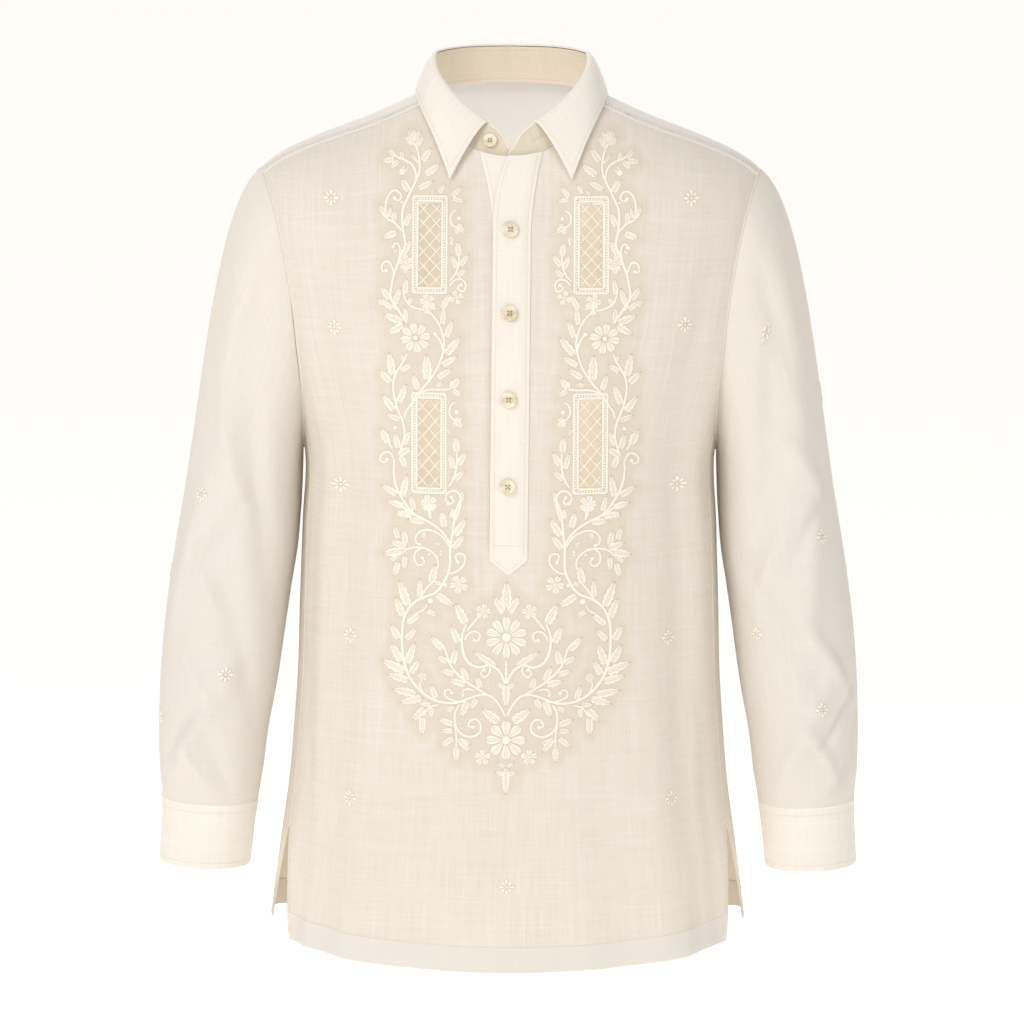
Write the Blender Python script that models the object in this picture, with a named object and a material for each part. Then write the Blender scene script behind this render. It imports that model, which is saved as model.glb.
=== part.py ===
"""Barong tagalog: a sheer long-sleeved pullover shirt, hollow and filled out as it is worn.

Metres, +Z up. The front faces -Y, and left and right are the wearer's, so left is +X. The origin lies midway
between the two points where the shoulder ridge meets the neck, which is where a wearer holds the shirt up.

The body is one surface, read by an angle round it and a drop below the shoulder ridge. Angle 0 is the centre
front, 90 degrees the left side and 180 degrees the centre back. Panels are outlines on that surface. Sleeves
start from the armhole curve that lies on it, and the collar from the neck curve.
"""

import math
from collections import namedtuple

import bmesh
import bpy
import numpy as np
from mathutils.geometry import delaunay_2d_cdt

CLOTH = 0.0010  # thickness of the single cloth
BAND = 0.0012  # placket strips
STIFF = 0.0016  # collar and cuffs, which hold an interlining
GAP = 0.0003  # left between two pieces at a seam
LAP_GAP = 0.0005  # where a piece laps a curved one, so that flat facets stay clear

# The body's outline. Depths are from the mid plane to the centre front and to the centre back.
Level = namedtuple("Level", "height half_width front_depth back_depth")
BODY = [
    Level(0.060, 0.2350, 0.122, 0.118),
    Level(-0.070, 0.2350, 0.122, 0.118),
    Level(-0.100, 0.2340, 0.122, 0.119),
    Level(-0.126, 0.2320, 0.123, 0.120),
    Level(-0.156, 0.2280, 0.125, 0.121),
    Level(-0.194, 0.2220, 0.128, 0.122),
    Level(-0.221, 0.2160, 0.130, 0.122),
    Level(-0.255, 0.2060, 0.131, 0.121),
    Level(-0.288, 0.1960, 0.132, 0.120),
    Level(-0.325, 0.1880, 0.132, 0.118),
    Level(-0.393, 0.1898, 0.130, 0.113),
    Level(-0.472, 0.1926, 0.128, 0.110),
    Level(-0.534, 0.1945, 0.127, 0.111),
    Level(-0.584, 0.1980, 0.127, 0.114),
    Level(-0.634, 0.2025, 0.127, 0.118),
    Level(-0.688, 0.2100, 0.128, 0.121),
    Level(-0.760, 0.2195, 0.130, 0.124),
    Level(-0.820, 0.2270, 0.131, 0.126),
]
SQUARENESS = 2.3  # exponent of the rounded box that each level of the body follows

# The shoulder ridge, out from the centre, and how far below it the cloth has turned fully down. Inside the neck
# the front and the back are read from ridges of their own, and the first row makes both level at the centre.
Ridge = namedtuple("Ridge", "reach front_height back_height front_turn back_turn")
SHOULDER = [
    Ridge(-0.040, 0.0075, 0.0170, 0.252, 0.122),
    Ridge(0.000, 0.0085, 0.0240, 0.262, 0.130),
    Ridge(0.040, 0.0075, 0.0170, 0.252, 0.122),
    Ridge(0.070, 0.0037, 0.0037, 0.224, 0.112),
    Ridge(0.078, 0.0000, 0.0000, 0.215, 0.110),
    Ridge(0.119, -0.0190, -0.0190, 0.155, 0.098),
    Ridge(0.183, -0.0444, -0.0444, 0.092, 0.075),
    Ridge(0.204, -0.0543, -0.0543, 0.074, 0.066),
    Ridge(0.226, -0.0700, -0.0700, 0.062, 0.060),
    Ridge(0.235, -0.0800, -0.0800, 0.056, 0.056),
]
SHOULDER_REACH = SHOULDER[-1].reach
SHOULDER_FRONT = BODY[0].front_depth
SHOULDER_BACK = BODY[0].back_depth

# The armhole seam as it is seen from the front, from the shoulder point down to the underarm.
Seam = namedtuple("Seam", "height across")
ARMHOLE = [
    Seam(-0.0700, 0.2260),
    Seam(-0.0780, 0.2222),
    Seam(-0.1000, 0.2140),
    Seam(-0.1260, 0.2072),
    Seam(-0.1560, 0.2017),
    Seam(-0.1940, 0.1955),
    Seam(-0.2210, 0.1920),
    Seam(-0.2550, 0.1886),
    Seam(-0.2880, 0.1876),
    Seam(-0.3120, 0.1877),
    Seam(-0.3250, 0.1880),
]
ARM_STEPS = 14  # points on the front half of the armhole, and as many on the back half
YOKE_FRONT_STEP = 1  # the armhole point where the forward shoulder seam ends
YOKE_BACK_STEP = 4
SIDE_SEAM_STEP = 11
YOKE_CENTRE_BACK = -0.108  # height of the back yoke seam at the centre
FRONT_SEAM_STEPS = 8
BACK_SEAM_STEPS = 9

SLIT_TOP = -0.6690
SLIT_FRONT_EDGE = math.radians(64.2)  # where the front panel's edge hangs at its hem
SLIT_BACK_EDGE = math.radians(81.6)
FRONT_HEM = -0.790  # at the centre
FRONT_HEM_RISE = 0.0150  # from the centre to the corners
FRONT_HEM_BEND = 2
BACK_HEM = -0.780
BACK_HEM_RISE = 0.0170
BACK_HEM_BEND = 6
SLIT_STEPS = 4

# The neck curve in plan, read by an angle round the neck from the centre front.
NECK_HALF_WIDTH = 0.078
NECK_FRONT = 0.078
NECK_BACK = 0.062
NECK_FRONT_SQUARENESS = 2.5
NECK_STEPS = 20  # points on each half
NECK_CLEAR = 0.002  # a neck point this near the end of a stretch is left out
YOKE_NECK_STEP = 8  # where the forward shoulder seam meets the neck
LEAF_NECK_STEP = 2  # where the collar's leaves end, short of the centre front

# Placket: two strips over a slot in the front panel, drawn apart at the open neck.
PLACKET_HALF = 0.0170
PLACKET_LAP = 0.0035  # of a strip over the panel's cut edge
PLACKET_LEAN = 0.0060  # the strips lean across by this much for each metre up
PLACKET_UPRIGHT = -0.300  # height where the lean crosses the centre
FLARE_FOOT = -0.122  # the strips part above this height
FLARE_BEND = 1.8
FREE_FLARE_BEND = 2.8
OVER_FLARE = 0.0088
OVER_INNER_FLARE = 0.0128  # how far the upper strip's free edge swings across
UNDER_FLARE = 0.0118
UNDER_END = 0.0120  # from the strip's middle to the lower strip's hidden edge
UNDER_END_FLARE = 0.0065
SLOT_FOOT = -0.392
UNDER_FOOT = -0.401
POINT_SHOULDER = -0.4100  # where the upper strip's sides end and its point begins
POINT_TIP = -0.4240

# Calado windows: cloth cut to a lattice, four in all, placed as seen from the front.
Window = namedtuple("Window", "height half_height")
WINDOWS = [Window(-0.1280, 0.0368), Window(-0.3045, 0.0398)]
WINDOW_ACROSS = 0.0722
WINDOW_HALF_WIDTH = 0.0099
LATTICE_ACROSS = 0.0116  # one diamond, corner to corner
LATTICE_ROWS = 5.95  # diamonds in a window's height
LATTICE_BAR = 0.0013
SMALLEST_CUT = 30e-6  # square metres: smaller corners of the lattice stay closed

BUTTON_HEIGHTS = (-0.1156, -0.1879, -0.2641, -0.3423)
BUTTON_ASIDE = -0.0013  # from the middle of the placket
BUTTON_RADIUS = 0.0073
COLLAR_BUTTON_RADIUS = 0.0065
CUFF_BUTTON_RADIUS = 0.0058
BUTTON_SIDES = 14
# Half of a button's cut edge to edge, as shares of its radius and in metres up from its back.
Turned = namedtuple("Turned", "radius height")
BUTTON_PROFILE = [
    Turned(0.00, 0.0000),
    Turned(0.90, 0.0000),
    Turned(1.00, 0.0010),
    Turned(0.97, 0.0024),
    Turned(0.82, 0.0029),
    Turned(0.62, 0.0019),
    Turned(0.00, 0.0018),
]

# The sleeve below its cap: rings across the left arm.
Ring = namedtuple("Ring", "height outer inner fore half_depth")
SLEEVE = [
    Ring(-0.375, 0.2998, 0.1916, -0.002, 0.0720),
    Ring(-0.410, 0.3058, 0.1945, -0.004, 0.0700),
    Ring(-0.448, 0.3118, 0.2005, -0.006, 0.0670),
    Ring(-0.480, 0.3158, 0.2052, -0.009, 0.0640),
    Ring(-0.540, 0.3207, 0.2140, -0.014, 0.0590),
    Ring(-0.579, 0.3218, 0.2213, -0.018, 0.0555),
    Ring(-0.619, 0.3213, 0.2264, -0.021, 0.0510),
    Ring(-0.648, 0.3190, 0.2312, -0.023, 0.0450),
    Ring(-0.705, 0.3212, 0.2382, -0.026, 0.0445),
    Ring(-0.720, 0.3216, 0.2396, -0.0265, 0.0442),
]
CAP_END = SLEEVE[0].height
SLEEVE_END = -0.6485
CUFF_FOOT = -0.7060
SLEEVE_SQUARENESS = 2.15
SLEEVE_TILT = 0.048  # a ring's inner side hangs lower than its outer side, per metre across
CAP_SHARE = 0.50  # of the sleeve's rows
SLEEVE_ROWS = 20
SLEEVE_COLUMNS = 2 * ARM_STEPS
CAP_START_PULL = 0.49  # how far the cap keeps its first direction, as a share of its length
CAP_END_PULL = 1.05
CAP_OUT = 0.80  # the cap's first direction: outwards at its top
CAP_OUT_BEND = 0.35
CAP_ASIDE = 0.30
CAP_DOWN_FOOT = 0.98
CAP_DOWN_TOP = 0.60
CAP_END_REACH = 0.010  # the length of lower sleeve that sets the cap's last direction
FOLD_FREE_TOP = 0.12  # shares of the sleeve over which its folds fade at its two ends
FOLD_FREE_FOOT = 0.06
BODY_SIDE = 40  # degrees either way of the side towards the body, where the upper sleeve has no folds
BODY_SIDE_END = 0.625
RING_TURN_NUDGE = 0.01
RING_NUDGE = 0.002

CUFF_OPENING = math.radians(296)  # behind the wrist, towards its outer side
CUFF_OVERLAP = math.radians(28)
CUFF_LAP_START = math.radians(42)  # before the cuff's last lap ends, it starts to step outwards
CUFF_LAP_RISE = math.radians(33.6)
CUFF_BUTTON_BACK = math.radians(15.4)  # the cuff's button lies this far short of its end
CUFF_STEP = math.radians(11)
BUTTON_CLEAR = 0.0007  # under a button on a curved piece
VENT_ROWS = 4
VENT_COLUMN = 22  # first of the two sleeve columns that the vent's strip covers

# Collar. Angles are round the neck, in degrees from the centre front; the left side is given.
Collar = namedtuple("Collar", "turn across fore height")
STAND_TOP = [
    Collar(180, 0.0000, 0.0560, 0.0375),
    Collar(144, 0.0395, 0.0460, 0.0370),
    Collar(117, 0.0610, 0.0270, 0.0350),
    Collar(90, 0.0685, 0.0000, 0.0315),
    Collar(72, 0.0662, -0.0240, 0.0205),
    Collar(54, 0.0560, -0.0430, 0.0062),
    Collar(36, 0.0395, -0.0570, -0.0098),
    Collar(27, 0.0295, -0.0622, -0.0170),
    Collar(18, 0.0200, -0.0660, -0.0232),
    Collar(9, 0.0095, -0.0715, -0.0318),
    Collar(0, 0.0000, -0.0765, -0.0470),
    Collar(-9, -0.0100, -0.0765, -0.0500),
]
Leaf = namedtuple("Leaf", "turn across fore lift")
LEAF_EDGE = [
    Leaf(180, 0.0000, 0.0790, 0.0045),
    Leaf(144, 0.0480, 0.0665, 0.0040),
    Leaf(117, 0.0755, 0.0400, 0.0030),
    Leaf(90, 0.0866, 0.0010, 0.0022),
    Leaf(72, 0.0818, -0.0350, 0.0030),
    Leaf(54, 0.0738, -0.0580, 0.0035),
    Leaf(36, 0.0652, -0.0748, 0.0040),
    Leaf(27, 0.0602, -0.0825, 0.0040),
    Leaf(18, 0.0548, -0.0892, 0.0040),
]
LEAF_ROWS = (0.0, 0.07, 0.15, 0.26, 0.44, 0.70, 1.0)
STAND_END_TURN = 27  # degrees short of the centre front, where the stand's ends part to lap
STAND_END_PAST = math.radians(0.6)
COLLAR_BUTTON_TURN = -13
LEAF_REST = STIFF * 0.75 + GAP  # from the stand's top edge up to the middle of the leaf
LEAF_BEND = 0.45  # where the leaf bows most, as a share of its length from its edge
ROLL_OUT = 0.0045  # the leaf's roll over the stand
ROLL_UP = 0.0060
LEAF_BOW = 0.0035

Crease = namedtuple("Crease", "start end turn_start turn_end width depth")
FOLD_TAPER = 0.8
# Soft folds of the body: heights, and degrees round from the centre front.
BODY_CREASES = [
    Crease(-0.18, -0.62, 58, 64, 5.5, 0.0045),
    Crease(-0.26, -0.90, 49, 52, 5.0, -0.0040),
    Crease(-0.42, -0.98, 36, 42, 6.5, 0.0040),
    Crease(-0.56, -0.98, 22, 27, 6.5, -0.0035),
    Crease(-0.20, -0.70, -57, -60, 5.5, 0.0045),
    Crease(-0.30, -0.90, -48, -47, 5.0, -0.0042),
    Crease(-0.50, -0.98, -33, -42, 6.5, 0.0042),
    Crease(-0.60, -0.98, -16, -22, 7.0, -0.0032),
    Crease(-0.18, -0.70, 121, 112, 6.5, 0.0050),
    Crease(-0.26, -0.98, 136, 130, 6.5, -0.0045),
    Crease(-0.36, -0.98, 152, 148, 7.0, 0.0045),
    Crease(-0.30, -0.98, 172, 170, 7.5, -0.0035),
    Crease(-0.20, -0.76, 240, 246, 6.5, 0.0050),
    Crease(-0.28, -0.98, 223, 231, 6.5, -0.0045),
    Crease(-0.40, -0.98, 205, 210, 7.0, 0.0040),
]
# Soft folds of each sleeve: shares of its length, and degrees from the outer side round the front.
SLEEVE_CREASES = {
    "left": [
        Crease(0.08, 0.56, 35, 75, 14, 0.0045),
        Crease(0.18, 0.66, 72, 120, 13, -0.0055),
        Crease(0.36, 0.82, 40, 95, 12, 0.0050),
        Crease(0.54, 0.84, 140, 62, 12, -0.0045),
        Crease(0.74, 0.99, 50, 130, 11, 0.0050),
        Crease(0.82, 1.00, 15, 55, 10, -0.0045),
        Crease(0.12, 0.62, 312, 272, 14, 0.0050),
        Crease(0.30, 0.76, 255, 218, 13, -0.0050),
        Crease(0.60, 0.94, 228, 285, 12, 0.0048),
    ],
    "right": [
        Crease(0.08, 0.54, 40, 82, 14, 0.0048),
        Crease(0.22, 0.66, 80, 130, 13, -0.0058),
        Crease(0.40, 0.76, 58, 30, 12, 0.0045),
        Crease(0.50, 0.86, 62, 135, 12, -0.0045),
        Crease(0.72, 0.98, 112, 45, 11, 0.0054),
        Crease(0.84, 1.00, 72, 120, 10, -0.0042),
        Crease(0.12, 0.58, 300, 266, 14, 0.0050),
        Crease(0.34, 0.82, 250, 222, 13, -0.0048),
        Crease(0.64, 0.95, 240, 298, 12, 0.0045),
    ],
}

FLAT_SCALE = 0.20  # metres of pattern for each radian round the body
BODY_STEP = 0.031
YOKE_STEP = 0.024
STRIP_STEP = 0.018
EDGE_CLEAR = 0.55  # of a step, kept free of grid points beside an edge
MERGE = 1e-7  # metres: pattern points closer than this are one
NUDGE = 0.0008  # used to measure slopes of the surfaces
SIDES = {"left": 1, "right": -1}
CLOTH_EDGE_ANGLE = 40  # degrees: a sharper bend is shaded as an edge
BUTTON_EDGE_ANGLE = 50

Finish = namedtuple("Finish", "colour roughness")
SHEER = Finish((0.87, 0.81, 0.70, 1), 0.62)
CRISP = Finish((0.94, 0.90, 0.80, 1), 0.55)
SHELL = Finish((0.85, 0.78, 0.64, 1), 0.30)


def clear_scene():
    for thing in list(bpy.data.objects):
        bpy.data.objects.remove(thing)


def material(name, finish):
    made = bpy.data.materials.new(name)
    made.use_nodes = True
    shader = made.node_tree.nodes["Principled BSDF"]
    shader.inputs["Base Color"].default_value = finish.colour
    shader.inputs["Roughness"].default_value = finish.roughness
    shader.inputs["Metallic"].default_value = 0.0
    return made


# Reading the tables


def curve(table, key, value):
    """A smooth function of one column of a table, read along another column."""
    rows = sorted(table, key=lambda row: getattr(row, key))
    at = np.array([getattr(row, key) for row in rows], float)
    of = np.array([getattr(row, value) for row in rows], float)
    slope = np.gradient(of, at)

    def read(q):
        q = np.clip(q, at[0], at[-1])
        i = np.clip(np.searchsorted(at, q, side="right") - 1, 0, len(at) - 2)
        span = at[i + 1] - at[i]
        t = (q - at[i]) / span
        start = (1 - t) ** 2 * ((1 + 2 * t) * of[i] + t * span * slope[i])
        end = t * t * ((3 - 2 * t) * of[i + 1] - (1 - t) * span * slope[i + 1])
        return start + end

    return read


half_width = curve(BODY, "height", "half_width")
front_depth = curve(BODY, "height", "front_depth")
back_depth = curve(BODY, "height", "back_depth")
front_ridge = curve(SHOULDER, "reach", "front_height")
back_ridge = curve(SHOULDER, "reach", "back_height")
front_turn = curve(SHOULDER, "reach", "front_turn")
back_turn = curve(SHOULDER, "reach", "back_turn")
armhole_across = curve(ARMHOLE, "height", "across")
sleeve_outer = curve(SLEEVE, "height", "outer")
sleeve_inner = curve(SLEEVE, "height", "inner")
sleeve_fore = curve(SLEEVE, "height", "fore")
sleeve_half_depth = curve(SLEEVE, "height", "half_depth")


def column(head, *values):
    """Stack coordinates, spreading single numbers over the others' shape."""
    return np.stack(np.broadcast_arrays(np.asarray(head, float), *values), axis=-1)


def unit(vectors):
    return vectors / np.maximum(np.linalg.norm(vectors, axis=-1, keepdims=True), 1e-12)


def creased(creases, along, turn):
    """How far the folds push the cloth out at places along and round a tube, in metres."""
    out = np.zeros(np.broadcast(along, turn).shape)
    for fold in creases:
        share = np.clip((along - fold.start) / (fold.end - fold.start), 0, 1)
        middle = fold.turn_start + share * (fold.turn_end - fold.turn_start)
        away = (np.degrees(turn) - middle + 180) % 360 - 180
        swell = np.sin(math.pi * share) ** FOLD_TAPER
        out = out + fold.depth * swell * np.exp(-((away / fold.width) ** 2))
    return out


# The body's surface


def turned_down(turn):
    """The ridge height, turning height, depth and arc length of the column of cloth at an angle."""
    aside = np.abs(np.sin(turn)) ** (2 / SQUARENESS)
    ahead = np.abs(np.cos(turn)) ** (2 / SQUARENESS)
    front = np.cos(turn) > 0
    reach = SHOULDER_REACH * aside
    fall = np.where(front, front_turn(reach), back_turn(reach))
    depth = np.where(front, SHOULDER_FRONT, SHOULDER_BACK) * ahead
    arc = math.pi / 4 * (3 * (fall + depth) - np.sqrt((3 * fall + depth) * (fall + 3 * depth)))
    ridge = np.where(front, front_ridge(reach), back_ridge(reach))
    return aside, ahead, front, ridge, fall, arc


def smooth_body(turn, drop):
    """The body without its folds, at an angle round it and a distance down from the ridge."""
    aside, ahead, front, ridge, fall, arc = turned_down(turn)
    lean = np.clip(drop / arc, 0, 1) * math.pi / 2
    height = ridge - fall * (1 - np.cos(lean)) - np.maximum(drop - arc, 0)
    depth = np.where(front, -front_depth(height), back_depth(height))
    across = np.sign(np.sin(turn)) * half_width(height) * aside
    return column(across, depth * ahead * np.sin(lean), height)


def outward(surface, turn, drop, step_turn, step_drop):
    """The surface's outward direction, from its slopes."""
    around = surface(turn + step_turn, drop) - surface(turn - step_turn, drop)
    down = surface(turn, drop + step_drop) - surface(turn, drop - step_drop)
    return unit(np.cross(down, around))


def folded_body(turn, drop):
    plain = smooth_body(turn, drop)
    out = outward(smooth_body, turn, drop, NUDGE / FLAT_SCALE, NUDGE)
    depth = creased(BODY_CREASES, plain[..., 2], turn)
    return plain + depth[..., None] * out


def body(turn, drop, lift=0.0):
    """A point of the cloth's middle, lifted off it by a distance, and the outward direction there."""
    turn = np.asarray(turn, float)
    drop = np.asarray(drop, float)
    out = outward(folded_body, turn, drop, NUDGE / FLAT_SCALE, NUDGE)
    return folded_body(turn, drop) + lift * out, out


def drop_to(turn, height):
    """The drop at which the column at an angle reaches a height."""
    _, _, _, ridge, fall, arc = turned_down(turn)
    below = ridge - height
    lean = np.arccos(np.clip(1 - below / fall, 0, 1))
    return lean / (math.pi / 2) * arc + np.maximum(below - fall, 0)


def seen(across, height, back=False):
    """The angle and drop of a point given as it is seen from straight ahead, or from straight behind."""
    across = np.asarray(across, float)
    share = np.clip(np.abs(across) / half_width(height), 0, 1)
    turn = np.arcsin(share ** (SQUARENESS / 2))
    if back:
        turn = math.pi - turn
    drop = drop_to(turn, height)
    return np.where(across < 0, -turn, turn), drop


def from_above(across, fore):
    """The angle and drop of a point near the shoulders, given in plan."""
    share = np.abs(across) / SHOULDER_REACH
    turn = np.arcsin(share ** (SQUARENESS / 2))
    depth = (SHOULDER_FRONT if fore < 0 else SHOULDER_BACK) * math.cos(turn) ** (2 / SQUARENESS)
    if fore > 0:
        turn = math.pi - turn
    arc = float(turned_down(turn)[-1])
    drop = math.asin(min(1.0, abs(fore) / depth)) / (math.pi / 2) * arc
    return (turn if across >= 0 else -turn), drop


def neck_plan(angle):
    """The neck curve in plan, at an angle round the neck from the centre front."""
    bend = 2 / NECK_FRONT_SQUARENESS if math.cos(angle) > 0 else 1.0
    depth = -NECK_FRONT if math.cos(angle) > 0 else NECK_BACK
    across = math.copysign(NECK_HALF_WIDTH * abs(math.sin(angle)) ** bend, math.sin(angle))
    return across, depth * abs(math.cos(angle)) ** bend


def neck_angle_at(across):
    """The angle round the neck at which its front half is this far across."""
    share = abs(across) / NECK_HALF_WIDTH
    return math.copysign(math.asin(share ** (NECK_FRONT_SQUARENESS / 2)), across)


def neck_height(across):
    """Height of the front half of the neck curve."""
    turn, drop = from_above(*neck_plan(neck_angle_at(across)))
    return float(smooth_body(turn, drop)[2])


def armhole(step, back=False):
    """The armhole point at a step from the shoulder point towards the underarm: its angle and drop."""
    top = ARMHOLE[0].height
    foot = ARMHOLE[-1].height
    height = top + (foot - top) * (1 - math.cos(math.pi * step / ARM_STEPS)) / 2
    turn, drop = seen(armhole_across(height), height, back)
    return float(turn), float(drop)


SIDE_SEAM = armhole(SIDE_SEAM_STEP)[0]


# Flat patterns, filled with triangles


def inside(points, loop):
    """Which points lie inside a closed loop, by counting crossings."""
    x, y = points[:, 0, None], points[:, 1, None]
    x0, y0 = loop[:, 0], loop[:, 1]
    x1, y1 = np.roll(x0, -1), np.roll(y0, -1)
    spans = (y0 > y) != (y1 > y)
    rise = np.where(y1 == y0, 1, y1 - y0)
    return (spans & (x < x0 + (y - y0) * (x1 - x0) / rise)).sum(axis=1) % 2 == 1


def distance(points, loop):
    """How far each point lies from a closed loop."""
    start = loop[None]
    along = np.roll(loop, -1, axis=0)[None] - start
    away = points[:, None] - start
    length = np.maximum((along**2).sum(-1), 1e-18)
    share = np.clip((away * along).sum(-1) / length, 0, 1)
    return np.linalg.norm(away - share[..., None] * along, axis=-1).min(axis=1)


def triangle_grid(low, high, step):
    """Rows of points that make even triangles."""
    rise = step * math.sqrt(3) / 2
    made = []
    for row in range(math.ceil((high[1] - low[1]) / rise)):
        shift = step / 2 * (row % 2)
        for place in range(math.ceil((high[0] - low[0]) / step) + 1):
            made.append((low[0] + shift + place * step, low[1] + (row + 0.5) * rise))
    return np.array(made)


def fill(outline, holes, step):
    """Triangles over a flat outline, less its holes."""
    loops = [np.array(loop, float) for loop in [outline, *holes]]
    grid = triangle_grid(loops[0].min(axis=0), loops[0].max(axis=0), step)
    grid = grid[inside(grid, loops[0])]
    for loop in loops:
        grid = grid[distance(grid, loop) > EDGE_CLEAR * step]
    for hole in loops[1:]:
        grid = grid[~inside(grid, hole)]
    points = [tuple(point) for loop in loops for point in loop]
    edges = []
    first = 0
    for loop in loops:
        count = len(loop)
        edges += [(first + i, first + (i + 1) % count) for i in range(count)]
        first += count
    points += [tuple(point) for point in grid]
    found = delaunay_2d_cdt(points, edges, [], 0, MERGE)
    corners = np.array([tuple(point) for point in found[0]])
    faces = np.array([tuple(face) for face in found[2]])
    centres = corners[faces].mean(axis=1)
    kept = inside(centres, loops[0])
    for hole in loops[1:]:
        kept &= ~inside(centres, hole)
    return corners, faces[kept]


# Cloth walls


def wall(name, middle, out, faces, thickness, finish):
    """A closed wall round triangles of a middle surface, half its thickness to each side."""
    count = len(middle)
    corners = np.vstack([middle + out * thickness / 2, middle - out * thickness / 2])
    sides = {}
    for face in faces:
        for start, end in zip(face, np.roll(face, -1)):
            sides[(int(start), int(end))] = True
    solid = [tuple(int(i) for i in face) for face in faces]
    solid += [tuple(int(i) + count for i in face[::-1]) for face in faces]
    for start, end in sides:
        if (end, start) not in sides:
            solid.append((end, start, start + count))
            solid.append((end, start + count, end + count))
    return add_solid(name, corners, solid, finish, CLOTH_EDGE_ANGLE)


def add_solid(name, corners, faces, finish, sharp_angle):
    """An object made of points and faces, with its faces turned outwards."""
    mesh = bpy.data.meshes.new(name)
    mesh.from_pydata([tuple(corner) for corner in corners], [], faces)
    work = bmesh.new()
    work.from_mesh(mesh)
    loose = [corner for corner in work.verts if not corner.link_faces]
    bmesh.ops.delete(work, geom=loose, context="VERTS")
    bmesh.ops.recalc_face_normals(work, faces=work.faces)
    work.to_mesh(mesh)
    work.free()
    mesh.shade_smooth()
    mesh.set_sharp_from_angle(angle=math.radians(sharp_angle))
    mesh.materials.append(material(name, finish))
    made = bpy.data.objects.new(name, mesh)
    bpy.context.collection.objects.link(made)
    return made


def lattice_faces(rows, columns, closed=False):
    """Triangles over a grid of points, with the same diagonal everywhere."""
    faces = []
    for row in range(rows - 1):
        for place in range(columns if closed else columns - 1):
            beside = (place + 1) % columns
            a, b = row * columns + place, row * columns + beside
            c, d = a + columns, b + columns
            faces += [(a, b, d), (a, d, c)]
    return np.array(faces)


def body_panel(name, outline, thickness, step, finish, lift=0.0, holes=()):
    """A wall on the body, from an outline of angles and drops."""
    scale = np.array([FLAT_SCALE, -1.0])
    flat, faces = fill(np.array(outline) * scale, [np.array(hole) * scale for hole in holes], step)
    turn, drop = (flat / scale).T
    middle, out = body(turn, drop, lift)
    return wall(name, middle, out, faces, thickness, finish)


def beside(turn, drop, turn_share, drop_share):
    """A seam point moved off the seam by half the gap, round the body or down it."""
    around = (smooth_body(turn + NUDGE, drop) - smooth_body(turn - NUDGE, drop)) / (2 * NUDGE)
    down = (smooth_body(turn, drop + NUDGE) - smooth_body(turn, drop - NUDGE)) / (2 * NUDGE)
    moved_turn = turn + turn_share * GAP / 2 / np.linalg.norm(around)
    return moved_turn, drop + drop_share * GAP / 2 / np.linalg.norm(down)


# Seams, each a list of angles and drops on the left half of the body


def reach_of(turn):
    return SHOULDER_REACH * abs(math.sin(turn)) ** (2 / SQUARENESS)


def turn_of(reach, back=False):
    turn = math.asin(min(1.0, abs(reach) / SHOULDER_REACH) ** (SQUARENESS / 2))
    return math.pi - turn if back else turn


def front_shoulder_seam():
    """From the neck out to the armhole."""
    neck = from_above(*neck_plan(math.pi * YOKE_NECK_STEP / NECK_STEPS))
    arm = armhole(YOKE_FRONT_STEP)
    ends = np.array([(reach_of(neck[0]), neck[1]), (reach_of(arm[0]), arm[1])])
    line = [ends[0] + (ends[1] - ends[0]) * i / FRONT_SEAM_STEPS for i in range(FRONT_SEAM_STEPS + 1)]
    return [(turn_of(reach), drop) for reach, drop in line]


def back_yoke_seam():
    """From the centre back out to the armhole."""
    turn, drop = armhole(YOKE_BACK_STEP, back=True)
    end = smooth_body(turn, drop)
    seam = []
    for i in range(BACK_SEAM_STEPS):
        share = i / BACK_SEAM_STEPS
        height = YOKE_CENTRE_BACK + (end[2] - YOKE_CENTRE_BACK) * share**2
        found = seen(end[0] * share, height, back=True)
        seam.append((float(found[0]), float(found[1])))
    return seam + [(turn, drop)]


def side_seam():
    """From the armhole down to the top of the slit."""
    top = float(smooth_body(*armhole(SIDE_SEAM_STEP))[2])
    count = math.ceil((top - SLIT_TOP) / BODY_STEP)
    heights = [top + (SLIT_TOP - top) * i / count for i in range(count + 1)]
    return [(SIDE_SEAM, float(drop_to(SIDE_SEAM, height))) for height in heights]


def mirrored(points):
    """The same points on the right half, in the other order."""
    return [(-turn, drop) for turn, drop in reversed(points)]


# Placket edges, as seen from the front


def flare(height, bend=FLARE_BEND):
    top = neck_height(0.0)
    return float(np.clip((height - FLARE_FOOT) / (top - FLARE_FOOT), 0, 1.1)) ** bend


def placket_middle(height):
    return PLACKET_LEAN * (height - PLACKET_UPRIGHT)


def over_left(height):
    """The upper strip's edge on the wearer's left, which is sewn down."""
    return placket_middle(height) + PLACKET_HALF + OVER_FLARE * flare(height)


def over_right(height):
    return placket_middle(height) - PLACKET_HALF + OVER_INNER_FLARE * flare(height, FREE_FLARE_BEND)


def under_left(height):
    return placket_middle(height) + UNDER_END - UNDER_END_FLARE * flare(height)


def under_right(height):
    """The lower strip's edge on the wearer's right, which is sewn down."""
    return placket_middle(height) - PLACKET_HALF - UNDER_FLARE * flare(height)


def top_of(edge):
    """The height at which a strip's edge meets the neck curve."""
    height = neck_height(0.0)
    for _ in range(12):
        height = neck_height(edge(height))
    return height


def down_edge(edge, foot, spacing):
    """A strip's edge from the neck down to its foot, as seen from the front."""
    top = top_of(edge)
    count = math.ceil((top - foot) / spacing)
    heights = [top + (foot - top) * i / count for i in range(count + 1)]
    return [(edge(height), height) for height in heights]


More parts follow.
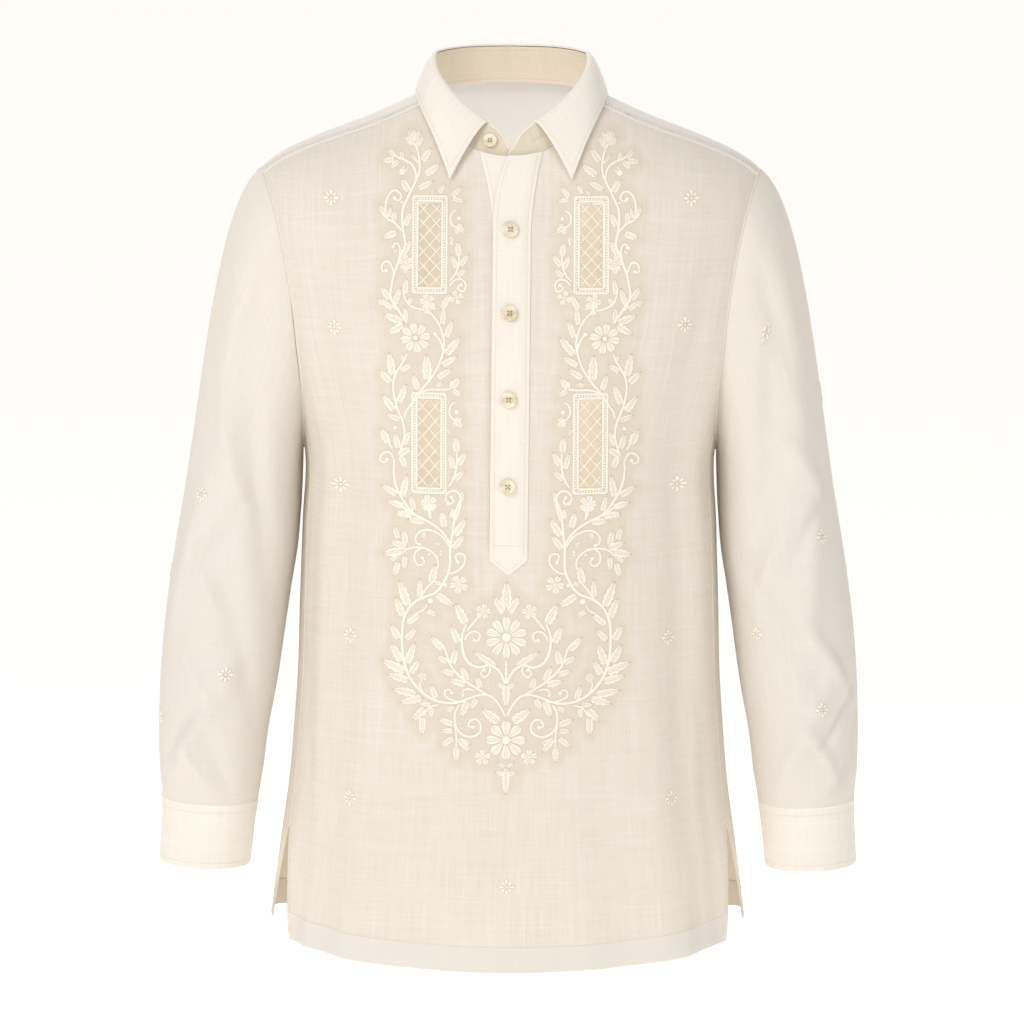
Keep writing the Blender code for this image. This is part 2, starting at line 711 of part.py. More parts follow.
def along_neck(start, end):
    """Points of the neck curve between two places across, without the places themselves."""
    steps = [neck_plan(math.pi * i / NECK_STEPS)[0] for i in range(-NECK_STEPS // 2, NECK_STEPS // 2 + 1)]
    low, high = sorted((start, end))
    between = [across for across in steps if low + NECK_CLEAR < across < high - NECK_CLEAR]
    if start > end:
        between.reverse()
    return [(across, neck_height(across)) for across in between]


def strip(name, left, right, foot, lift):
    """A placket strip, from its two edges and the points at its foot."""
    right_side = down_edge(right, foot[0][1], STRIP_STEP)
    left_side = down_edge(left, foot[-1][1], STRIP_STEP)
    top = along_neck(left_side[0][0], right_side[0][0])
    around = right_side[:-1] + foot + left_side[:-1][::-1] + top
    outline = [tuple(map(float, seen(across, height))) for across, height in around]
    return body_panel(name, outline, BAND, STRIP_STEP, CRISP, lift=lift)


# Calado windows


def clipped(polygon, axis, limit, keep_below):
    """The part of a convex polygon on one side of an upright or level line."""
    sign = 1 if keep_below else -1
    kept = []
    for start, end in zip(polygon, polygon[1:] + polygon[:1]):
        inside_start = sign * (start[axis] - limit) <= 0
        inside_end = sign * (end[axis] - limit) <= 0
        if inside_start:
            kept.append(start)
        if inside_start != inside_end:
            share = (limit - start[axis]) / (end[axis] - start[axis])
            kept.append(tuple(s + share * (e - s) for s, e in zip(start, end)))
    return kept


def area(polygon):
    turns = [x0 * y1 - x1 * y0 for (x0, y0), (x1, y1) in zip(polygon, polygon[1:] + polygon[:1])]
    return abs(sum(turns)) / 2


def lattice_gaps(window):
    """The gaps between a window's bars, round the window's own middle."""
    half_across, half_down = LATTICE_ACROSS / 2, window.half_height / LATTICE_ROWS
    slope_distance = half_across * half_down / math.hypot(half_across, half_down)
    share = 1 - LATTICE_BAR / 2 / slope_distance
    corner_a, corner_d = half_across * share, half_down * share
    gaps = []
    for i in range(-2, 3):
        for j in range(-6, 7):
            if (i + j) % 2 == 0:
                continue
            x, y = i * half_across, j * half_down
            gap = [(x + corner_a, y), (x, y + corner_d), (x - corner_a, y), (x, y - corner_d)]
            gap = clipped(gap, 0, WINDOW_HALF_WIDTH, True)
            gap = clipped(gap, 0, -WINDOW_HALF_WIDTH, False)
            gap = clipped(gap, 1, window.half_height, True)
            gap = clipped(gap, 1, -window.half_height, False)
            if len(gap) > 2 and area(gap) > SMALLEST_CUT:
                gaps.append(gap)
    return gaps


def window_holes():
    holes = []
    for side in SIDES.values():
        for window in WINDOWS:
            for gap in lattice_gaps(window):
                places = [seen(side * WINDOW_ACROSS + x, window.height + y) for x, y in gap]
                holes.append([(float(turn), float(drop)) for turn, drop in places])
    return holes


# Body panels


def hem(start, end, height, rise, back=False):
    """A hem from one angle to another, lowest at its middle."""
    middle = math.pi if back else 0.0
    bend = BACK_HEM_BEND if back else FRONT_HEM_BEND
    count = math.ceil(abs(end - start) * FLAT_SCALE / BODY_STEP)
    corner = abs(math.sin(end))
    line = []
    for i in range(count + 1):
        turn = start + (end - start) * i / count
        share = abs(math.sin(turn - middle)) / corner
        line.append((turn, float(drop_to(turn, height + rise * share**bend))))
    return line


def slit_edge(angle, corner_height):
    """From the top of the slit down to a corner of the hem, without either end."""
    line = []
    for i in range(1, SLIT_STEPS):
        share = i / SLIT_STEPS
        turn = SIDE_SEAM + (angle - SIDE_SEAM) * share
        line.append((turn, float(drop_to(turn, SLIT_TOP + (corner_height - SLIT_TOP) * share))))
    return line


def make_front():
    shoulder = [beside(turn, drop, 0, 1) for turn, drop in front_shoulder_seam()]
    arm = [armhole(step) for step in range(YOKE_FRONT_STEP + 1, SIDE_SEAM_STEP)]
    side = [beside(turn, drop, -1, 0) for turn, drop in side_seam()]
    slit = slit_edge(SLIT_FRONT_EDGE, FRONT_HEM + FRONT_HEM_RISE)
    bottom = hem(SLIT_FRONT_EDGE, -SLIT_FRONT_EDGE, FRONT_HEM, FRONT_HEM_RISE)
    left = shoulder + arm + side + slit

    left_slot = down_edge(lambda height: over_left(height) - PLACKET_LAP, SLOT_FOOT, BODY_STEP)
    right_slot = down_edge(lambda height: under_right(height) + PLACKET_LAP, SLOT_FOOT, BODY_STEP)
    neck_end = neck_plan(math.pi * YOKE_NECK_STEP / NECK_STEPS)[0]
    neck_right = along_neck(-neck_end, right_slot[0][0])
    neck_left = along_neck(left_slot[0][0], neck_end)
    opening = neck_right + right_slot + left_slot[::-1] + neck_left
    opening = [tuple(map(float, seen(across, height))) for across, height in opening]
    outline = left + bottom + mirrored(left) + opening
    return body_panel("front", outline, CLOTH, BODY_STEP, SHEER, holes=window_holes())


def make_back():
    top = [beside(turn, drop, 0, 1) for turn, drop in back_yoke_seam()]
    arm = [armhole(step, back=True) for step in range(YOKE_BACK_STEP + 1, ARM_STEPS)]
    underarm = [armhole(step) for step in range(ARM_STEPS, SIDE_SEAM_STEP, -1)]
    side = [beside(turn, drop, 1, 0) for turn, drop in side_seam()]
    slit = slit_edge(SLIT_BACK_EDGE, BACK_HEM + BACK_HEM_RISE)
    left = top + arm + underarm + side + slit
    bottom = hem(SLIT_BACK_EDGE, 2 * math.pi - SLIT_BACK_EDGE, BACK_HEM, BACK_HEM_RISE, back=True)
    right = [(2 * math.pi - turn, drop) for turn, drop in left[1:][::-1]]
    return body_panel("back", left + bottom + right, CLOTH, BODY_STEP, SHEER)


def make_yoke():
    """One piece over both shoulders. Its pattern is flat in reach across and drop, front positive."""

    def flat(turn, drop):
        side = 1 if math.sin(turn) >= 0 else -1
        return side * reach_of(turn), drop if math.cos(turn) > 0 else -drop

    shoulder = [flat(*beside(turn, drop, 0, -1)) for turn, drop in front_shoulder_seam()]
    neck = [math.pi * step / NECK_STEPS for step in range(YOKE_NECK_STEP + 1, NECK_STEPS + 1)]
    neck = [flat(*from_above(*neck_plan(angle))) for angle in neck]
    arm = [flat(*armhole(step, back=True)) for step in range(YOKE_BACK_STEP - 1, -1, -1)]
    back = [flat(*beside(turn, drop, 0, -1)) for turn, drop in back_yoke_seam()]
    left = back + arm + shoulder[::-1] + neck
    left[0] = (0.0, left[0][1])
    left[-1] = (0.0, left[-1][1])
    outline = left + [(-reach, drop) for reach, drop in left[1:-1][::-1]]
    corners, faces = fill(outline, [], YOKE_STEP)
    reach, drop = corners.T
    turn = np.arcsin(np.clip(np.abs(reach) / SHOULDER_REACH, 0, 1) ** (SQUARENESS / 2))
    turn = np.where(drop < 0, math.pi - turn, turn)
    middle, out = body(np.where(reach < 0, -turn, turn), np.abs(drop))
    return wall("yoke", middle, out, faces, CLOTH, SHEER)


# Sleeves and cuffs


def ring(turn, height):
    """A point of the left sleeve below its cap, by an angle from the outer side round the front."""
    bend = 2 / SLEEVE_SQUARENESS
    outer, inner = sleeve_outer(height), sleeve_inner(height)
    across = np.sign(np.cos(turn)) * np.abs(np.cos(turn)) ** bend
    ahead = np.sign(np.sin(turn)) * np.abs(np.sin(turn)) ** bend
    x = (outer + inner) / 2 + (outer - inner) / 2 * across
    y = sleeve_fore(height) - sleeve_half_depth(height) * ahead
    return column(x, y, height - SLEEVE_TILT * (outer - x))


def cap_start(turn):
    """The sleeve's first point: over the armhole seam, clear of the panel that it laps."""
    turn = np.mod(turn, 2 * math.pi)
    front = turn <= math.pi
    round_half = np.where(front, turn, 2 * math.pi - turn)
    top, foot = ARMHOLE[0].height, ARMHOLE[-1].height
    height = top + (foot - top) * (1 - np.cos(round_half)) / 2
    ahead = seen(armhole_across(height), height)
    behind = seen(armhole_across(height), height, back=True)
    place = [np.where(front, fore, aft) for fore, aft in zip(ahead, behind)]
    return body(*place, CLOTH + LAP_GAP)[0]


def smooth_sleeve(turn, along):
    """The left sleeve without its folds. Along runs from 0 at the armhole to 1 at the cuff."""
    turn = np.asarray(turn, float)
    along = np.asarray(along, float)
    share = np.clip(along / CAP_SHARE, 0, 1)[..., None]
    lower = CAP_END + (SLEEVE_END - CAP_END) * np.clip((along - CAP_SHARE) / (1 - CAP_SHARE), 0, None)
    start = cap_start(turn)
    end = ring(turn, np.full_like(turn, CAP_END))
    length = np.linalg.norm(end - start, axis=-1, keepdims=True)
    top = (1 + np.cos(turn)) / 2
    down = CAP_DOWN_FOOT + (CAP_DOWN_TOP - CAP_DOWN_FOOT) * top
    leaving = unit(column(CAP_OUT * top**CAP_OUT_BEND, -CAP_ASIDE * np.sin(turn), -down))
    arriving = unit(ring(turn, np.full_like(turn, CAP_END - CAP_END_REACH)) - end)
    s = share
    cap = (1 + 2 * s) * (1 - s) ** 2 * start + s * (1 - s) ** 2 * CAP_START_PULL * length * leaving
    cap = cap + s * s * (3 - 2 * s) * end - s * s * (1 - s) * CAP_END_PULL * length * arriving
    return np.where(along[..., None] < CAP_SHARE, cap, ring(turn, lower))


def sleeve(side, turn, along, lift=0.0):
    """A point of a sleeve's middle, lifted off it, and the outward direction there."""
    creases = SLEEVE_CREASES[side]

    def folded(turn, along):
        plain = smooth_sleeve(turn, along)
        out = -outward(smooth_sleeve, turn, along, RING_TURN_NUDGE, RING_NUDGE)
        ends = np.clip(along / FOLD_FREE_TOP, 0, 1) * np.clip((1 - along) / FOLD_FREE_FOOT, 0, 1)
        body_side = 1 - np.exp(-(((np.degrees(turn) - 180) / BODY_SIDE) ** 2)) * (along < BODY_SIDE_END)
        depth = creased(creases, along, turn) * ends * body_side
        return plain + depth[..., None] * out

    turn = np.asarray(turn, float)
    along = np.asarray(along, float)
    out = -outward(folded, turn, along, RING_TURN_NUDGE, RING_NUDGE)
    placed = folded(turn, along) + lift * out
    mirror = np.array([SIDES[side], 1, 1])
    return placed * mirror, out * mirror


def sleeve_grid(first_row, columns):
    """Angles and shares of the sleeve's rows and columns."""
    rows = np.arange(first_row, SLEEVE_ROWS + 1) / SLEEVE_ROWS
    turns = np.asarray(columns) * 2 * math.pi / SLEEVE_COLUMNS
    turn, along = np.meshgrid(turns, rows)
    return turn.ravel(), along.ravel(), len(rows), len(turns)


def make_sleeve(side):
    turn, along, rows, columns = sleeve_grid(0, range(SLEEVE_COLUMNS))
    middle, out = sleeve(side, turn, along)
    faces = lattice_faces(rows, columns, closed=True)
    return wall("sleeve_" + side, middle, out, faces, CLOTH, SHEER)


def make_vent(side):
    """The strip that binds the sleeve's opening above the cuff."""
    turn, along, rows, columns = sleeve_grid(SLEEVE_ROWS - VENT_ROWS, range(VENT_COLUMN, VENT_COLUMN + 3))
    middle, out = sleeve(side, turn, along, CLOTH / 2 + GAP + BAND / 2)
    return wall("vent_" + side, middle, out, lattice_faces(rows, columns), BAND, CRISP)


def cuff(side, turn, height, lift=0.0):
    """A point of a cuff, whose last stretch laps over its first. Turn runs on past the overlap."""
    past = np.clip((turn - CUFF_OPENING - 2 * math.pi + CUFF_LAP_START) / CUFF_LAP_RISE, 0, 1)
    past = past * past * (3 - 2 * past)
    out = outward(ring, turn, height, RING_TURN_NUDGE, RING_NUDGE)
    placed = ring(turn, height) + (lift + past * (STIFF + LAP_GAP))[..., None] * out
    mirror = np.array([SIDES[side], 1, 1])
    return placed * mirror, out * mirror


def make_cuff(side):
    last = CUFF_OPENING + 2 * math.pi + CUFF_OVERLAP
    turns = np.linspace(CUFF_OPENING, last, round((last - CUFF_OPENING) / CUFF_STEP) + 1)
    heights = np.array([SLEEVE_END - GAP, (SLEEVE_END + CUFF_FOOT) / 2, CUFF_FOOT])
    turn, height = np.meshgrid(turns, heights)
    middle, out = cuff(side, turn.ravel(), height.ravel())
    faces = lattice_faces(len(heights), len(turns))
    return wall("cuff_" + side, middle, out, faces, STIFF, CRISP)


# Collar


def stand_base(angle):
    """The foot of the stand: just inside the neck curve."""
    edge = 0.002
    here = np.array(neck_plan(angle))
    ahead = np.array(neck_plan(angle + edge)) - np.array(neck_plan(angle - edge))
    inward = np.array([ahead[1], -ahead[0]]) / np.linalg.norm(ahead)
    if np.dot(inward, here) > 0:
        inward = -inward
    foot = here + inward * (STIFF / 2 + LAP_GAP)
    return np.array([*foot, float(smooth_body(*from_above(*here))[2])])


def table_point(table, angle, value):
    """A collar table read at an angle, mirrored for the right side."""
    degrees = abs(math.degrees(angle))
    across = float(curve(table, "turn", "across")(degrees))
    fore = float(curve(table, "turn", "fore")(degrees))
    return math.copysign(across, angle), fore, float(curve(table, "turn", value)(degrees))


def stand_point(angle, share, side):
    """The stand's middle at a share of its height; the right end tucks in behind the left end."""
    end = 1 - min(1.0, abs(math.degrees(angle)) / STAND_END_TURN)
    if side * angle < 0:
        end = 1.0
    base = stand_base(angle)
    top = np.array(table_point(STAND_TOP, angle, "height"))
    place = base + (top - base) * share
    if side < 0:
        place[1] += (STIFF + LAP_GAP) * end * end * (3 - 2 * end)
    return place


def make_collar_stand():
    half = [math.pi * step / NECK_STEPS for step in range(NECK_STEPS)]
    right = [STAND_END_PAST] + [-angle for angle in half]
    left = half[::-1] + [-STAND_END_PAST]
    columns = [(angle, -1) for angle in right] + [(math.pi, 1)] + [(angle, 1) for angle in left]
    shares = (0.0, 0.5, 1.0)
    middle = np.array([[stand_point(angle, share, side) for angle, side in columns] for share in shares])
    out = grid_normals(middle)
    faces = lattice_faces(len(shares), len(columns))
    return wall("collar_stand", middle.reshape(-1, 3), out, faces, STIFF, CRISP)


def grid_normals(middle):
    """Outward directions of a grid of points whose columns run round the neck from right to left."""
    along = np.gradient(middle, axis=1)
    up = np.gradient(middle, axis=0)
    out = unit(np.cross(up, along))
    return out.reshape(-1, 3)


def leaf_point(angle, share):
    """The collar's leaf: up over the stand, then out and down to an edge just off the body."""
    top = np.array(table_point(STAND_TOP, angle, "height"))
    across, fore, lift = table_point(LEAF_EDGE, angle, "lift")
    edge, _ = body(*from_above(across, fore), lift)
    away = edge - top
    away[2] = 0
    away = away / np.linalg.norm(away)
    start = top + (0, 0, LEAF_REST)
    rise = start + away * ROLL_OUT + np.array([0, 0, ROLL_UP])
    bow = edge + (start - edge) * LEAF_BEND + away * LEAF_BOW + np.array([0, 0, LEAF_BOW])
    s = share
    return (1 - s) ** 3 * start + 3 * s * (1 - s) ** 2 * rise + 3 * s * s * (1 - s) * bow + s**3 * edge


def make_collar_fall():
    half = [math.pi * step / NECK_STEPS for step in range(LEAF_NECK_STEP, NECK_STEPS)]
    angles = [-angle for angle in half] + [math.pi] + half[::-1]
    middle = np.array([[leaf_point(angle, share) for angle in angles] for share in LEAF_ROWS])
    faces = lattice_faces(len(LEAF_ROWS), len(angles))
    return wall("collar_fall", middle.reshape(-1, 3), grid_normals(middle), faces, STIFF, CRISP)


# Buttons


def make_button(name, place, out, radius):
    """A turned button lying on a surface, its back at a place and its face along a direction."""
    out = np.asarray(out, float)
    level = unit(np.cross(out, (0, 0, 1)))
    upright = np.cross(level, out)
    corners = []
    faces = []
    rings = []
    for ring_ in BUTTON_PROFILE:
        if ring_.radius == 0:
            rings.append([len(corners)])
            corners.append(place + out * ring_.height)
            continue
        rings.append(list(range(len(corners), len(corners) + BUTTON_SIDES)))
        for i in range(BUTTON_SIDES):
            angle = 2 * math.pi * i / BUTTON_SIDES
            around = level * math.cos(angle) + upright * math.sin(angle)
            corners.append(place + around * radius * ring_.radius + out * ring_.height)
    for lower, upper in zip(rings, rings[1:]):
        for i in range(BUTTON_SIDES):
            j = (i + 1) % BUTTON_SIDES
            if len(lower) == 1:
                faces.append((lower[0], upper[j], upper[i]))
            elif len(upper) == 1:
                faces.append((lower[i], lower[j], upper[0]))
            else:
                faces.append((lower[i], lower[j], upper[j], upper[i]))
    return add_solid(name, corners, faces, SHELL, BUTTON_EDGE_ANGLE)


def make_buttons(over_lift):
    for number, height in enumerate(BUTTON_HEIGHTS, start=1):
        turn, drop = seen(placket_middle(height) + BUTTON_ASIDE, height)
        place, out = body(turn, drop, over_lift + BAND / 2 + GAP)
        make_button(f"button_{number}", place, out, BUTTON_RADIUS)
    for side in SIDES:
        turn = np.array(CUFF_OPENING + 2 * math.pi + CUFF_OVERLAP - CUFF_BUTTON_BACK)
        height = np.array((SLEEVE_END + CUFF_FOOT) / 2)
        place, out = cuff(side, turn, height, STIFF / 2 + BUTTON_CLEAR)
        make_button("button_cuff_" + side, place, out, CUFF_BUTTON_RADIUS)


def make_collar_button():
    """On the right end of the stand."""
    angle = math.radians(COLLAR_BUTTON_TURN)
    nudge = math.radians(1)
    place = stand_point(angle, 0.5, -1)
    along = stand_point(angle + nudge, 0.5, -1) - stand_point(angle - nudge, 0.5, -1)
    up = stand_point(angle, 0.6, -1) - stand_point(angle, 0.4, -1)
    out = unit(np.cross(up, along))
    if out[1] > 0:
        out = -out
    make_button("button_collar", place + out * (STIFF / 2 + BUTTON_CLEAR), out, COLLAR_BUTTON_RADIUS)


def build():
    clear_scene()
    under_lift = CLOTH / 2 + LAP_GAP + BAND / 2
    over_lift = under_lift + BAND + LAP_GAP
    make_front()
    make_back()
    make_yoke()
    for side in SIDES:
        make_sleeve(side)
        make_cuff(side)
        make_vent(side)
    foot = [(under_right(UNDER_FOOT), UNDER_FOOT), (under_left(UNDER_FOOT), UNDER_FOOT)]
    strip("placket_under", under_left, under_right, foot, under_lift)
    foot = [
        (over_right(POINT_SHOULDER), POINT_SHOULDER),
        (placket_middle(POINT_TIP), POINT_TIP),
        (over_left(POINT_SHOULDER), POINT_SHOULDER),
    ]
    strip("placket_over", over_left, over_right, foot, over_lift)
    make_collar_stand()
    make_collar_fall()
    make_buttons(over_lift)
    make_collar_button()


build()
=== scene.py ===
"""Looks of the barong tagalog shirt: thin shells, seams, stitches, embroidery and materials over its solids.

Metres, +Z up, in the solids' frame. The front faces -Y and left is the wearer's, +X. The tables and
surfaces repeat those of the solids, read at a finer step, so that each shell lies where its solid lies.
"""

import math
from collections import namedtuple

import bpy
import numpy as np
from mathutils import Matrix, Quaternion, Vector
from mathutils.geometry import delaunay_2d_cdt


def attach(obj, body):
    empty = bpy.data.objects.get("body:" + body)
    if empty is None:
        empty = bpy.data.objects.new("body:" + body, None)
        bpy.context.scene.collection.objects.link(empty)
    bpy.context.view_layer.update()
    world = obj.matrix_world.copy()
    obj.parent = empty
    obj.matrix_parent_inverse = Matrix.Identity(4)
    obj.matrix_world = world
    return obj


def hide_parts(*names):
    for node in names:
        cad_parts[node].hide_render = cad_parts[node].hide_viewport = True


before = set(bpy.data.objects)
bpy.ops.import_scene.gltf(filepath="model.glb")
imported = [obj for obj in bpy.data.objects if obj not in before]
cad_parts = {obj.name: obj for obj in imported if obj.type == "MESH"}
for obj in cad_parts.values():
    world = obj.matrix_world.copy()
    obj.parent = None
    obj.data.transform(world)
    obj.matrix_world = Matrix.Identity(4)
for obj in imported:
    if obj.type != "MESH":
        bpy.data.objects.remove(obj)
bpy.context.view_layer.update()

CLOTH = 0.0010  # thickness of the single cloth
BAND = 0.0012  # placket strips
STIFF = 0.0016  # collar and cuffs, which hold an interlining
GAP = 0.0003  # left between two pieces at a seam
LAP_GAP = 0.0005  # where a piece laps a curved one, so that flat facets stay clear

# The body's outline. Depths are from the mid plane to the centre front and to the centre back.
Level = namedtuple("Level", "height half_width front_depth back_depth")
BODY = [
    Level(0.060, 0.2350, 0.122, 0.118),
    Level(-0.070, 0.2350, 0.122, 0.118),
    Level(-0.100, 0.2340, 0.122, 0.119),
    Level(-0.126, 0.2320, 0.123, 0.120),
    Level(-0.156, 0.2280, 0.125, 0.121),
    Level(-0.194, 0.2220, 0.128, 0.122),
    Level(-0.221, 0.2160, 0.130, 0.122),
    Level(-0.255, 0.2060, 0.131, 0.121),
    Level(-0.288, 0.1960, 0.132, 0.120),
    Level(-0.325, 0.1880, 0.132, 0.118),
    Level(-0.393, 0.1898, 0.130, 0.113),
    Level(-0.472, 0.1926, 0.128, 0.110),
    Level(-0.534, 0.1945, 0.127, 0.111),
    Level(-0.584, 0.1980, 0.127, 0.114),
    Level(-0.634, 0.2025, 0.127, 0.118),
    Level(-0.688, 0.2100, 0.128, 0.121),
    Level(-0.760, 0.2195, 0.130, 0.124),
    Level(-0.820, 0.2270, 0.131, 0.126),
]
SQUARENESS = 2.3  # exponent of the rounded box that each level of the body follows

# The shoulder ridge, out from the centre, and how far below it the cloth has turned fully down. Inside the
# neck
# the front and the back are read from ridges of their own, and the first row makes both level at the
# centre.
Ridge = namedtuple("Ridge", "reach front_height back_height front_turn back_turn")
SHOULDER = [
    Ridge(-0.040, 0.0075, 0.0170, 0.252, 0.122),
    Ridge(0.000, 0.0085, 0.0240, 0.262, 0.130),
    Ridge(0.040, 0.0075, 0.0170, 0.252, 0.122),
    Ridge(0.070, 0.0037, 0.0037, 0.224, 0.112),
    Ridge(0.078, 0.0000, 0.0000, 0.215, 0.110),
    Ridge(0.119, -0.0190, -0.0190, 0.155, 0.098),
    Ridge(0.183, -0.0444, -0.0444, 0.092, 0.075),
    Ridge(0.204, -0.0543, -0.0543, 0.074, 0.066),
    Ridge(0.226, -0.0700, -0.0700, 0.062, 0.060),
    Ridge(0.235, -0.0800, -0.0800, 0.056, 0.056),
]
SHOULDER_REACH = SHOULDER[-1].reach
SHOULDER_FRONT = BODY[0].front_depth
SHOULDER_BACK = BODY[0].back_depth

# The armhole seam as it is seen from the front, from the shoulder point down to the underarm.
Seam = namedtuple("Seam", "height across")
ARMHOLE = [
    Seam(-0.0700, 0.2260),
    Seam(-0.0780, 0.2222),
    Seam(-0.1000, 0.2140),
    Seam(-0.1260, 0.2072),
    Seam(-0.1560, 0.2017),
    Seam(-0.1940, 0.1955),
    Seam(-0.2210, 0.1920),
    Seam(-0.2550, 0.1886),
    Seam(-0.2880, 0.1876),
    Seam(-0.3120, 0.1877),
    Seam(-0.3250, 0.1880),
]
ARM_STEPS = 14  # points on the front half of the armhole, and as many on the back half
YOKE_FRONT_STEP = 1  # the armhole point where the forward shoulder seam ends
YOKE_BACK_STEP = 4
SIDE_SEAM_STEP = 11
YOKE_CENTRE_BACK = -0.108  # height of the back yoke seam at the centre
FRONT_SEAM_STEPS = 44
BACK_SEAM_STEPS = 44

SLIT_TOP = -0.6690
SLIT_FRONT_EDGE = math.radians(64.2)  # where the front panel's edge hangs at its hem
SLIT_BACK_EDGE = math.radians(81.6)
FRONT_HEM = -0.790  # at the centre
FRONT_HEM_RISE = 0.0150  # from the centre to the corners
FRONT_HEM_BEND = 2
BACK_HEM = -0.780
BACK_HEM_RISE = 0.0170
BACK_HEM_BEND = 6
SLIT_STEPS = 24

# The neck curve in plan, read by an angle round the neck from the centre front.
NECK_HALF_WIDTH = 0.078
NECK_FRONT = 0.078
NECK_BACK = 0.062
NECK_FRONT_SQUARENESS = 2.5
NECK_STEPS = 80  # points on each half
NECK_CLEAR = 0.0008  # a neck point this near the end of a stretch is left out
YOKE_NECK_STEP = 32  # where the forward shoulder seam meets the neck
LEAF_NECK_STEP = 8  # where the collar's leaves end, short of the centre front

# Placket: two strips over a slot in the front panel, drawn apart at the open neck.
PLACKET_HALF = 0.0170
PLACKET_LAP = 0.0035  # of a strip over the panel's cut edge
PLACKET_LEAN = 0.0060  # the strips lean across by this much for each metre up
PLACKET_UPRIGHT = -0.300  # height where the lean crosses the centre
FLARE_FOOT = -0.122  # the strips part above this height
FLARE_BEND = 1.8
FREE_FLARE_BEND = 2.8
OVER_FLARE = 0.0088
OVER_INNER_FLARE = 0.0128  # how far the upper strip's free edge swings across
UNDER_FLARE = 0.0118
UNDER_END = 0.0120  # from the strip's middle to the lower strip's hidden edge
UNDER_END_FLARE = 0.0065
SLOT_FOOT = -0.392
UNDER_FOOT = -0.401
POINT_SHOULDER = -0.4100  # where the upper strip's sides end and its point begins
POINT_TIP = -0.4240

# Calado windows: cloth cut to a lattice, four in all, placed as seen from the front.
Window = namedtuple("Window", "height half_height")
WINDOWS = [Window(-0.1280, 0.0368), Window(-0.3045, 0.0398)]
WINDOW_ACROSS = 0.0722
WINDOW_HALF_WIDTH = 0.0099
LATTICE_ACROSS = 0.0116  # one diamond, corner to corner
LATTICE_ROWS = 5.95  # diamonds in a window's height
LATTICE_BAR = 0.0013
SMALLEST_CUT = 2e-6  # square metres: smaller corners of the lattice stay closed

BUTTON_HEIGHTS = (-0.1156, -0.1879, -0.2641, -0.3423)
BUTTON_ASIDE = -0.0013  # from the middle of the placket
BUTTON_RADIUS = 0.0073
COLLAR_BUTTON_RADIUS = 0.0065
CUFF_BUTTON_RADIUS = 0.0058

# The sleeve below its cap: rings across the left arm.
Ring = namedtuple("Ring", "height outer inner fore half_depth")
SLEEVE = [
    Ring(-0.375, 0.2998, 0.1916, -0.002, 0.0720),
    Ring(-0.410, 0.3058, 0.1945, -0.004, 0.0700),
    Ring(-0.448, 0.3118, 0.2005, -0.006, 0.0670),
    Ring(-0.480, 0.3158, 0.2052, -0.009, 0.0640),
    Ring(-0.540, 0.3207, 0.2140, -0.014, 0.0590),
    Ring(-0.579, 0.3218, 0.2213, -0.018, 0.0555),
    Ring(-0.619, 0.3213, 0.2264, -0.021, 0.0510),
    Ring(-0.648, 0.3190, 0.2312, -0.023, 0.0450),
    Ring(-0.705, 0.3212, 0.2382, -0.026, 0.0445),
    Ring(-0.720, 0.3216, 0.2396, -0.0265, 0.0442),
]
CAP_END = SLEEVE[0].height
SLEEVE_END = -0.6485
CUFF_FOOT = -0.7060
SLEEVE_SQUARENESS = 2.15
SLEEVE_TILT = 0.048  # a ring's inner side hangs lower than its outer side, per metre across
CAP_SHARE = 0.50  # of the sleeve's rows
SLEEVE_ROWS = 130
SLEEVE_COLUMNS = 96
CAP_START_PULL = 0.49  # how far the cap keeps its first direction, as a share of its length
CAP_END_PULL = 1.05
CAP_OUT = 0.80  # the cap's first direction: outwards at its top
CAP_OUT_BEND = 0.35
CAP_ASIDE = 0.30
CAP_DOWN_FOOT = 0.98
CAP_DOWN_TOP = 0.60
CAP_END_REACH = 0.010  # the length of lower sleeve that sets the cap's last direction
FOLD_FREE_TOP = 0.12  # shares of the sleeve over which its folds fade at its two ends
FOLD_FREE_FOOT = 0.06
BODY_SIDE = 40  # degrees either way of the side towards the body, where the upper sleeve has no folds
BODY_SIDE_END = 0.625
RING_TURN_NUDGE = 0.01
RING_NUDGE = 0.002

CUFF_OPENING = math.radians(296)  # behind the wrist, towards its outer side
CUFF_OVERLAP = math.radians(28)
CUFF_LAP_START = math.radians(42)  # before the cuff's last lap ends, it starts to step outwards
CUFF_LAP_RISE = math.radians(33.6)
CUFF_BUTTON_BACK = math.radians(15.4)  # the cuff's button lies this far short of its end
VENT_ROWS = 4  # of the rows below, up from the cuff
VENT_ROW_COUNT = 20  # rows of the solid sleeve
VENT_TURN = 2 * math.pi / 28  # angle of one of the solid sleeve's columns
VENT_COLUMN = 22  # first of the two sleeve columns that the vent's strip covers

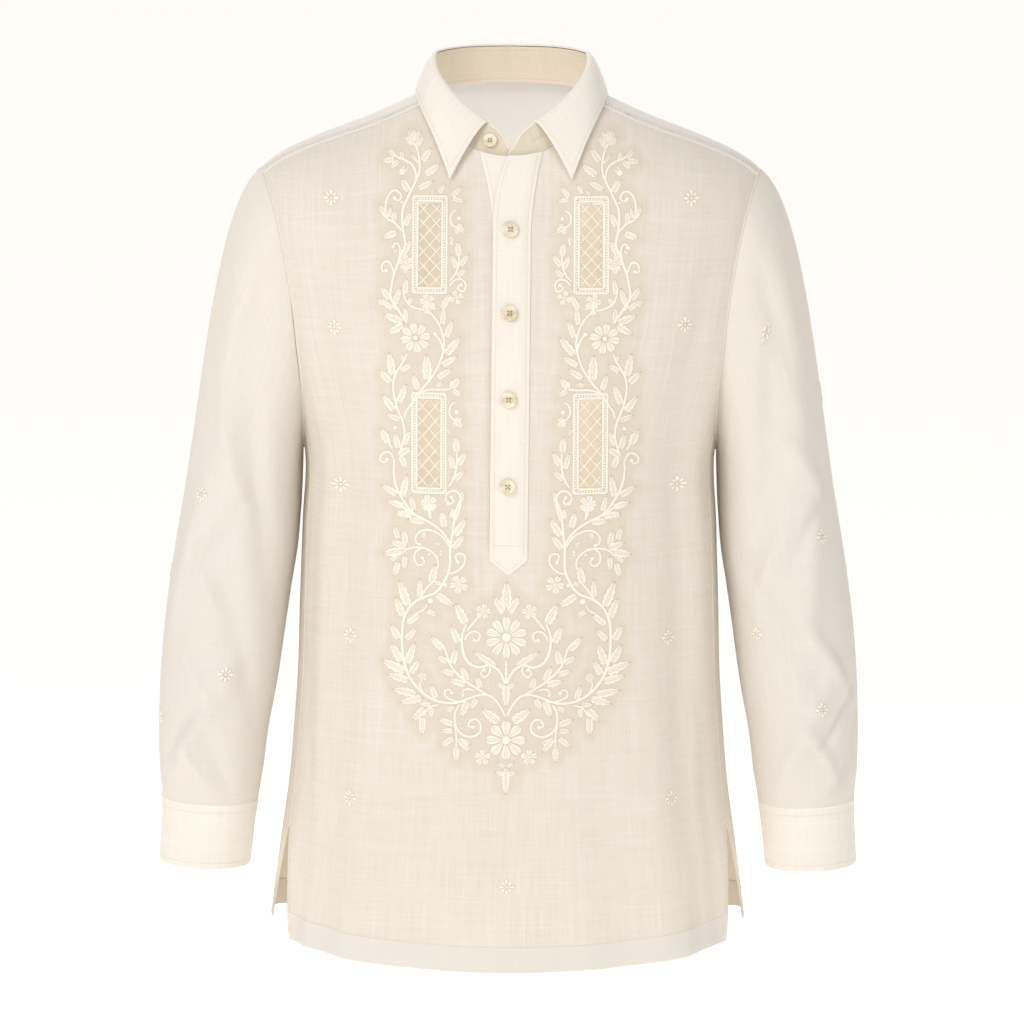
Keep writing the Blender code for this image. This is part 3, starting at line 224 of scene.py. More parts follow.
# Collar. Angles are round the neck, in degrees from the centre front; the left side is given.
Collar = namedtuple("Collar", "turn across fore height")
STAND_TOP = [
    Collar(180, 0.0000, 0.0560, 0.0375),
    Collar(144, 0.0395, 0.0460, 0.0370),
    Collar(117, 0.0610, 0.0270, 0.0350),
    Collar(90, 0.0685, 0.0000, 0.0315),
    Collar(72, 0.0662, -0.0240, 0.0205),
    Collar(54, 0.0560, -0.0430, 0.0062),
    Collar(36, 0.0395, -0.0570, -0.0098),
    Collar(27, 0.0295, -0.0622, -0.0170),
    Collar(18, 0.0200, -0.0660, -0.0232),
    Collar(9, 0.0095, -0.0715, -0.0318),
    Collar(0, 0.0000, -0.0765, -0.0470),
    Collar(-9, -0.0100, -0.0765, -0.0500),
]
Leaf = namedtuple("Leaf", "turn across fore lift")
LEAF_EDGE = [
    Leaf(180, 0.0000, 0.0790, 0.0045),
    Leaf(144, 0.0480, 0.0665, 0.0040),
    Leaf(117, 0.0755, 0.0400, 0.0030),
    Leaf(90, 0.0866, 0.0010, 0.0022),
    Leaf(72, 0.0818, -0.0350, 0.0030),
    Leaf(54, 0.0738, -0.0580, 0.0035),
    Leaf(36, 0.0652, -0.0748, 0.0040),
    Leaf(27, 0.0602, -0.0825, 0.0040),
    Leaf(18, 0.0548, -0.0892, 0.0040),
]
STAND_END_TURN = 27  # degrees short of the centre front, where the stand's ends part to lap
STAND_END_PAST = math.radians(0.6)
COLLAR_BUTTON_TURN = -13
LEAF_REST = 0.0007  # from the stand's top edge up to the middle of the leaf
LEAF_BEND = 0.45  # where the leaf bows most, as a share of its length from its edge
ROLL_OUT = 0.0045  # the leaf's roll over the stand
ROLL_UP = 0.0060
LEAF_BOW = 0.0035

Crease = namedtuple("Crease", "start end turn_start turn_end width depth")
FOLD_TAPER = 0.8
# Soft folds of the body: heights, and degrees round from the centre front.
BODY_CREASES = [
    Crease(-0.18, -0.62, 58, 64, 5.5, 0.0045),
    Crease(-0.26, -0.90, 49, 52, 5.0, -0.0040),
    Crease(-0.42, -0.98, 36, 42, 6.5, 0.0040),
    Crease(-0.56, -0.98, 22, 27, 6.5, -0.0035),
    Crease(-0.20, -0.70, -57, -60, 5.5, 0.0045),
    Crease(-0.30, -0.90, -48, -47, 5.0, -0.0042),
    Crease(-0.50, -0.98, -33, -42, 6.5, 0.0042),
    Crease(-0.60, -0.98, -16, -22, 7.0, -0.0032),
    Crease(-0.18, -0.70, 121, 112, 6.5, 0.0050),
    Crease(-0.26, -0.98, 136, 130, 6.5, -0.0045),
    Crease(-0.36, -0.98, 152, 148, 7.0, 0.0045),
    Crease(-0.30, -0.98, 172, 170, 7.5, -0.0035),
    Crease(-0.20, -0.76, 240, 246, 6.5, 0.0050),
    Crease(-0.28, -0.98, 223, 231, 6.5, -0.0045),
    Crease(-0.40, -0.98, 205, 210, 7.0, 0.0040),
]
# Soft folds of each sleeve: shares of its length, and degrees from the outer side round the front.
SLEEVE_CREASES = {
    "left": [
        Crease(0.08, 0.56, 35, 75, 14, 0.0045),
        Crease(0.18, 0.66, 72, 120, 13, -0.0055),
        Crease(0.36, 0.82, 40, 95, 12, 0.0050),
        Crease(0.54, 0.84, 140, 62, 12, -0.0045),
        Crease(0.74, 0.99, 50, 130, 11, 0.0050),
        Crease(0.82, 1.00, 15, 55, 10, -0.0045),
        Crease(0.12, 0.62, 312, 272, 14, 0.0050),
        Crease(0.30, 0.76, 255, 218, 13, -0.0050),
        Crease(0.60, 0.94, 228, 285, 12, 0.0048),
    ],
    "right": [
        Crease(0.08, 0.54, 40, 82, 14, 0.0048),
        Crease(0.22, 0.66, 80, 130, 13, -0.0058),
        Crease(0.40, 0.76, 58, 30, 12, 0.0045),
        Crease(0.50, 0.86, 62, 135, 12, -0.0045),
        Crease(0.72, 0.98, 112, 45, 11, 0.0054),
        Crease(0.84, 1.00, 72, 120, 10, -0.0042),
        Crease(0.12, 0.58, 300, 266, 14, 0.0050),
        Crease(0.34, 0.82, 250, 222, 13, -0.0048),
        Crease(0.64, 0.95, 240, 298, 12, 0.0045),
    ],
}

FLAT_SCALE = 0.20  # metres of pattern for each radian round the body
BODY_STEP = 0.0055
YOKE_STEP = 0.006
EDGE_CLEAR = 0.55  # of a step, kept free of grid points beside an edge
MERGE = 1e-7  # metres: pattern points closer than this are one
NUDGE = 0.0008  # used to measure slopes of the surfaces
SIDES = {"left": 1, "right": -1}

# Looks: lifts of the sewn pieces off the cloth, and how far stitching lies in from an edge
HEM_DEPTH = 0.024  # of the cloth turned up
VENT_WIDTH = 0.024
VENT_LENGTH = 0.112
STAND_HEIGHT = 0.036
SIDE_REACH = 0.2  # about the body's radius at the sides
SEAM_LAP = 0.005  # of one panel over another
ARM_FINE = 0.125  # step along an armhole, in armhole columns
YOKE_LIFT = 0.0013  # over the front and the back
SEWN_LIFT = 0.0009  # of a strip's middle where it is sewn to the front
UNDER_LIFT = 0.0016
OVER_LIFT = 0.0030
PLACKET_STITCH = 0.0036
CROSS_STITCH = -0.3960  # height of the stitching across the placket's foot
CUFF_STITCH = 0.0055
COLLAR_STITCH = 0.0036
STAND_RIM = 24  # columns at each free end of the stand whose edge shows a rolled fold
SLIT_STITCH = 0.0045
COLLAR_HOLE_TURNS = (12.5, 20.5)

# Painted shadow: each stitched shape runs on into a skirt that dips into the cloth and takes the thread's
# darkest, shaded tone.
SHADOW_SKIRT = 0.55  # millimetres, of shaded cloth beside a stitched shape
SATIN_HIGH = 0.62  # millimetres, of a filled leaf above the cloth
CORD_HIGH = 0.66
STEM_WIDTH = 1.3  # times the table's width
CURL_KNOT = 1.5  # times the table's width, for the ball at a curl's end
LEAF_WIDTH = 1.15  # times the table's share of the length
LEAF_STALK = 1.1  # millimetres across, where a leaf joins its stem
FRAME_WIDTH = 6.0  # millimetres, of the border round a window
FRAME_CORDS = [(0.9, 1.6), (4.8, 1.7)]  # millimetres in from the border's outer edge, and width
FRAME_BEADS = 2.85  # millimetres in from the border's outer edge
BEAD = 0.95  # radius
BEAD_SPACING = 2.5
LATTICE_CORD = 1.15  # millimetres, of the thread wound round a window's bars
# Painted shade: the reverse of the cloth, seen inside the hollow shirt, is darkened by this share.
INSIDE_SHADE = 0.72  # how far the reverse of the cloth turns to its darker colour
LEVEL = -0.45  # height at which the threads across the body lie level
# Painted shade on the cloth round the embroidery: full up to the first distance from its stitches, gone by
# the second.
SHADE_NEAR = 2.5  # millimetres from the stitches
SHADE_FAR = 9.0
SLEEVE_RADIUS = 62  # millimetres: of the tube on which its small flowers are drawn
SLEEVE_LENGTH = 560  # millimetres
# Small scattered flowers: millimetres across and up, or degrees round a sleeve and share along it.
FRONT_STARS = [
    (-161, -89), (-158, -204), (-152, -348), (-145, -486), (-144, -635),
    (162, -88), (157, -200), (152, -346), (145, -486), (148, -634), (-1, -710),
]
BACK_STARS = [
    (122, -152), (60, -190), (158, -236), (0, -270), (95, -320), (155, -400), (45, -410), (110, -500),
    (0, -530), (150, -600), (65, -620), (115, -700), (0, -690),
]
SLEEVE_STARS = {
    "left": [
        (69, 0.18), (55, 0.54), (74, 0.828), (0, 0.36), (352, 0.70), (300, 0.52), (285, 0.20), (240, 0.82),
        (128, 0.70),
    ],
    "right": [
        (53, 0.475), (97, 0.77), (352, 0.26), (0, 0.62), (22, 0.86), (300, 0.45), (285, 0.16), (240, 0.78),
        (306, 0.74),
    ],
}
# Finer folds than the solids show.
FINE_BODY_CREASES = [
    Crease(-0.66, -0.99, 50, 38, 4.4, 0.0033),
    Crease(-0.70, -0.99, 12, 8, 5.0, -0.0023),
    Crease(-0.12, -0.30, 50, 44, 4.4, -0.0028),
    Crease(-0.12, -0.34, -50, -44, 4.4, -0.0028),
    Crease(-0.52, -0.92, 63, 58, 4.0, -0.0033),
    Crease(-0.52, -0.92, -64, -57, 4.0, -0.0033),
    Crease(-0.68, -0.99, -52, -60, 4.4, 0.0031),
    Crease(-0.34, -0.62, 158, 166, 3.9, 0.0026),
    Crease(-0.40, -0.70, 196, 190, 3.9, 0.0026),
]
FINE_SLEEVE_CREASES = {
    "left": [
        Crease(0.02, 0.34, 62, 52, 7.9, -0.0041),
        Crease(0.30, 0.50, 95, 40, 9.3, 0.0041),
        Crease(0.42, 0.60, 30, 92, 7.9, -0.0043),
        Crease(0.50, 0.66, 84, 130, 7.9, 0.0041),
        Crease(0.66, 0.84, 88, 30, 7.9, 0.0041),
        Crease(0.78, 0.92, 20, 88, 7.9, -0.0046),
        Crease(0.84, 0.97, 96, 52, 6.6, 0.0041),
        Crease(0.92, 1.00, 40, 70, 6.6, -0.0031),
        Crease(0.40, 0.62, 320, 262, 9.3, -0.0036),
    ],
    "right": [
        Crease(0.02, 0.36, 70, 56, 7.9, -0.0043),
        Crease(0.28, 0.50, 48, 100, 9.3, 0.0041),
        Crease(0.44, 0.62, 104, 44, 7.9, -0.0046),
        Crease(0.52, 0.68, 34, 88, 7.9, 0.0041),
        Crease(0.68, 0.84, 32, 92, 7.9, 0.0041),
        Crease(0.78, 0.93, 98, 34, 7.9, -0.0048),
        Crease(0.86, 0.98, 48, 94, 6.6, 0.0041),
        Crease(0.92, 1.00, 84, 50, 6.6, -0.0031),
        Crease(0.40, 0.62, 262, 318, 9.3, -0.0036),
        Crease(0.74, 0.92, 320, 262, 7.9, -0.0038),
    ],
}
BODY_CREASES += FINE_BODY_CREASES
for crease_side, fine_creases in FINE_SLEEVE_CREASES.items():
    SLEEVE_CREASES[crease_side] += fine_creases

CAMERA_DISTANCE = 5.0
CAMERA_ELEVATION = 9.0
CAMERA_AIM = (0.0023, 0.0, -0.3865)
CAMERA_ROLL = 0.27
FOCAL_PIXELS = 5435
FLOOR = -1.35
FLOOR_REACH = 30.0  # metres, to each side
FLOOR_GLOW = 0.49
WORLD_STRENGTH = 0.52
Light = namedtuple("Light", "name place target size energy colour")
LIGHTS = [
    Light("key", (-2.3, -2.6, 2.1), (0, 0, -0.4), (1.4, 1.4), 60, (1.0, 0.99, 0.975)),
    Light("fill", (2.4, -2.8, 0.6), (0, 0, -0.4), (2.0, 2.6), 15, (1.0, 0.99, 0.975)),
    Light("back", (0, 3.0, 0.8), (0, 0, -0.4), (3.0, 2.4), 45, (1.0, 0.99, 0.98)),
    Light("above", (0, -0.9, 3.2), (0, 0.05, -0.1), (1.0, 1.0), 16, (1.0, 0.99, 0.98)),
    Light("hollow", (0, -0.045, -0.38), (0, 1, -0.38), (0.16, 0.50), 0.50, (1.0, 0.99, 0.985)),
    Light("neck", (0, 0.0, -0.13), (0, 0.065, 0.03), (0.12, 0.05), 0.10, (1.0, 1.0, 1.0)),
    Light("chest", (0, -0.035, -0.20), (0, 1, -0.20), (0.14, 0.12), 0.10, (1.0, 0.99, 0.985)),
]
# A stitched leaf: share along it, half width and rise. Its section: share across and rise. The rise also sets
# the thread's painted shade: the lower the thread, the darker it is coloured.
LEAF_SHAPE = [
    (0.0, 0.05, 0.2), (0.10, 0.48, 0.85), (0.20, 0.90, 1.0), (0.29, 0.66, 0.85), (0.40, 1.0, 1.0),
    (0.52, 0.66, 0.85),
    (0.64, 0.84, 1.0), (0.75, 0.46, 0.85), (0.87, 0.44, 0.8), (1.0, 0.03, 0.1),
]
PETAL_SHAPE = [
    (0.0, 0.10, 0.4), (0.12, 0.32, 0.9), (0.28, 0.58, 1.0), (0.45, 0.84, 1.0), (0.62, 1.0, 1.0),
    (0.78, 0.94, 1.0),
    (0.91, 0.62, 0.9), (1.0, 0.12, 0.3),
]
LEAF_SECTION = [
    (-1.0, -0.1), (-0.84, 0.9), (-0.56, 1.0), (-0.38, 0.50), (-0.16, 0.46), (0.0, 0.82), (0.16, 0.46),
    (0.38, 0.50),
    (0.56, 1.0), (0.84, 0.9), (1.0, -0.1),
]
PLAIN_SECTION = [
    (-1.0, -0.1), (-0.80, 0.9), (-0.4, 1.15), (0.0, 1.2), (0.4, 1.15), (0.80, 0.9), (1.0, -0.1)
]
# Each sheet's cut in metres, laid flat: width, length and area; how it is held, what it hangs from or lies
# on, and
# the pieces sewn to it.
Cut = namedtuple("Cut", "piece width length area held rests_on sewn_on")

# Embroidery on one half of the front, in millimetres: across from the centre front, and height. Stems are
# their
# width, their points and the size of the knot at their end. Leaves run from a base to a tip, with a share
# for width.
Stem = namedtuple("Stem", "width knot points")
STEMS = [
    Stem(
        1.5,
        0,
        [
            (88, -40), (84, -47), (82, -56), (82, -65), (86, -75), (91, -85), (96, -96), (97, -106),
            (96, -116), (94, -128), (98, -138), (101, -146), (104, -154), (106, -164), (107, -171),
            (105, -179), (102, -186),
        ],
    ),
    Stem(1.3, 0, [(85, -74), (85, -67), (88, -60), (94, -56), (100, -54), (105, -51)]),
    Stem(
        1.2,
        1.3,
        [
            (111, -102), (112, -95), (110, -87), (106, -82), (101, -82), (98, -86), (99, -89), (102, -90),
            (104, -88),
        ],
    ),
    Stem(1.2, 0, [(96, -117), (100, -113), (104, -109), (110, -106), (114, -100)]),
    Stem(1.2, 1.2, [(101, -146), (99, -138), (99, -131), (101, -127), (104, -128), (105, -130)]),
    Stem(
        1.2,
        1.3,
        [(104, -154), (106, -147), (109, -143), (113, -144), (115, -148), (114, -152), (111, -151)],
    ),
    Stem(1.1, 0, [(95, -166), (95, -172), (91, -180), (83, -184), (76, -185)]),
    Stem(1.1, 0, [(48, -98), (52, -100), (54, -105), (52, -111), (47, -113)]),
    Stem(1.0, 1.0, [(55, -122), (52, -123), (53, -127)]),
    Stem(1.2, 0, [(55, -160), (51, -156), (48, -151), (46, -143), (46, -135)]),
    Stem(
        1.2,
        1.3,
        [(54, -164), (50, -159), (44, -158), (40, -162), (41, -168), (45, -168), (47, -165), (44, -163)],
    ),
    Stem(1.5, 0, [(108, -176), (105, -178), (99, -187), (92, -197)]),
    Stem(
        1.3,
        0,
        [
            (75, -184), (71, -188), (65, -195), (61, -204), (59, -213), (60, -223), (64, -235), (72, -248),
            (82, -260), (89, -271), (93, -277), (94, -283),
        ],
    ),
    Stem(1.1, 1.3, [(60, -222), (62, -213), (67, -206)]),
    Stem(1.2, 0, [(83, -262), (78, -258), (70, -256), (60, -256), (52, -255)]),
    Stem(
        1.3,
        0,
        [
            (92, -224), (95, -231), (100, -239), (104, -249), (104, -260), (101, -273), (96, -285),
            (94, -296), (96, -307), (100, -317),
        ],
    ),
    Stem(1.1, 0, [(105, -311), (108, -306), (109, -297)]),
    Stem(
        1.1,
        1.2,
        [(103, -323), (106, -316), (110, -314), (115, -317), (116, -322), (112, -324), (110, -321)],
    ),
    Stem(1.4, 0, [(103, -321), (104, -329), (103, -339), (100, -349), (94, -359), (88, -367), (79, -374)]),
    Stem(1.1, 0, [(72, -365), (71, -370), (70, -374)]),
    Stem(1.1, 0, [(48, -267), (52, -269), (54, -275), (52, -281), (47, -284)]),
    Stem(1.2, 0, [(55, -344), (51, -338), (48, -329), (47, -320), (47, -312)]),
    Stem(1.4, 0, [(57, -352), (54, -348), (48, -347), (44, -352), (44, -360), (46, -368), (48, -374)]),
    Stem(1.2, 1.2, [(57, -352), (57, -356), (54, -359), (50, -357), (52, -353)]),
    Stem(
        1.6,
        0,
        [
            (103, -358), (98, -361), (89, -368), (74, -375), (62, -383), (54, -394), (53, -406), (54, -420),
            (60, -433), (67, -441), (79, -446), (88, -453), (94, -464), (96, -477), (96, -492), (94, -506),
            (88, -521), (77, -533), (64, -540), (48, -541), (34, -536), (24, -533), (15, -535), (8, -543),
            (3, -553),
        ],
    ),
    Stem(1.4, 0, [(44, -355), (48, -366), (50, -378), (52, -394), (53, -406)]),
    Stem(1.2, 1.2, [(54, -398), (60, -389), (69, -384), (78, -384), (84, -390), (83, -396), (80, -397)]),
    Stem(1.2, 0, [(64, -419), (64, -410), (70, -403), (78, -400), (90, -401), (98, -407)]),
    Stem(1.2, 1.2, [(78, -400), (84, -404), (85, -411), (81, -416), (76, -413), (78, -409)]),
    Stem(1.2, 1.2, [(54, -423), (46, -420), (40, -413), (40, -406), (45, -404), (48, -407), (46, -412)]),
    Stem(1.0, 0, [(81, -447), (75, -438), (68, -430)]),
    Stem(0.9, 0, [(92, -470), (84, -461), (76, -456), (74, -451)]),
    Stem(0.9, 0, [(77, -532), (80, -526), (79, -522)]),
    Stem(1.0, 0, [(63, -543), (71, -546), (77, -554)]),
    Stem(1.3, 0, [(66, -485), (58, -491), (52, -507), (40, -520), (26, -529), (16, -535)]),
    Stem(1.1, 1.2, [(45, -540), (52, -538), (57, -535), (57, -530), (53, -529), (51, -532)]),
    Stem(1.0, 1.1, [(31, -530), (36, -528), (41, -530), (41, -534)]),
    Stem(
        1.7,
        0,
        [(38, -468), (42, -480), (41, -494), (36, -504), (27, -508), (17, -506), (8, -512), (3, -523)],
    ),
    Stem(1.2, 0, [(38, -475), (30, -465), (26, -460)]),
    Stem(1.2, 1.2, [(40, -484), (36, -477), (31, -475), (26, -478), (28, -484), (31, -483)]),
    Stem(1.1, 1.2, [(17, -507), (17, -513), (22, -517), (25, -513), (22, -510)]),
    Stem(
        1.4,
        1.2,
        [
            (44, -542), (48, -550), (48, -560), (43, -569), (34, -572), (26, -568), (25, -561), (29, -556),
            (34, -557), (36, -562), (32, -563),
        ],
    ),
    Stem(1.1, 0, [(49, -560), (47, -571), (47, -583)]),
    Stem(0.9, 0, [(19, -592), (16, -587)]),
]
LeafStitch = namedtuple("LeafStitch", "x z tip_x tip_z width")
LEAVES = [
    LeafStitch(87.9, -40.0, 92.5, -29.5, 0.34),
    LeafStitch(87.9, -40.0, 86.8, -28.5, 0.34),
    LeafStitch(87.9, -40.0, 80.6, -30.2, 0.34),
    LeafStitch(87.9, -41.3, 95.9, -35.4, 0.34),
    LeafStitch(87.5, -41.9, 94.8, -39.7, 0.36),
    LeafStitch(85.3, -44.2, 78.2, -34.9, 0.36),
    LeafStitch(84.4, -45.3, 82.8, -37.2, 0.3),
    LeafStitch(82.5, -58.2, 90.3, -49.5, 0.2),
    LeafStitch(80.1, -56.5, 71.2, -44.9, 0.42),
    LeafStitch(77.4, -68.4, 63.4, -58.4, 0.36),
    LeafStitch(83.4, -80.2, 68.9, -72.7, 0.32),
    LeafStitch(103.2, -53.7, 110.3, -46.4, 0.42),
    LeafStitch(96.6, -55.2, 99.3, -47.5, 0.46),
    LeafStitch(103.8, -55.6, 115.8, -56.5, 0.42),
    LeafStitch(100.3, -55.8, 108.0, -62.8, 0.44),
    LeafStitch(95.0, -64.7, 91.2, -62.9, 0.5),
    LeafStitch(97.3, -62.8, 94.5, -59.7, 0.5),
    LeafStitch(91.0, -82.9, 98.0, -70.9, 0.46),
    LeafStitch(110.4, -105.6, 117.2, -93.8, 0.36),
    LeafStitch(108.6, -105.6, 107.2, -94.3, 0.26),
    LeafStitch(104.8, -108.3, 103.4, -98.4, 0.48),
    LeafStitch(94.8, -112.6, 88.9, -99.9, 0.4),
    LeafStitch(101.0, -117.4, 114.2, -122.2, 0.46),
    LeafStitch(106.4, -121.0, 108.5, -116.6, 0.4),
    LeafStitch(96.6, -137.0, 88.7, -124.2, 0.4),
    LeafStitch(100.6, -132.6, 105.7, -135.5, 0.42),
    LeafStitch(93.7, -147.0, 93.6, -154.3, 0.6),
    LeafStitch(103.6, -181.5, 98.1, -165.6, 0.32),
    LeafStitch(107.5, -177.1, 115.9, -164.9, 0.38),
    LeafStitch(104.7, -185.2, 116.2, -176.3, 0.34),
    LeafStitch(94.5, -172.3, 92.3, -157.4, 0.36),
    LeafStitch(91.0, -180.6, 87.6, -173.5, 0.5),
    LeafStitch(64.5, -84.2, 59.1, -75.1, 0.36),
    LeafStitch(71.3, -84.8, 67.4, -80.3, 0.34),
    LeafStitch(53.1, -87.3, 44.2, -77.6, 0.34),
    LeafStitch(52.8, -87.7, 41.4, -91.0, 0.32),
    LeafStitch(48.3, -112.0, 40.1, -117.3, 0.5),
    LeafStitch(48.3, -112.3, 47.1, -120.1, 0.5),
    LeafStitch(48.3, -111.2, 42.1, -110.7, 0.4),
    LeafStitch(45.9, -138.4, 47.7, -125.3, 0.44),
    LeafStitch(47.2, -149.5, 53.0, -136.7, 0.34),
    LeafStitch(45.3, -147.2, 37.4, -136.1, 0.36),
    LeafStitch(48.1, -156.1, 38.8, -148.9, 0.38),
    LeafStitch(61.6, -185.0, 53.4, -170.6, 0.34),
    LeafStitch(95.1, -196.7, 113.2, -189.7, 0.36),
    LeafStitch(93.0, -195.3, 93.9, -182.6, 0.36),
    LeafStitch(94.7, -198.1, 109.3, -207.2, 0.4),
    LeafStitch(113.4, -182.2, 118.5, -176.1, 0.4),
    LeafStitch(60.6, -199.0, 59.2, -182.3, 0.3),
    LeafStitch(57.7, -210.2, 51.2, -193.6, 0.32),
    LeafStitch(58.0, -225.2, 44.0, -208.4, 0.34),
    LeafStitch(61.5, -234.7, 46.5, -225.6, 0.32),
    LeafStitch(65.7, -245.9, 51.7, -237.0, 0.34),
    LeafStitch(73.5, -249.1, 74.8, -224.3, 0.38),
    LeafStitch(82.0, -257.3, 86.8, -242.3, 0.38),
    LeafStitch(52.3, -254.7, 44.8, -244.7, 0.5),
    LeafStitch(51.9, -255.9, 42.8, -260.8, 0.44),
    LeafStitch(66.4, -253.5, 59.8, -249.2, 0.42),
    LeafStitch(52.3, -254.9, 51.9, -246.6, 0.4),
    LeafStitch(95.0, -230.6, 97.6, -225.0, 0.46),
    LeafStitch(104.5, -245.5, 108.3, -223.5, 0.34),
    LeafStitch(106.0, -251.6, 116.9, -240.4, 0.44),
    LeafStitch(98.4, -240.2, 87.5, -233.5, 0.4),
    LeafStitch(100.0, -270.7, 92.5, -251.4, 0.32),
    LeafStitch(102.6, -277.2, 114.6, -262.2, 0.36),
    LeafStitch(97.5, -284.6, 110.8, -279.8, 0.36),
    LeafStitch(95.2, -307.4, 89.0, -293.7, 0.36),
    LeafStitch(99.1, -310.8, 103.2, -296.4, 0.4),
    LeafStitch(108.3, -306.9, 115.6, -292.9, 0.46),
    LeafStitch(98.1, -315.6, 88.5, -309.3, 0.56),
    LeafStitch(97.5, -316.9, 92.8, -328.4, 0.5),
    LeafStitch(100.0, -353.1, 114.9, -344.5, 0.36),
    LeafStitch(96.2, -354.8, 91.5, -333.4, 0.3),
    LeafStitch(93.6, -362.7, 110.1, -359.1, 0.34),
    LeafStitch(87.7, -368.8, 102.5, -370.9, 0.36),
    LeafStitch(85.1, -367.0, 88.6, -352.2, 0.34),
    LeafStitch(72.1, -363.2, 70.8, -369.6, 0.5),
    LeafStitch(49.3, -282.6, 41.2, -282.2, 0.44),
    LeafStitch(49.5, -283.4, 48.0, -290.6, 0.5),
    LeafStitch(49.5, -283.4, 41.2, -289.2, 0.46),
    LeafStitch(55.9, -290.7, 52.1, -297.6, 0.3),
    LeafStitch(47.3, -312.7, 48.3, -297.8, 0.44),
    LeafStitch(49.9, -328.1, 54.0, -312.9, 0.34),
    LeafStitch(46.4, -324.8, 38.6, -311.3, 0.38),
    LeafStitch(49.5, -337.6, 40.3, -328.5, 0.4),
    LeafStitch(43.1, -357.2, 41.9, -346.4, 0.34),
    LeafStitch(51.9, -372.2, 50.1, -362.8, 0.46),
    LeafStitch(61.4, -375.0, 58.9, -366.6, 0.5),
    LeafStitch(50.5, -372.6, 50.6, -362.5, 0.5),
    LeafStitch(49.5, -389.0, 38.5, -371.8, 0.34),
    LeafStitch(51.1, -400.6, 40.2, -387.0, 0.34),
    LeafStitch(57.9, -381.5, 60.5, -366.3, 0.44),
    LeafStitch(85.5, -370.7, 102.2, -368.5, 0.4),
    LeafStitch(75.1, -375.9, 91.1, -374.9, 0.38),
    LeafStitch(95.0, -363.4, 110.2, -358.6, 0.32),
    LeafStitch(72.0, -364.1, 70.8, -372.7, 0.4),
    LeafStitch(56.2, -360.9, 53.3, -355.6, 0.5),
    LeafStitch(75.6, -384.6, 77.7, -392.2, 0.5),
    LeafStitch(61.3, -396.8, 67.7, -394.1, 0.4),
    LeafStitch(92.8, -398.2, 94.9, -383.8, 0.4),
    LeafStitch(99.3, -393.3, 103.6, -381.4, 0.4),
    LeafStitch(91.5, -400.4, 106.7, -395.5, 0.42),
    LeafStitch(94.9, -403.6, 113.7, -407.1, 0.42),
    LeafStitch(100.5, -407.4, 107.0, -414.8, 0.42),
    LeafStitch(93.2, -407.8, 94.9, -421.0, 0.38),
    LeafStitch(99.2, -413.4, 103.6, -427.7, 0.38),
    LeafStitch(39.7, -433.0, 35.9, -433.5, 0.5),
    LeafStitch(70.3, -433.0, 65.9, -414.5, 0.4),
    LeafStitch(60.7, -430.9, 67.2, -432.5, 0.6),
    LeafStitch(65.8, -441.6, 49.3, -452.5, 0.36),
    LeafStitch(90.0, -454.9, 99.2, -430.6, 0.34),
    LeafStitch(80.7, -446.1, 79.7, -428.1, 0.3),
    LeafStitch(94.8, -464.9, 102.2, -446.0, 0.36),
    LeafStitch(92.1, -470.0, 79.3, -460.5, 0.36),
    LeafStitch(74.1, -456.8, 64.6, -461.7, 0.44),
    LeafStitch(75.5, -448.6, 77.9, -445.6, 0.4),
    LeafStitch(98.6, -485.3, 106.3, -471.4, 0.44),
    LeafStitch(93.1, -484.9, 83.1, -474.2, 0.4),
    LeafStitch(96.5, -506.2, 106.3, -488.4, 0.36),
    LeafStitch(92.4, -508.1, 84.1, -486.6, 0.32),
    LeafStitch(91.7, -514.8, 114.3, -504.9, 0.36),
    LeafStitch(88.9, -516.4, 80.6, -502.9, 0.4),
    LeafStitch(89.2, -522.5, 109.4, -517.3, 0.36),
    LeafStitch(82.3, -534.5, 105.2, -530.6, 0.34),
    LeafStitch(77.1, -537.2, 97.9, -543.3, 0.34),
    LeafStitch(64.9, -538.5, 70.2, -525.1, 0.42),
    LeafStitch(69.4, -543.2, 81.2, -543.4, 0.36),
    LeafStitch(75.3, -546.4, 86.7, -558.8, 0.42),
    LeafStitch(77.4, -554.4, 78.0, -571.7, 0.4),
    LeafStitch(68.7, -545.6, 70.1, -555.9, 0.42),
    LeafStitch(48.3, -544.3, 56.3, -549.8, 0.44),
    LeafStitch(36.8, -538.2, 42.8, -554.2, 0.4),
    LeafStitch(28.2, -536.3, 34.5, -547.0, 0.44),
    LeafStitch(58.1, -493.1, 70.3, -480.7, 0.42),
    LeafStitch(54.1, -504.4, 65.0, -498.6, 0.44),
    LeafStitch(50.7, -506.4, 47.5, -491.0, 0.42),
    LeafStitch(48.4, -514.8, 61.0, -511.3, 0.44),
    LeafStitch(36.8, -521.5, 42.9, -507.2, 0.4),
    LeafStitch(38.0, -524.2, 53.6, -520.2, 0.4),
    LeafStitch(24.8, -527.5, 28.8, -516.5, 0.46),
    LeafStitch(38.2, -469.2, 47.9, -449.8, 0.42),
    LeafStitch(44.7, -486.9, 52.0, -470.1, 0.4),
    LeafStitch(10.2, -507.5, 32.3, -493.3, 0.22),
    LeafStitch(49.3, -561.3, 63.2, -556.0, 0.4),
    LeafStitch(49.6, -566.6, 60.9, -567.0, 0.42),
    LeafStitch(49.3, -572.8, 61.0, -581.9, 0.36),
    LeafStitch(47.2, -581.5, 46.8, -595.6, 0.44),
    LeafStitch(45.3, -572.7, 34.9, -586.2, 0.36),
    LeafStitch(41.8, -574.7, 33.7, -579.1, 0.42),
    LeafStitch(44.5, -564.7, 39.3, -563.4, 0.36),
    LeafStitch(7.4, -558.9, 24.2, -546.3, 0.44),
]
Bloom = namedtuple("Bloom", "x z radius petals turn width")
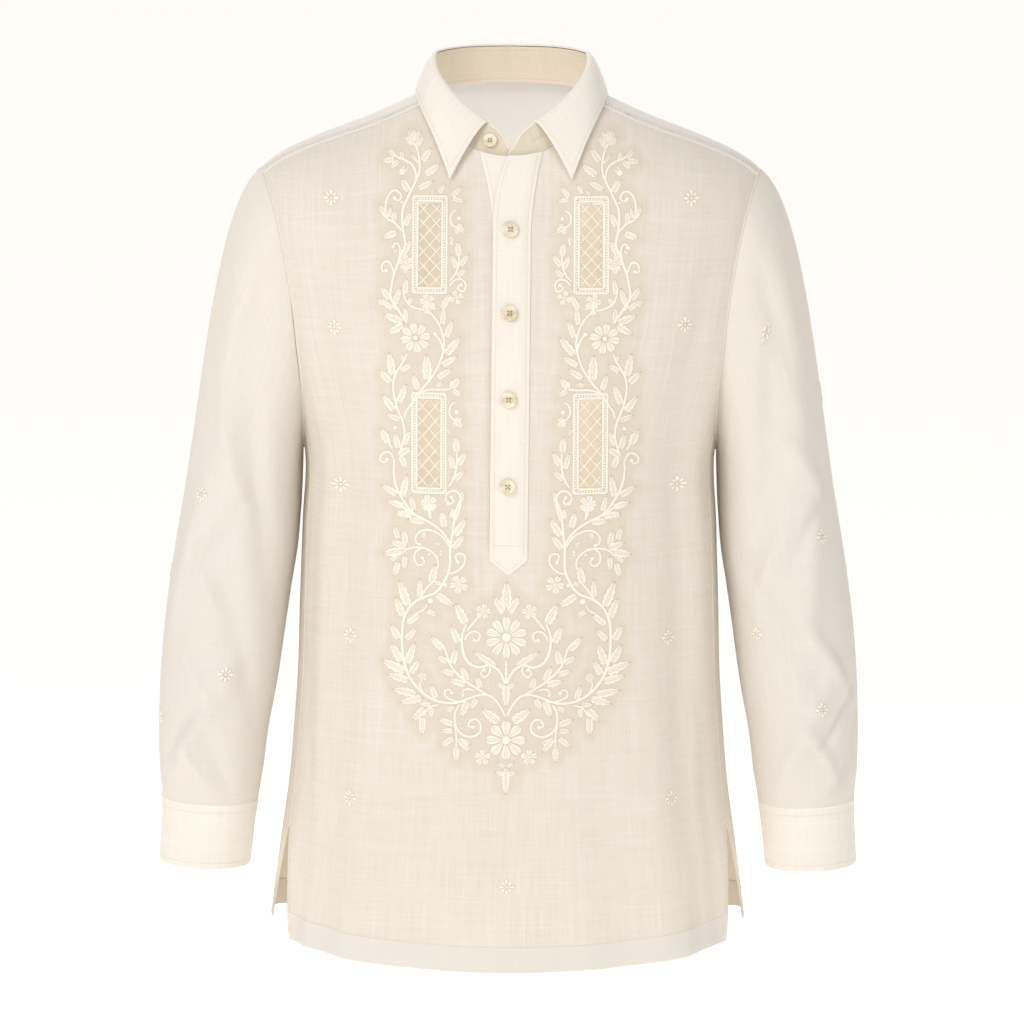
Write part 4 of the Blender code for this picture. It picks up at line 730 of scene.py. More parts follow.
BLOOMS = [
    Bloom(93.4, -143.7, 7.3, 5, 80, 0.62),
    Bloom(48.0, -174.0, 6.8, 4, 20, 0.6),
    Bloom(74.1, -177.6, 7.3, 5, 90, 0.55),
    Bloom(84.4, -210.1, 13.9, 8, 10, 0.62),
    Bloom(72.6, -183.1, 6.5, 3, 40, 0.7),
    Bloom(72.0, -358.7, 8.0, 5, 90, 0.62),
    Bloom(72.0, -360.0, 7.4, 4, 45, 0.6),
    Bloom(44.9, -432.2, 8.8, 5, 100, 0.6),
    Bloom(77.8, -517.9, 4.6, 5, 90, 0.6),
    Bloom(23.1, -456.7, 7.4, 5, 60, 0.6),
    Bloom(23.3, -590.7, 7.7, 5, 70, 0.56),
]
Knot = namedtuple("Knot", "x z radius")
KNOTS = [
    Knot(97.3, -65.5, 3.1),
    Knot(97.3, -91.4, 1.3),
    Knot(46.1, -105.1, 1.9),
    Knot(102.6, -291.6, 1.8),
    Knot(97.1, -316.9, 1.7),
    Knot(47.4, -275.6, 2.2),
    Knot(61.1, -402.6, 1.4),
    Knot(61.3, -405.6, 1.1),
    Knot(71.8, -405.4, 1.4),
    Knot(57.3, -433.1, 1.9),
    Knot(70.7, -448.1, 2.8),
]
CENTRE = -2.2
CENTRE_STEM = (-500.9, -522.9)
CENTRE_BEADS = (-505.7, -509.7, -513.8, -517.8)
CENTRE_BLOOMS = [
    Bloom(-2.2, -480.4, 19.7, 10, 0, 0.42),
    Bloom(-2.2, -574.7, 18.3, 8, 0, 0.44),
]
CENTRE_LEAVES = [
    LeafStitch(-2.2, -455.3, -2.2, -429.1, 0.4),
    LeafStitch(-3.9, -458.0, -13.6, -443.1, 0.4),
    LeafStitch(-4.9, -459.7, -10.4, -452.7, 0.4),
    LeafStitch(-2.2, -522.9, -2.2, -544.8, 0.34),
    LeafStitch(-2.9, -527.3, -11.5, -522.1, 0.42),
    LeafStitch(-2.2, -617.9, -2.2, -599.4, 0.42),
    LeafStitch(-2.2, -607.3, -2.2, -624.9, 0.36),
    LeafStitch(-2.5, -607.3, -11.9, -603.5, 0.42),
    LeafStitch(-2.9, -600.2, -9.8, -595.0, 0.36),
]


# Reading the tables


def curve(table, key, value):
    """A smooth function of one column of a table, read along another column."""
    rows = sorted(table, key=lambda row: getattr(row, key))
    at = np.array([getattr(row, key) for row in rows], float)
    of = np.array([getattr(row, value) for row in rows], float)
    slope = np.gradient(of, at)

    def read(q):
        q = np.clip(q, at[0], at[-1])
        i = np.clip(np.searchsorted(at, q, side="right") - 1, 0, len(at) - 2)
        span = at[i + 1] - at[i]
        t = (q - at[i]) / span
        start = (1 - t) ** 2 * ((1 + 2 * t) * of[i] + t * span * slope[i])
        end = t * t * ((3 - 2 * t) * of[i + 1] - (1 - t) * span * slope[i + 1])
        return start + end

    return read


half_width = curve(BODY, "height", "half_width")
front_depth = curve(BODY, "height", "front_depth")
back_depth = curve(BODY, "height", "back_depth")
front_ridge = curve(SHOULDER, "reach", "front_height")
back_ridge = curve(SHOULDER, "reach", "back_height")
front_turn = curve(SHOULDER, "reach", "front_turn")
back_turn = curve(SHOULDER, "reach", "back_turn")
armhole_across = curve(ARMHOLE, "height", "across")
sleeve_outer = curve(SLEEVE, "height", "outer")
sleeve_inner = curve(SLEEVE, "height", "inner")
sleeve_fore = curve(SLEEVE, "height", "fore")
sleeve_half_depth = curve(SLEEVE, "height", "half_depth")


def column(head, *values):
    """Stack coordinates, spreading single numbers over the others' shape."""
    return np.stack(np.broadcast_arrays(np.asarray(head, float), *values), axis=-1)


def unit(vectors):
    return vectors / np.maximum(np.linalg.norm(vectors, axis=-1, keepdims=True), 1e-12)


def creased(creases, along, turn):
    """How far the folds push the cloth out at places along and round a tube, in metres."""
    out = np.zeros(np.broadcast(along, turn).shape)
    for fold in creases:
        share = np.clip((along - fold.start) / (fold.end - fold.start), 0, 1)
        middle = fold.turn_start + share * (fold.turn_end - fold.turn_start)
        away = (np.degrees(turn) - middle + 180) % 360 - 180
        swell = np.sin(math.pi * share) ** FOLD_TAPER
        out = out + fold.depth * swell * np.exp(-((away / fold.width) ** 2))
    return out


# The body's surface


def turned_down(turn):
    """The ridge height, turning height, depth and arc length of the column of cloth at an angle."""
    aside = np.abs(np.sin(turn)) ** (2 / SQUARENESS)
    ahead = np.abs(np.cos(turn)) ** (2 / SQUARENESS)
    front = np.cos(turn) > 0
    reach = SHOULDER_REACH * aside
    fall = np.where(front, front_turn(reach), back_turn(reach))
    depth = np.where(front, SHOULDER_FRONT, SHOULDER_BACK) * ahead
    arc = math.pi / 4 * (3 * (fall + depth) - np.sqrt((3 * fall + depth) * (fall + 3 * depth)))
    ridge = np.where(front, front_ridge(reach), back_ridge(reach))
    return aside, ahead, front, ridge, fall, arc


def smooth_body(turn, drop):
    """The body without its folds, at an angle round it and a distance down from the ridge."""
    aside, ahead, front, ridge, fall, arc = turned_down(turn)
    lean = np.clip(drop / arc, 0, 1) * math.pi / 2
    height = ridge - fall * (1 - np.cos(lean)) - np.maximum(drop - arc, 0)
    depth = np.where(front, -front_depth(height), back_depth(height))
    across = np.sign(np.sin(turn)) * half_width(height) * aside
    return column(across, depth * ahead * np.sin(lean), height)


def outward(surface, turn, drop, step_turn, step_drop):
    """The surface's outward direction, from its slopes."""
    around = surface(turn + step_turn, drop) - surface(turn - step_turn, drop)
    down = surface(turn, drop + step_drop) - surface(turn, drop - step_drop)
    return unit(np.cross(down, around))


def folded_body(turn, drop):
    plain = smooth_body(turn, drop)
    out = outward(smooth_body, turn, drop, NUDGE / FLAT_SCALE, NUDGE)
    depth = creased(BODY_CREASES, plain[..., 2], turn)
    return plain + depth[..., None] * out


def body(turn, drop, lift=0.0):
    """A point of the cloth's middle, lifted off it by a distance, and the outward direction there."""
    turn = np.asarray(turn, float)
    drop = np.asarray(drop, float)
    out = outward(folded_body, turn, drop, NUDGE / FLAT_SCALE, NUDGE)
    return folded_body(turn, drop) + lift * out, out


def drop_to(turn, height):
    """The drop at which the column at an angle reaches a height."""
    _, _, _, ridge, fall, arc = turned_down(turn)
    below = ridge - height
    lean = np.arccos(np.clip(1 - below / fall, 0, 1))
    return lean / (math.pi / 2) * arc + np.maximum(below - fall, 0)


def seen(across, height, back=False):
    """The angle and drop of a point given as it is seen from straight ahead, or from straight behind."""
    across = np.asarray(across, float)
    share = np.clip(np.abs(across) / half_width(height), 0, 1)
    turn = np.arcsin(share ** (SQUARENESS / 2))
    if back:
        turn = math.pi - turn
    drop = drop_to(turn, height)
    return np.where(across < 0, -turn, turn), drop


def from_above(across, fore):
    """The angle and drop of a point near the shoulders, given in plan."""
    share = np.abs(across) / SHOULDER_REACH
    turn = np.arcsin(share ** (SQUARENESS / 2))
    depth = (SHOULDER_FRONT if fore < 0 else SHOULDER_BACK) * math.cos(turn) ** (2 / SQUARENESS)
    if fore > 0:
        turn = math.pi - turn
    arc = float(turned_down(turn)[-1])
    drop = math.asin(min(1.0, abs(fore) / depth)) / (math.pi / 2) * arc
    return (turn if across >= 0 else -turn), drop


def neck_plan(angle):
    """The neck curve in plan, at an angle round the neck from the centre front."""
    bend = 2 / NECK_FRONT_SQUARENESS if math.cos(angle) > 0 else 1.0
    depth = -NECK_FRONT if math.cos(angle) > 0 else NECK_BACK
    across = math.copysign(NECK_HALF_WIDTH * abs(math.sin(angle)) ** bend, math.sin(angle))
    return across, depth * abs(math.cos(angle)) ** bend


def neck_angle_at(across):
    """The angle round the neck at which its front half is this far across."""
    share = abs(across) / NECK_HALF_WIDTH
    return math.copysign(math.asin(share ** (NECK_FRONT_SQUARENESS / 2)), across)


def neck_height(across):
    """Height of the front half of the neck curve."""
    turn, drop = from_above(*neck_plan(neck_angle_at(across)))
    return float(smooth_body(turn, drop)[2])


def armhole(step, back=False):
    """The armhole point at a step from the shoulder point towards the underarm: its angle and drop."""
    top = ARMHOLE[0].height
    foot = ARMHOLE[-1].height
    height = top + (foot - top) * (1 - math.cos(math.pi * step / ARM_STEPS)) / 2
    turn, drop = seen(armhole_across(height), height, back)
    return float(turn), float(drop)


SIDE_SEAM = armhole(SIDE_SEAM_STEP)[0]


# Flat patterns, filled with triangles


def inside(points, loop):
    """Which points lie inside a closed loop, by counting crossings."""
    x, y = points[:, 0, None], points[:, 1, None]
    x0, y0 = loop[:, 0], loop[:, 1]
    x1, y1 = np.roll(x0, -1), np.roll(y0, -1)
    spans = (y0 > y) != (y1 > y)
    rise = np.where(y1 == y0, 1, y1 - y0)
    return (spans & (x < x0 + (y - y0) * (x1 - x0) / rise)).sum(axis=1) % 2 == 1


def distance(points, loop):
    """How far each point lies from a closed loop."""
    start = loop[None]
    along = np.roll(loop, -1, axis=0)[None] - start
    away = points[:, None] - start
    length = np.maximum((along**2).sum(-1), 1e-18)
    share = np.clip((away * along).sum(-1) / length, 0, 1)
    return np.linalg.norm(away - share[..., None] * along, axis=-1).min(axis=1)


def triangle_grid(low, high, step):
    """Rows of points that make even triangles."""
    rise = step * math.sqrt(3) / 2
    made = []
    for row in range(math.ceil((high[1] - low[1]) / rise)):
        shift = step / 2 * (row % 2)
        for place in range(math.ceil((high[0] - low[0]) / step) + 1):
            made.append((low[0] + shift + place * step, low[1] + (row + 0.5) * rise))
    return np.array(made)


def fill(outline, holes, step):
    """Triangles over a flat outline, less its holes."""
    loops = [np.array(loop, float) for loop in [outline, *holes]]
    grid = triangle_grid(loops[0].min(axis=0), loops[0].max(axis=0), step)
    grid = grid[inside(grid, loops[0])]
    for loop in loops:
        grid = grid[distance(grid, loop) > EDGE_CLEAR * step]
    for hole in loops[1:]:
        grid = grid[~inside(grid, hole)]
    points = [tuple(point) for loop in loops for point in loop]
    edges = []
    first = 0
    for loop in loops:
        count = len(loop)
        edges += [(first + i, first + (i + 1) % count) for i in range(count)]
        first += count
    points += [tuple(point) for point in grid]
    found = delaunay_2d_cdt(points, edges, [], 0, MERGE)
    corners = np.array([tuple(point) for point in found[0]])
    faces = np.array([tuple(face) for face in found[2]])
    centres = corners[faces].mean(axis=1)
    kept = inside(centres, loops[0])
    for hole in loops[1:]:
        kept &= ~inside(centres, hole)
    return corners, faces[kept]


def lattice_faces(rows, columns, closed=False):
    """Triangles over a grid of points, with the same diagonal everywhere."""
    faces = []
    for row in range(rows - 1):
        for place in range(columns if closed else columns - 1):
            beside = (place + 1) % columns
            a, b = row * columns + place, row * columns + beside
            c, d = a + columns, b + columns
            faces += [(a, b, d), (a, d, c)]
    return np.array(faces)


# Seams, each a list of angles and drops on the left half of the body


def reach_of(turn):
    return SHOULDER_REACH * abs(math.sin(turn)) ** (2 / SQUARENESS)


def turn_of(reach, back=False):
    turn = math.asin(min(1.0, abs(reach) / SHOULDER_REACH) ** (SQUARENESS / 2))
    return math.pi - turn if back else turn


def front_shoulder_seam():
    """From the neck out to the armhole."""
    neck = from_above(*neck_plan(math.pi * YOKE_NECK_STEP / NECK_STEPS))
    arm = armhole(YOKE_FRONT_STEP)
    ends = np.array([(reach_of(neck[0]), neck[1]), (reach_of(arm[0]), arm[1])])
    line = [ends[0] + (ends[1] - ends[0]) * i / FRONT_SEAM_STEPS for i in range(FRONT_SEAM_STEPS + 1)]
    return [(turn_of(reach), drop) for reach, drop in line]


def back_yoke_seam():
    """From the centre back out to the armhole."""
    turn, drop = armhole(YOKE_BACK_STEP, back=True)
    end = smooth_body(turn, drop)
    seam = []
    for i in range(BACK_SEAM_STEPS):
        share = i / BACK_SEAM_STEPS
        height = YOKE_CENTRE_BACK + (end[2] - YOKE_CENTRE_BACK) * share**2
        found = seen(end[0] * share, height, back=True)
        seam.append((float(found[0]), float(found[1])))
    return seam + [(turn, drop)]


def side_seam():
    """From the armhole down to the top of the slit."""
    top = float(smooth_body(*armhole(SIDE_SEAM_STEP))[2])
    count = math.ceil((top - SLIT_TOP) / BODY_STEP)
    heights = [top + (SLIT_TOP - top) * i / count for i in range(count + 1)]
    return [(SIDE_SEAM, float(drop_to(SIDE_SEAM, height))) for height in heights]


def mirrored(points):
    """The same points on the right half, in the other order."""
    return [(-turn, drop) for turn, drop in reversed(points)]


# Placket edges, as seen from the front


def flare(height, bend=FLARE_BEND):
    top = neck_height(0.0)
    return float(np.clip((height - FLARE_FOOT) / (top - FLARE_FOOT), 0, 1.1)) ** bend


def placket_middle(height):
    return PLACKET_LEAN * (height - PLACKET_UPRIGHT)


def over_left(height):
    """The upper strip's edge on the wearer's left, which is sewn down."""
    return placket_middle(height) + PLACKET_HALF + OVER_FLARE * flare(height)


def over_right(height):
    return placket_middle(height) - PLACKET_HALF + OVER_INNER_FLARE * flare(height, FREE_FLARE_BEND)


def under_left(height):
    return placket_middle(height) + UNDER_END - UNDER_END_FLARE * flare(height)


def under_right(height):
    """The lower strip's edge on the wearer's right, which is sewn down."""
    return placket_middle(height) - PLACKET_HALF - UNDER_FLARE * flare(height)


def top_of(edge):
    """The height at which a strip's edge meets the neck curve."""
    height = neck_height(0.0)
    for _ in range(12):
        height = neck_height(edge(height))
    return height


def down_edge(edge, foot, spacing):
    """A strip's edge from the neck down to its foot, as seen from the front."""
    top = top_of(edge)
    count = math.ceil((top - foot) / spacing)
    heights = [top + (foot - top) * i / count for i in range(count + 1)]
    return [(edge(height), height) for height in heights]


def along_neck(start, end):
    """Points of the neck curve between two places across, without the places themselves."""
    steps = [neck_plan(math.pi * i / NECK_STEPS)[0] for i in range(-NECK_STEPS // 2, NECK_STEPS // 2 + 1)]
    low, high = sorted((start, end))
    between = [across for across in steps if low + NECK_CLEAR < across < high - NECK_CLEAR]
    if start > end:
        between.reverse()
    return [(across, neck_height(across)) for across in between]


# Calado windows


def clipped(polygon, axis, limit, keep_below):
    """The part of a convex polygon on one side of an upright or level line."""
    sign = 1 if keep_below else -1
    kept = []
    for start, end in zip(polygon, polygon[1:] + polygon[:1]):
        inside_start = sign * (start[axis] - limit) <= 0
        inside_end = sign * (end[axis] - limit) <= 0
        if inside_start:
            kept.append(start)
        if inside_start != inside_end:
            share = (limit - start[axis]) / (end[axis] - start[axis])
            kept.append(tuple(s + share * (e - s) for s, e in zip(start, end)))
    return kept


def area(polygon):
    turns = [x0 * y1 - x1 * y0 for (x0, y0), (x1, y1) in zip(polygon, polygon[1:] + polygon[:1])]
    return abs(sum(turns)) / 2


def lattice_gaps(window):
    """The gaps between a window's bars, round the window's own middle."""
    half_across, half_down = LATTICE_ACROSS / 2, window.half_height / LATTICE_ROWS
    slope_distance = half_across * half_down / math.hypot(half_across, half_down)
    share = 1 - LATTICE_BAR / 2 / slope_distance
    corner_a, corner_d = half_across * share, half_down * share
    gaps = []
    for i in range(-2, 3):
        for j in range(-6, 7):
            if (i + j) % 2 == 0:
                continue
            x, y = i * half_across, j * half_down
            gap = [(x + corner_a, y), (x, y + corner_d), (x - corner_a, y), (x, y - corner_d)]
            gap = clipped(gap, 0, WINDOW_HALF_WIDTH, True)
            gap = clipped(gap, 0, -WINDOW_HALF_WIDTH, False)
            gap = clipped(gap, 1, window.half_height, True)
            gap = clipped(gap, 1, -window.half_height, False)
            if len(gap) > 2 and area(gap) > SMALLEST_CUT:
                gaps.append(gap)
    return gaps


def window_holes():
    holes = []
    for side in SIDES.values():
        for window in WINDOWS:
            for gap in lattice_gaps(window):
                places = [seen(side * WINDOW_ACROSS + x, window.height + y) for x, y in gap]
                holes.append([(float(turn), float(drop)) for turn, drop in places])
    return holes


# Body panels


def hem(start, end, height, rise, back=False):
    """A hem from one angle to another, lowest at its middle."""
    middle = math.pi if back else 0.0
    bend = BACK_HEM_BEND if back else FRONT_HEM_BEND
    count = math.ceil(abs(end - start) * FLAT_SCALE / BODY_STEP)
    corner = abs(math.sin(end))
    line = []
    for i in range(count + 1):
        turn = start + (end - start) * i / count
        share = abs(math.sin(turn - middle)) / corner
        line.append((turn, float(drop_to(turn, height + rise * share**bend))))
    return line


def slit_edge(angle, corner_height):
    """From the top of the slit down to a corner of the hem, without either end."""
    line = []
    for i in range(1, SLIT_STEPS):
        share = i / SLIT_STEPS
        turn = SIDE_SEAM + (angle - SIDE_SEAM) * share
        line.append((turn, float(drop_to(turn, SLIT_TOP + (corner_height - SLIT_TOP) * share))))
    return line


# Sleeves and cuffs


def ring(turn, height):
    """A point of the left sleeve below its cap, by an angle from the outer side round the front."""
    bend = 2 / SLEEVE_SQUARENESS
    outer, inner = sleeve_outer(height), sleeve_inner(height)
    across = np.sign(np.cos(turn)) * np.abs(np.cos(turn)) ** bend
    ahead = np.sign(np.sin(turn)) * np.abs(np.sin(turn)) ** bend
    x = (outer + inner) / 2 + (outer - inner) / 2 * across
    y = sleeve_fore(height) - sleeve_half_depth(height) * ahead
    return column(x, y, height - SLEEVE_TILT * (outer - x))


def cap_start(turn):
    """The sleeve's first point: over the armhole seam, clear of the panel that it laps."""
    turn = np.mod(turn, 2 * math.pi)
    front = turn <= math.pi
    round_half = np.where(front, turn, 2 * math.pi - turn)
    top, foot = ARMHOLE[0].height, ARMHOLE[-1].height
    height = top + (foot - top) * (1 - np.cos(round_half)) / 2
    ahead = seen(armhole_across(height), height)
    behind = seen(armhole_across(height), height, back=True)
    place = [np.where(front, fore, aft) for fore, aft in zip(ahead, behind)]
    return body(*place, CLOTH + LAP_GAP)[0]


def smooth_sleeve(turn, along):
    """The left sleeve without its folds. Along runs from 0 at the armhole to 1 at the cuff."""
    turn = np.asarray(turn, float)
    along = np.asarray(along, float)
    share = np.clip(along / CAP_SHARE, 0, 1)[..., None]
    lower = CAP_END + (SLEEVE_END - CAP_END) * np.clip((along - CAP_SHARE) / (1 - CAP_SHARE), 0, None)
    start = cap_start(turn)
    end = ring(turn, np.full_like(turn, CAP_END))
    length = np.linalg.norm(end - start, axis=-1, keepdims=True)
    top = (1 + np.cos(turn)) / 2
    down = CAP_DOWN_FOOT + (CAP_DOWN_TOP - CAP_DOWN_FOOT) * top
    leaving = unit(column(CAP_OUT * top**CAP_OUT_BEND, -CAP_ASIDE * np.sin(turn), -down))
    arriving = unit(ring(turn, np.full_like(turn, CAP_END - CAP_END_REACH)) - end)
    s = share
    cap = (1 + 2 * s) * (1 - s) ** 2 * start + s * (1 - s) ** 2 * CAP_START_PULL * length * leaving
    cap = cap + s * s * (3 - 2 * s) * end - s * s * (1 - s) * CAP_END_PULL * length * arriving
    return np.where(along[..., None] < CAP_SHARE, cap, ring(turn, lower))


def sleeve(side, turn, along, lift=0.0):
    """A point of a sleeve's middle, lifted off it, and the outward direction there."""
    creases = SLEEVE_CREASES[side]

    def folded(turn, along):
        plain = smooth_sleeve(turn, along)
        out = -outward(smooth_sleeve, turn, along, RING_TURN_NUDGE, RING_NUDGE)
        ends = np.clip(along / FOLD_FREE_TOP, 0, 1) * np.clip((1 - along) / FOLD_FREE_FOOT, 0, 1)
        body_side = 1 - np.exp(-(((np.degrees(turn) - 180) / BODY_SIDE) ** 2)) * (along < BODY_SIDE_END)
        depth = creased(creases, along, turn) * ends * body_side
        return plain + depth[..., None] * out

    turn = np.asarray(turn, float)
    along = np.asarray(along, float)
    out = -outward(folded, turn, along, RING_TURN_NUDGE, RING_NUDGE)
    placed = folded(turn, along) + lift * out
    mirror = np.array([SIDES[side], 1, 1])
    return placed * mirror, out * mirror


def cuff(side, turn, height, lift=0.0):
    """A point of a cuff, whose last stretch laps over its first. Turn runs on past the overlap."""
    past = np.clip((turn - CUFF_OPENING - 2 * math.pi + CUFF_LAP_START) / CUFF_LAP_RISE, 0, 1)
    past = past * past * (3 - 2 * past)
    out = outward(ring, turn, height, RING_TURN_NUDGE, RING_NUDGE)
    placed = ring(turn, height) + (lift + past * (STIFF + LAP_GAP))[..., None] * out
    mirror = np.array([SIDES[side], 1, 1])
    return placed * mirror, out * mirror


# Collar


def stand_base(angle):
    """The foot of the stand: just inside the neck curve."""
    edge = 0.002
    here = np.array(neck_plan(angle))
    ahead = np.array(neck_plan(angle + edge)) - np.array(neck_plan(angle - edge))
    inward = np.array([ahead[1], -ahead[0]]) / np.linalg.norm(ahead)
    if np.dot(inward, here) > 0:
        inward = -inward
    foot = here + inward * (STIFF / 2 + LAP_GAP)
    return np.array([*foot, float(smooth_body(*from_above(*here))[2])])


def table_point(table, angle, value):
    """A collar table read at an angle, mirrored for the right side."""
    degrees = abs(math.degrees(angle))
    across = float(curve(table, "turn", "across")(degrees))
    fore = float(curve(table, "turn", "fore")(degrees))
    return math.copysign(across, angle), fore, float(curve(table, "turn", value)(degrees))


def stand_point(angle, share, side):
    """The stand's middle at a share of its height; the right end tucks in behind the left end."""
    end = 1 - min(1.0, abs(math.degrees(angle)) / STAND_END_TURN)
    if side * angle < 0:
        end = 1.0
    base = stand_base(angle)
    top = np.array(table_point(STAND_TOP, angle, "height"))
    place = base + (top - base) * share
    if side < 0:
        place[1] += (STIFF + LAP_GAP) * end * end * (3 - 2 * end)
    return place


def grid_normals(middle):
    """Outward directions of a grid of points whose columns run round the neck from right to left."""
    along = np.gradient(middle, axis=1)
    up = np.gradient(middle, axis=0)
    out = unit(np.cross(up, along))
    return out.reshape(-1, 3)


# Shells

SHEET = 0.0005  # shown thickness of the single cloth
DOUBLE = 0.0009  # placket strips and vent bindings
THICK = 0.0014  # collar and cuffs
THREAD = 0.00035  # of a sewing thread, across
STITCH = 0.0022
STITCH_SPACING = 0.0031


def set_attribute(mesh, name, values):
    made = mesh.attributes.new(name, "FLOAT_VECTOR", "POINT")
    made.data.foreach_set("vector", np.asarray(values, np.float32).ravel())


def make_mesh(name, corners, faces, finish, cloth=None, sharp_angle=50):
    """An object that rides with the shirt. Cloth holds each corner's place on the flat cut, for the weave."""
    mesh = bpy.data.meshes.new(name)
    mesh.from_pydata(np.asarray(corners).tolist(), [], [tuple(map(int, face)) for face in faces])
    mesh.validate()
    if cloth is not None and len(mesh.vertices) == len(cloth):
        set_attribute(mesh, "cloth", cloth)
    mesh.shade_smooth()
    mesh.set_sharp_from_angle(angle=math.radians(sharp_angle))
    mesh.materials.append(finish)
    made = bpy.data.objects.new(name, mesh)
    bpy.context.collection.objects.link(made)
    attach(made, "root")
    return made


def shell_mesh(middle, out, faces, thickness):
    """Corners and faces of a closed shell round triangles of a middle surface."""
    count = len(middle)
    half = np.broadcast_to(np.asarray(thickness, float) / 2, (count,))[:, None]
    corners = np.vstack([middle + out * half, middle - out * half])
    faces = np.asarray(faces, int)
    edges = np.vstack([faces[:, [0, 1]], faces[:, [1, 2]], faces[:, [2, 0]]])
    code = edges[:, 0] * count + edges[:, 1]
    back = edges[:, 1] * count + edges[:, 0]
    rim = edges[~np.isin(code, back)]
    start, end = rim.T
    sides = np.vstack(
        [np.column_stack([end, start, start + count]), np.column_stack([end, start + count, end + count])]
    )
    return corners, np.vstack([faces, faces[:, ::-1] + count, sides])


def facing(middle, out, faces):
    """Triangles turned so that they face outwards."""
    a, b, c = (middle[faces[:, i]] for i in range(3))
    normal = np.cross(b - a, c - a)
    turned = (normal * out[faces[:, 0]]).sum(axis=1) < 0
    faces = np.array(faces)
    faces[turned] = faces[turned][:, ::-1]
    return faces


def shell(name, middle, out, faces, thickness, finish, cloth):
    faces = facing(middle, out, np.asarray(faces))
    corners, solid = shell_mesh(middle, out, faces, thickness)
    made = make_mesh(name, corners, solid, finish, np.vstack([cloth, cloth]))
    # inside marks the reverse of a shell, which the cloth materials paint darker as shade
    inside = np.repeat([0.0, 1.0], len(middle)).astype(np.float32)
    made.data.attributes.new("inside", "FLOAT", "POINT").data.foreach_set("value", inside)
    return made


def rounded(rows, columns, sizes, thickness, ends=(True, True, True, True)):
    """Thickness over a grid with rolled edges. Sizes are its spacing tables down and across."""
    down, across = sizes
    reach = np.full((rows, columns), 1e9)
    if ends[0]:
        reach = np.minimum(reach, down[:, None])
    if ends[1]:
        reach = np.minimum(reach, down[-1] - down[:, None])
    if ends[2]:
        reach = np.minimum(reach, across[None, :])
    if ends[3]:
        reach = np.minimum(reach, across[-1] - across[None, :])
    share = np.clip(reach / (thickness * 0.6), 0, 1)
    return (thickness * (0.30 + 0.70 * np.sqrt(1 - (1 - share) ** 2))).ravel()


def edged(count, length, thickness):
    """Shares from 0 to 1, close together at both ends so that an edge can be rolled."""
    fine = np.array([0, 0.10, 0.26, 0.50, 0.80, 1.3]) * thickness * 0.6 / length
    inner = np.linspace(fine[-1], 1 - fine[-1], count)
    return np.concatenate([fine[:-1], inner, (1 - fine[:-1])[::-1]])


def tube_mesh(paths, outs, width, height, sides=8, sink=0.25):
    """Flattened tubes along several paths, each with its surface's outward direction; closed at both ends."""
    corners = []
    faces = []
    turn = np.arange(sides) * 2 * math.pi / sides
    for path, out in zip(paths, outs):
        path = np.asarray(path, float)
        out = np.asarray(out, float)
        ahead = unit(np.gradient(path, axis=0))
        aside = unit(np.cross(ahead, out))
        count = len(path)
        swell = np.ones(count)
        swell[0] = swell[-1] = 0.45
        ring_ = (
            aside[:, None] * (np.cos(turn)[None, :, None] * width / 2)
            + out[:, None] * ((np.sin(turn)[None, :, None] - sink) * height / 2 + height * sink / 2)
        )
        ring_ = ring_ * swell[:, None, None] + path[:, None]
        base = sum(len(block) for block in corners)
        corners.append(ring_.reshape(-1, 3))
        for i in range(count - 1):
            for j in range(sides):
                k = (j + 1) % sides
                a, b = base + i * sides + j, base + i * sides + k
                faces.append((a, b, b + sides, a + sides))
        faces.append(tuple(base + j for j in range(sides))[::-1])
        faces.append(tuple(base + (count - 1) * sides + j for j in range(sides)))
    return np.vstack(corners), faces


def resampled(points, spacing):
    """A path walked at an even spacing, with any columns that go with it."""
    points = np.asarray(points, float)
    step = np.linalg.norm(np.diff(points[:, :3], axis=0), axis=1)
    along = np.concatenate([[0], np.cumsum(step)])
    count = max(2, int(round(along[-1] / spacing)) + 1)
    places = np.linspace(0, along[-1], count)
    return np.column_stack([np.interp(places, along, points[:, i]) for i in range(points.shape[1])])


def stitches(name, lines, finish, size=STITCH, spacing=STITCH_SPACING, width=THREAD):
    """Running stitches along several lines of points, each row a place and its outward direction."""
    paths = []
    outs = []
    for line in lines:
        walked = resampled(line, spacing / 4)
        length = max(3, int(round(4 * size / spacing)) + 1)
        for first in range(0, len(walked) - length, 4):
            part = walked[first : first + length]
            lift = np.array([-0.15, 0.35, 0.35, -0.15, -0.15, -0.15])[: len(part)]
            lift[len(part) - 1] = -0.15
            paths.append(part[:, :3] + part[:, 3:] * (lift * width)[:, None])
            outs.append(unit(part[:, 3:]))
    corners, faces = tube_mesh(paths, outs, width, width, sides=5, sink=0.0)
    return make_mesh(name, corners, faces, finish)


def ridge(name, lines, width, height, finish, slot, spacing=0.004):
    """Felled seams: low flattened tubes along lines of points and outward directions."""
    walked = [resampled(line, spacing) for line in lines]
    corners, faces = tube_mesh(
        [w[:, :3] for w in walked], [unit(w[:, 3:]) for w in walked], width, height, sides=10
    )
    return make_mesh(name, corners, faces, finish)


# Embroidery


def on_front(across, height, lift):
    """Places and outward directions on the front, for millimetres as seen from the front."""
    across, height = np.broadcast_arrays(np.asarray(across, float), np.asarray(height, float))
    turn, drop = seen(across.ravel() / 1000, height.ravel() / 1000)
    return body(turn, drop, np.asarray(lift))


def on_back(across, height, lift):
    across, height = np.broadcast_arrays(np.asarray(across, float), np.asarray(height, float))
    turn, drop = seen(across.ravel() / 1000, height.ravel() / 1000, True)
    return body(turn, drop, np.asarray(lift))


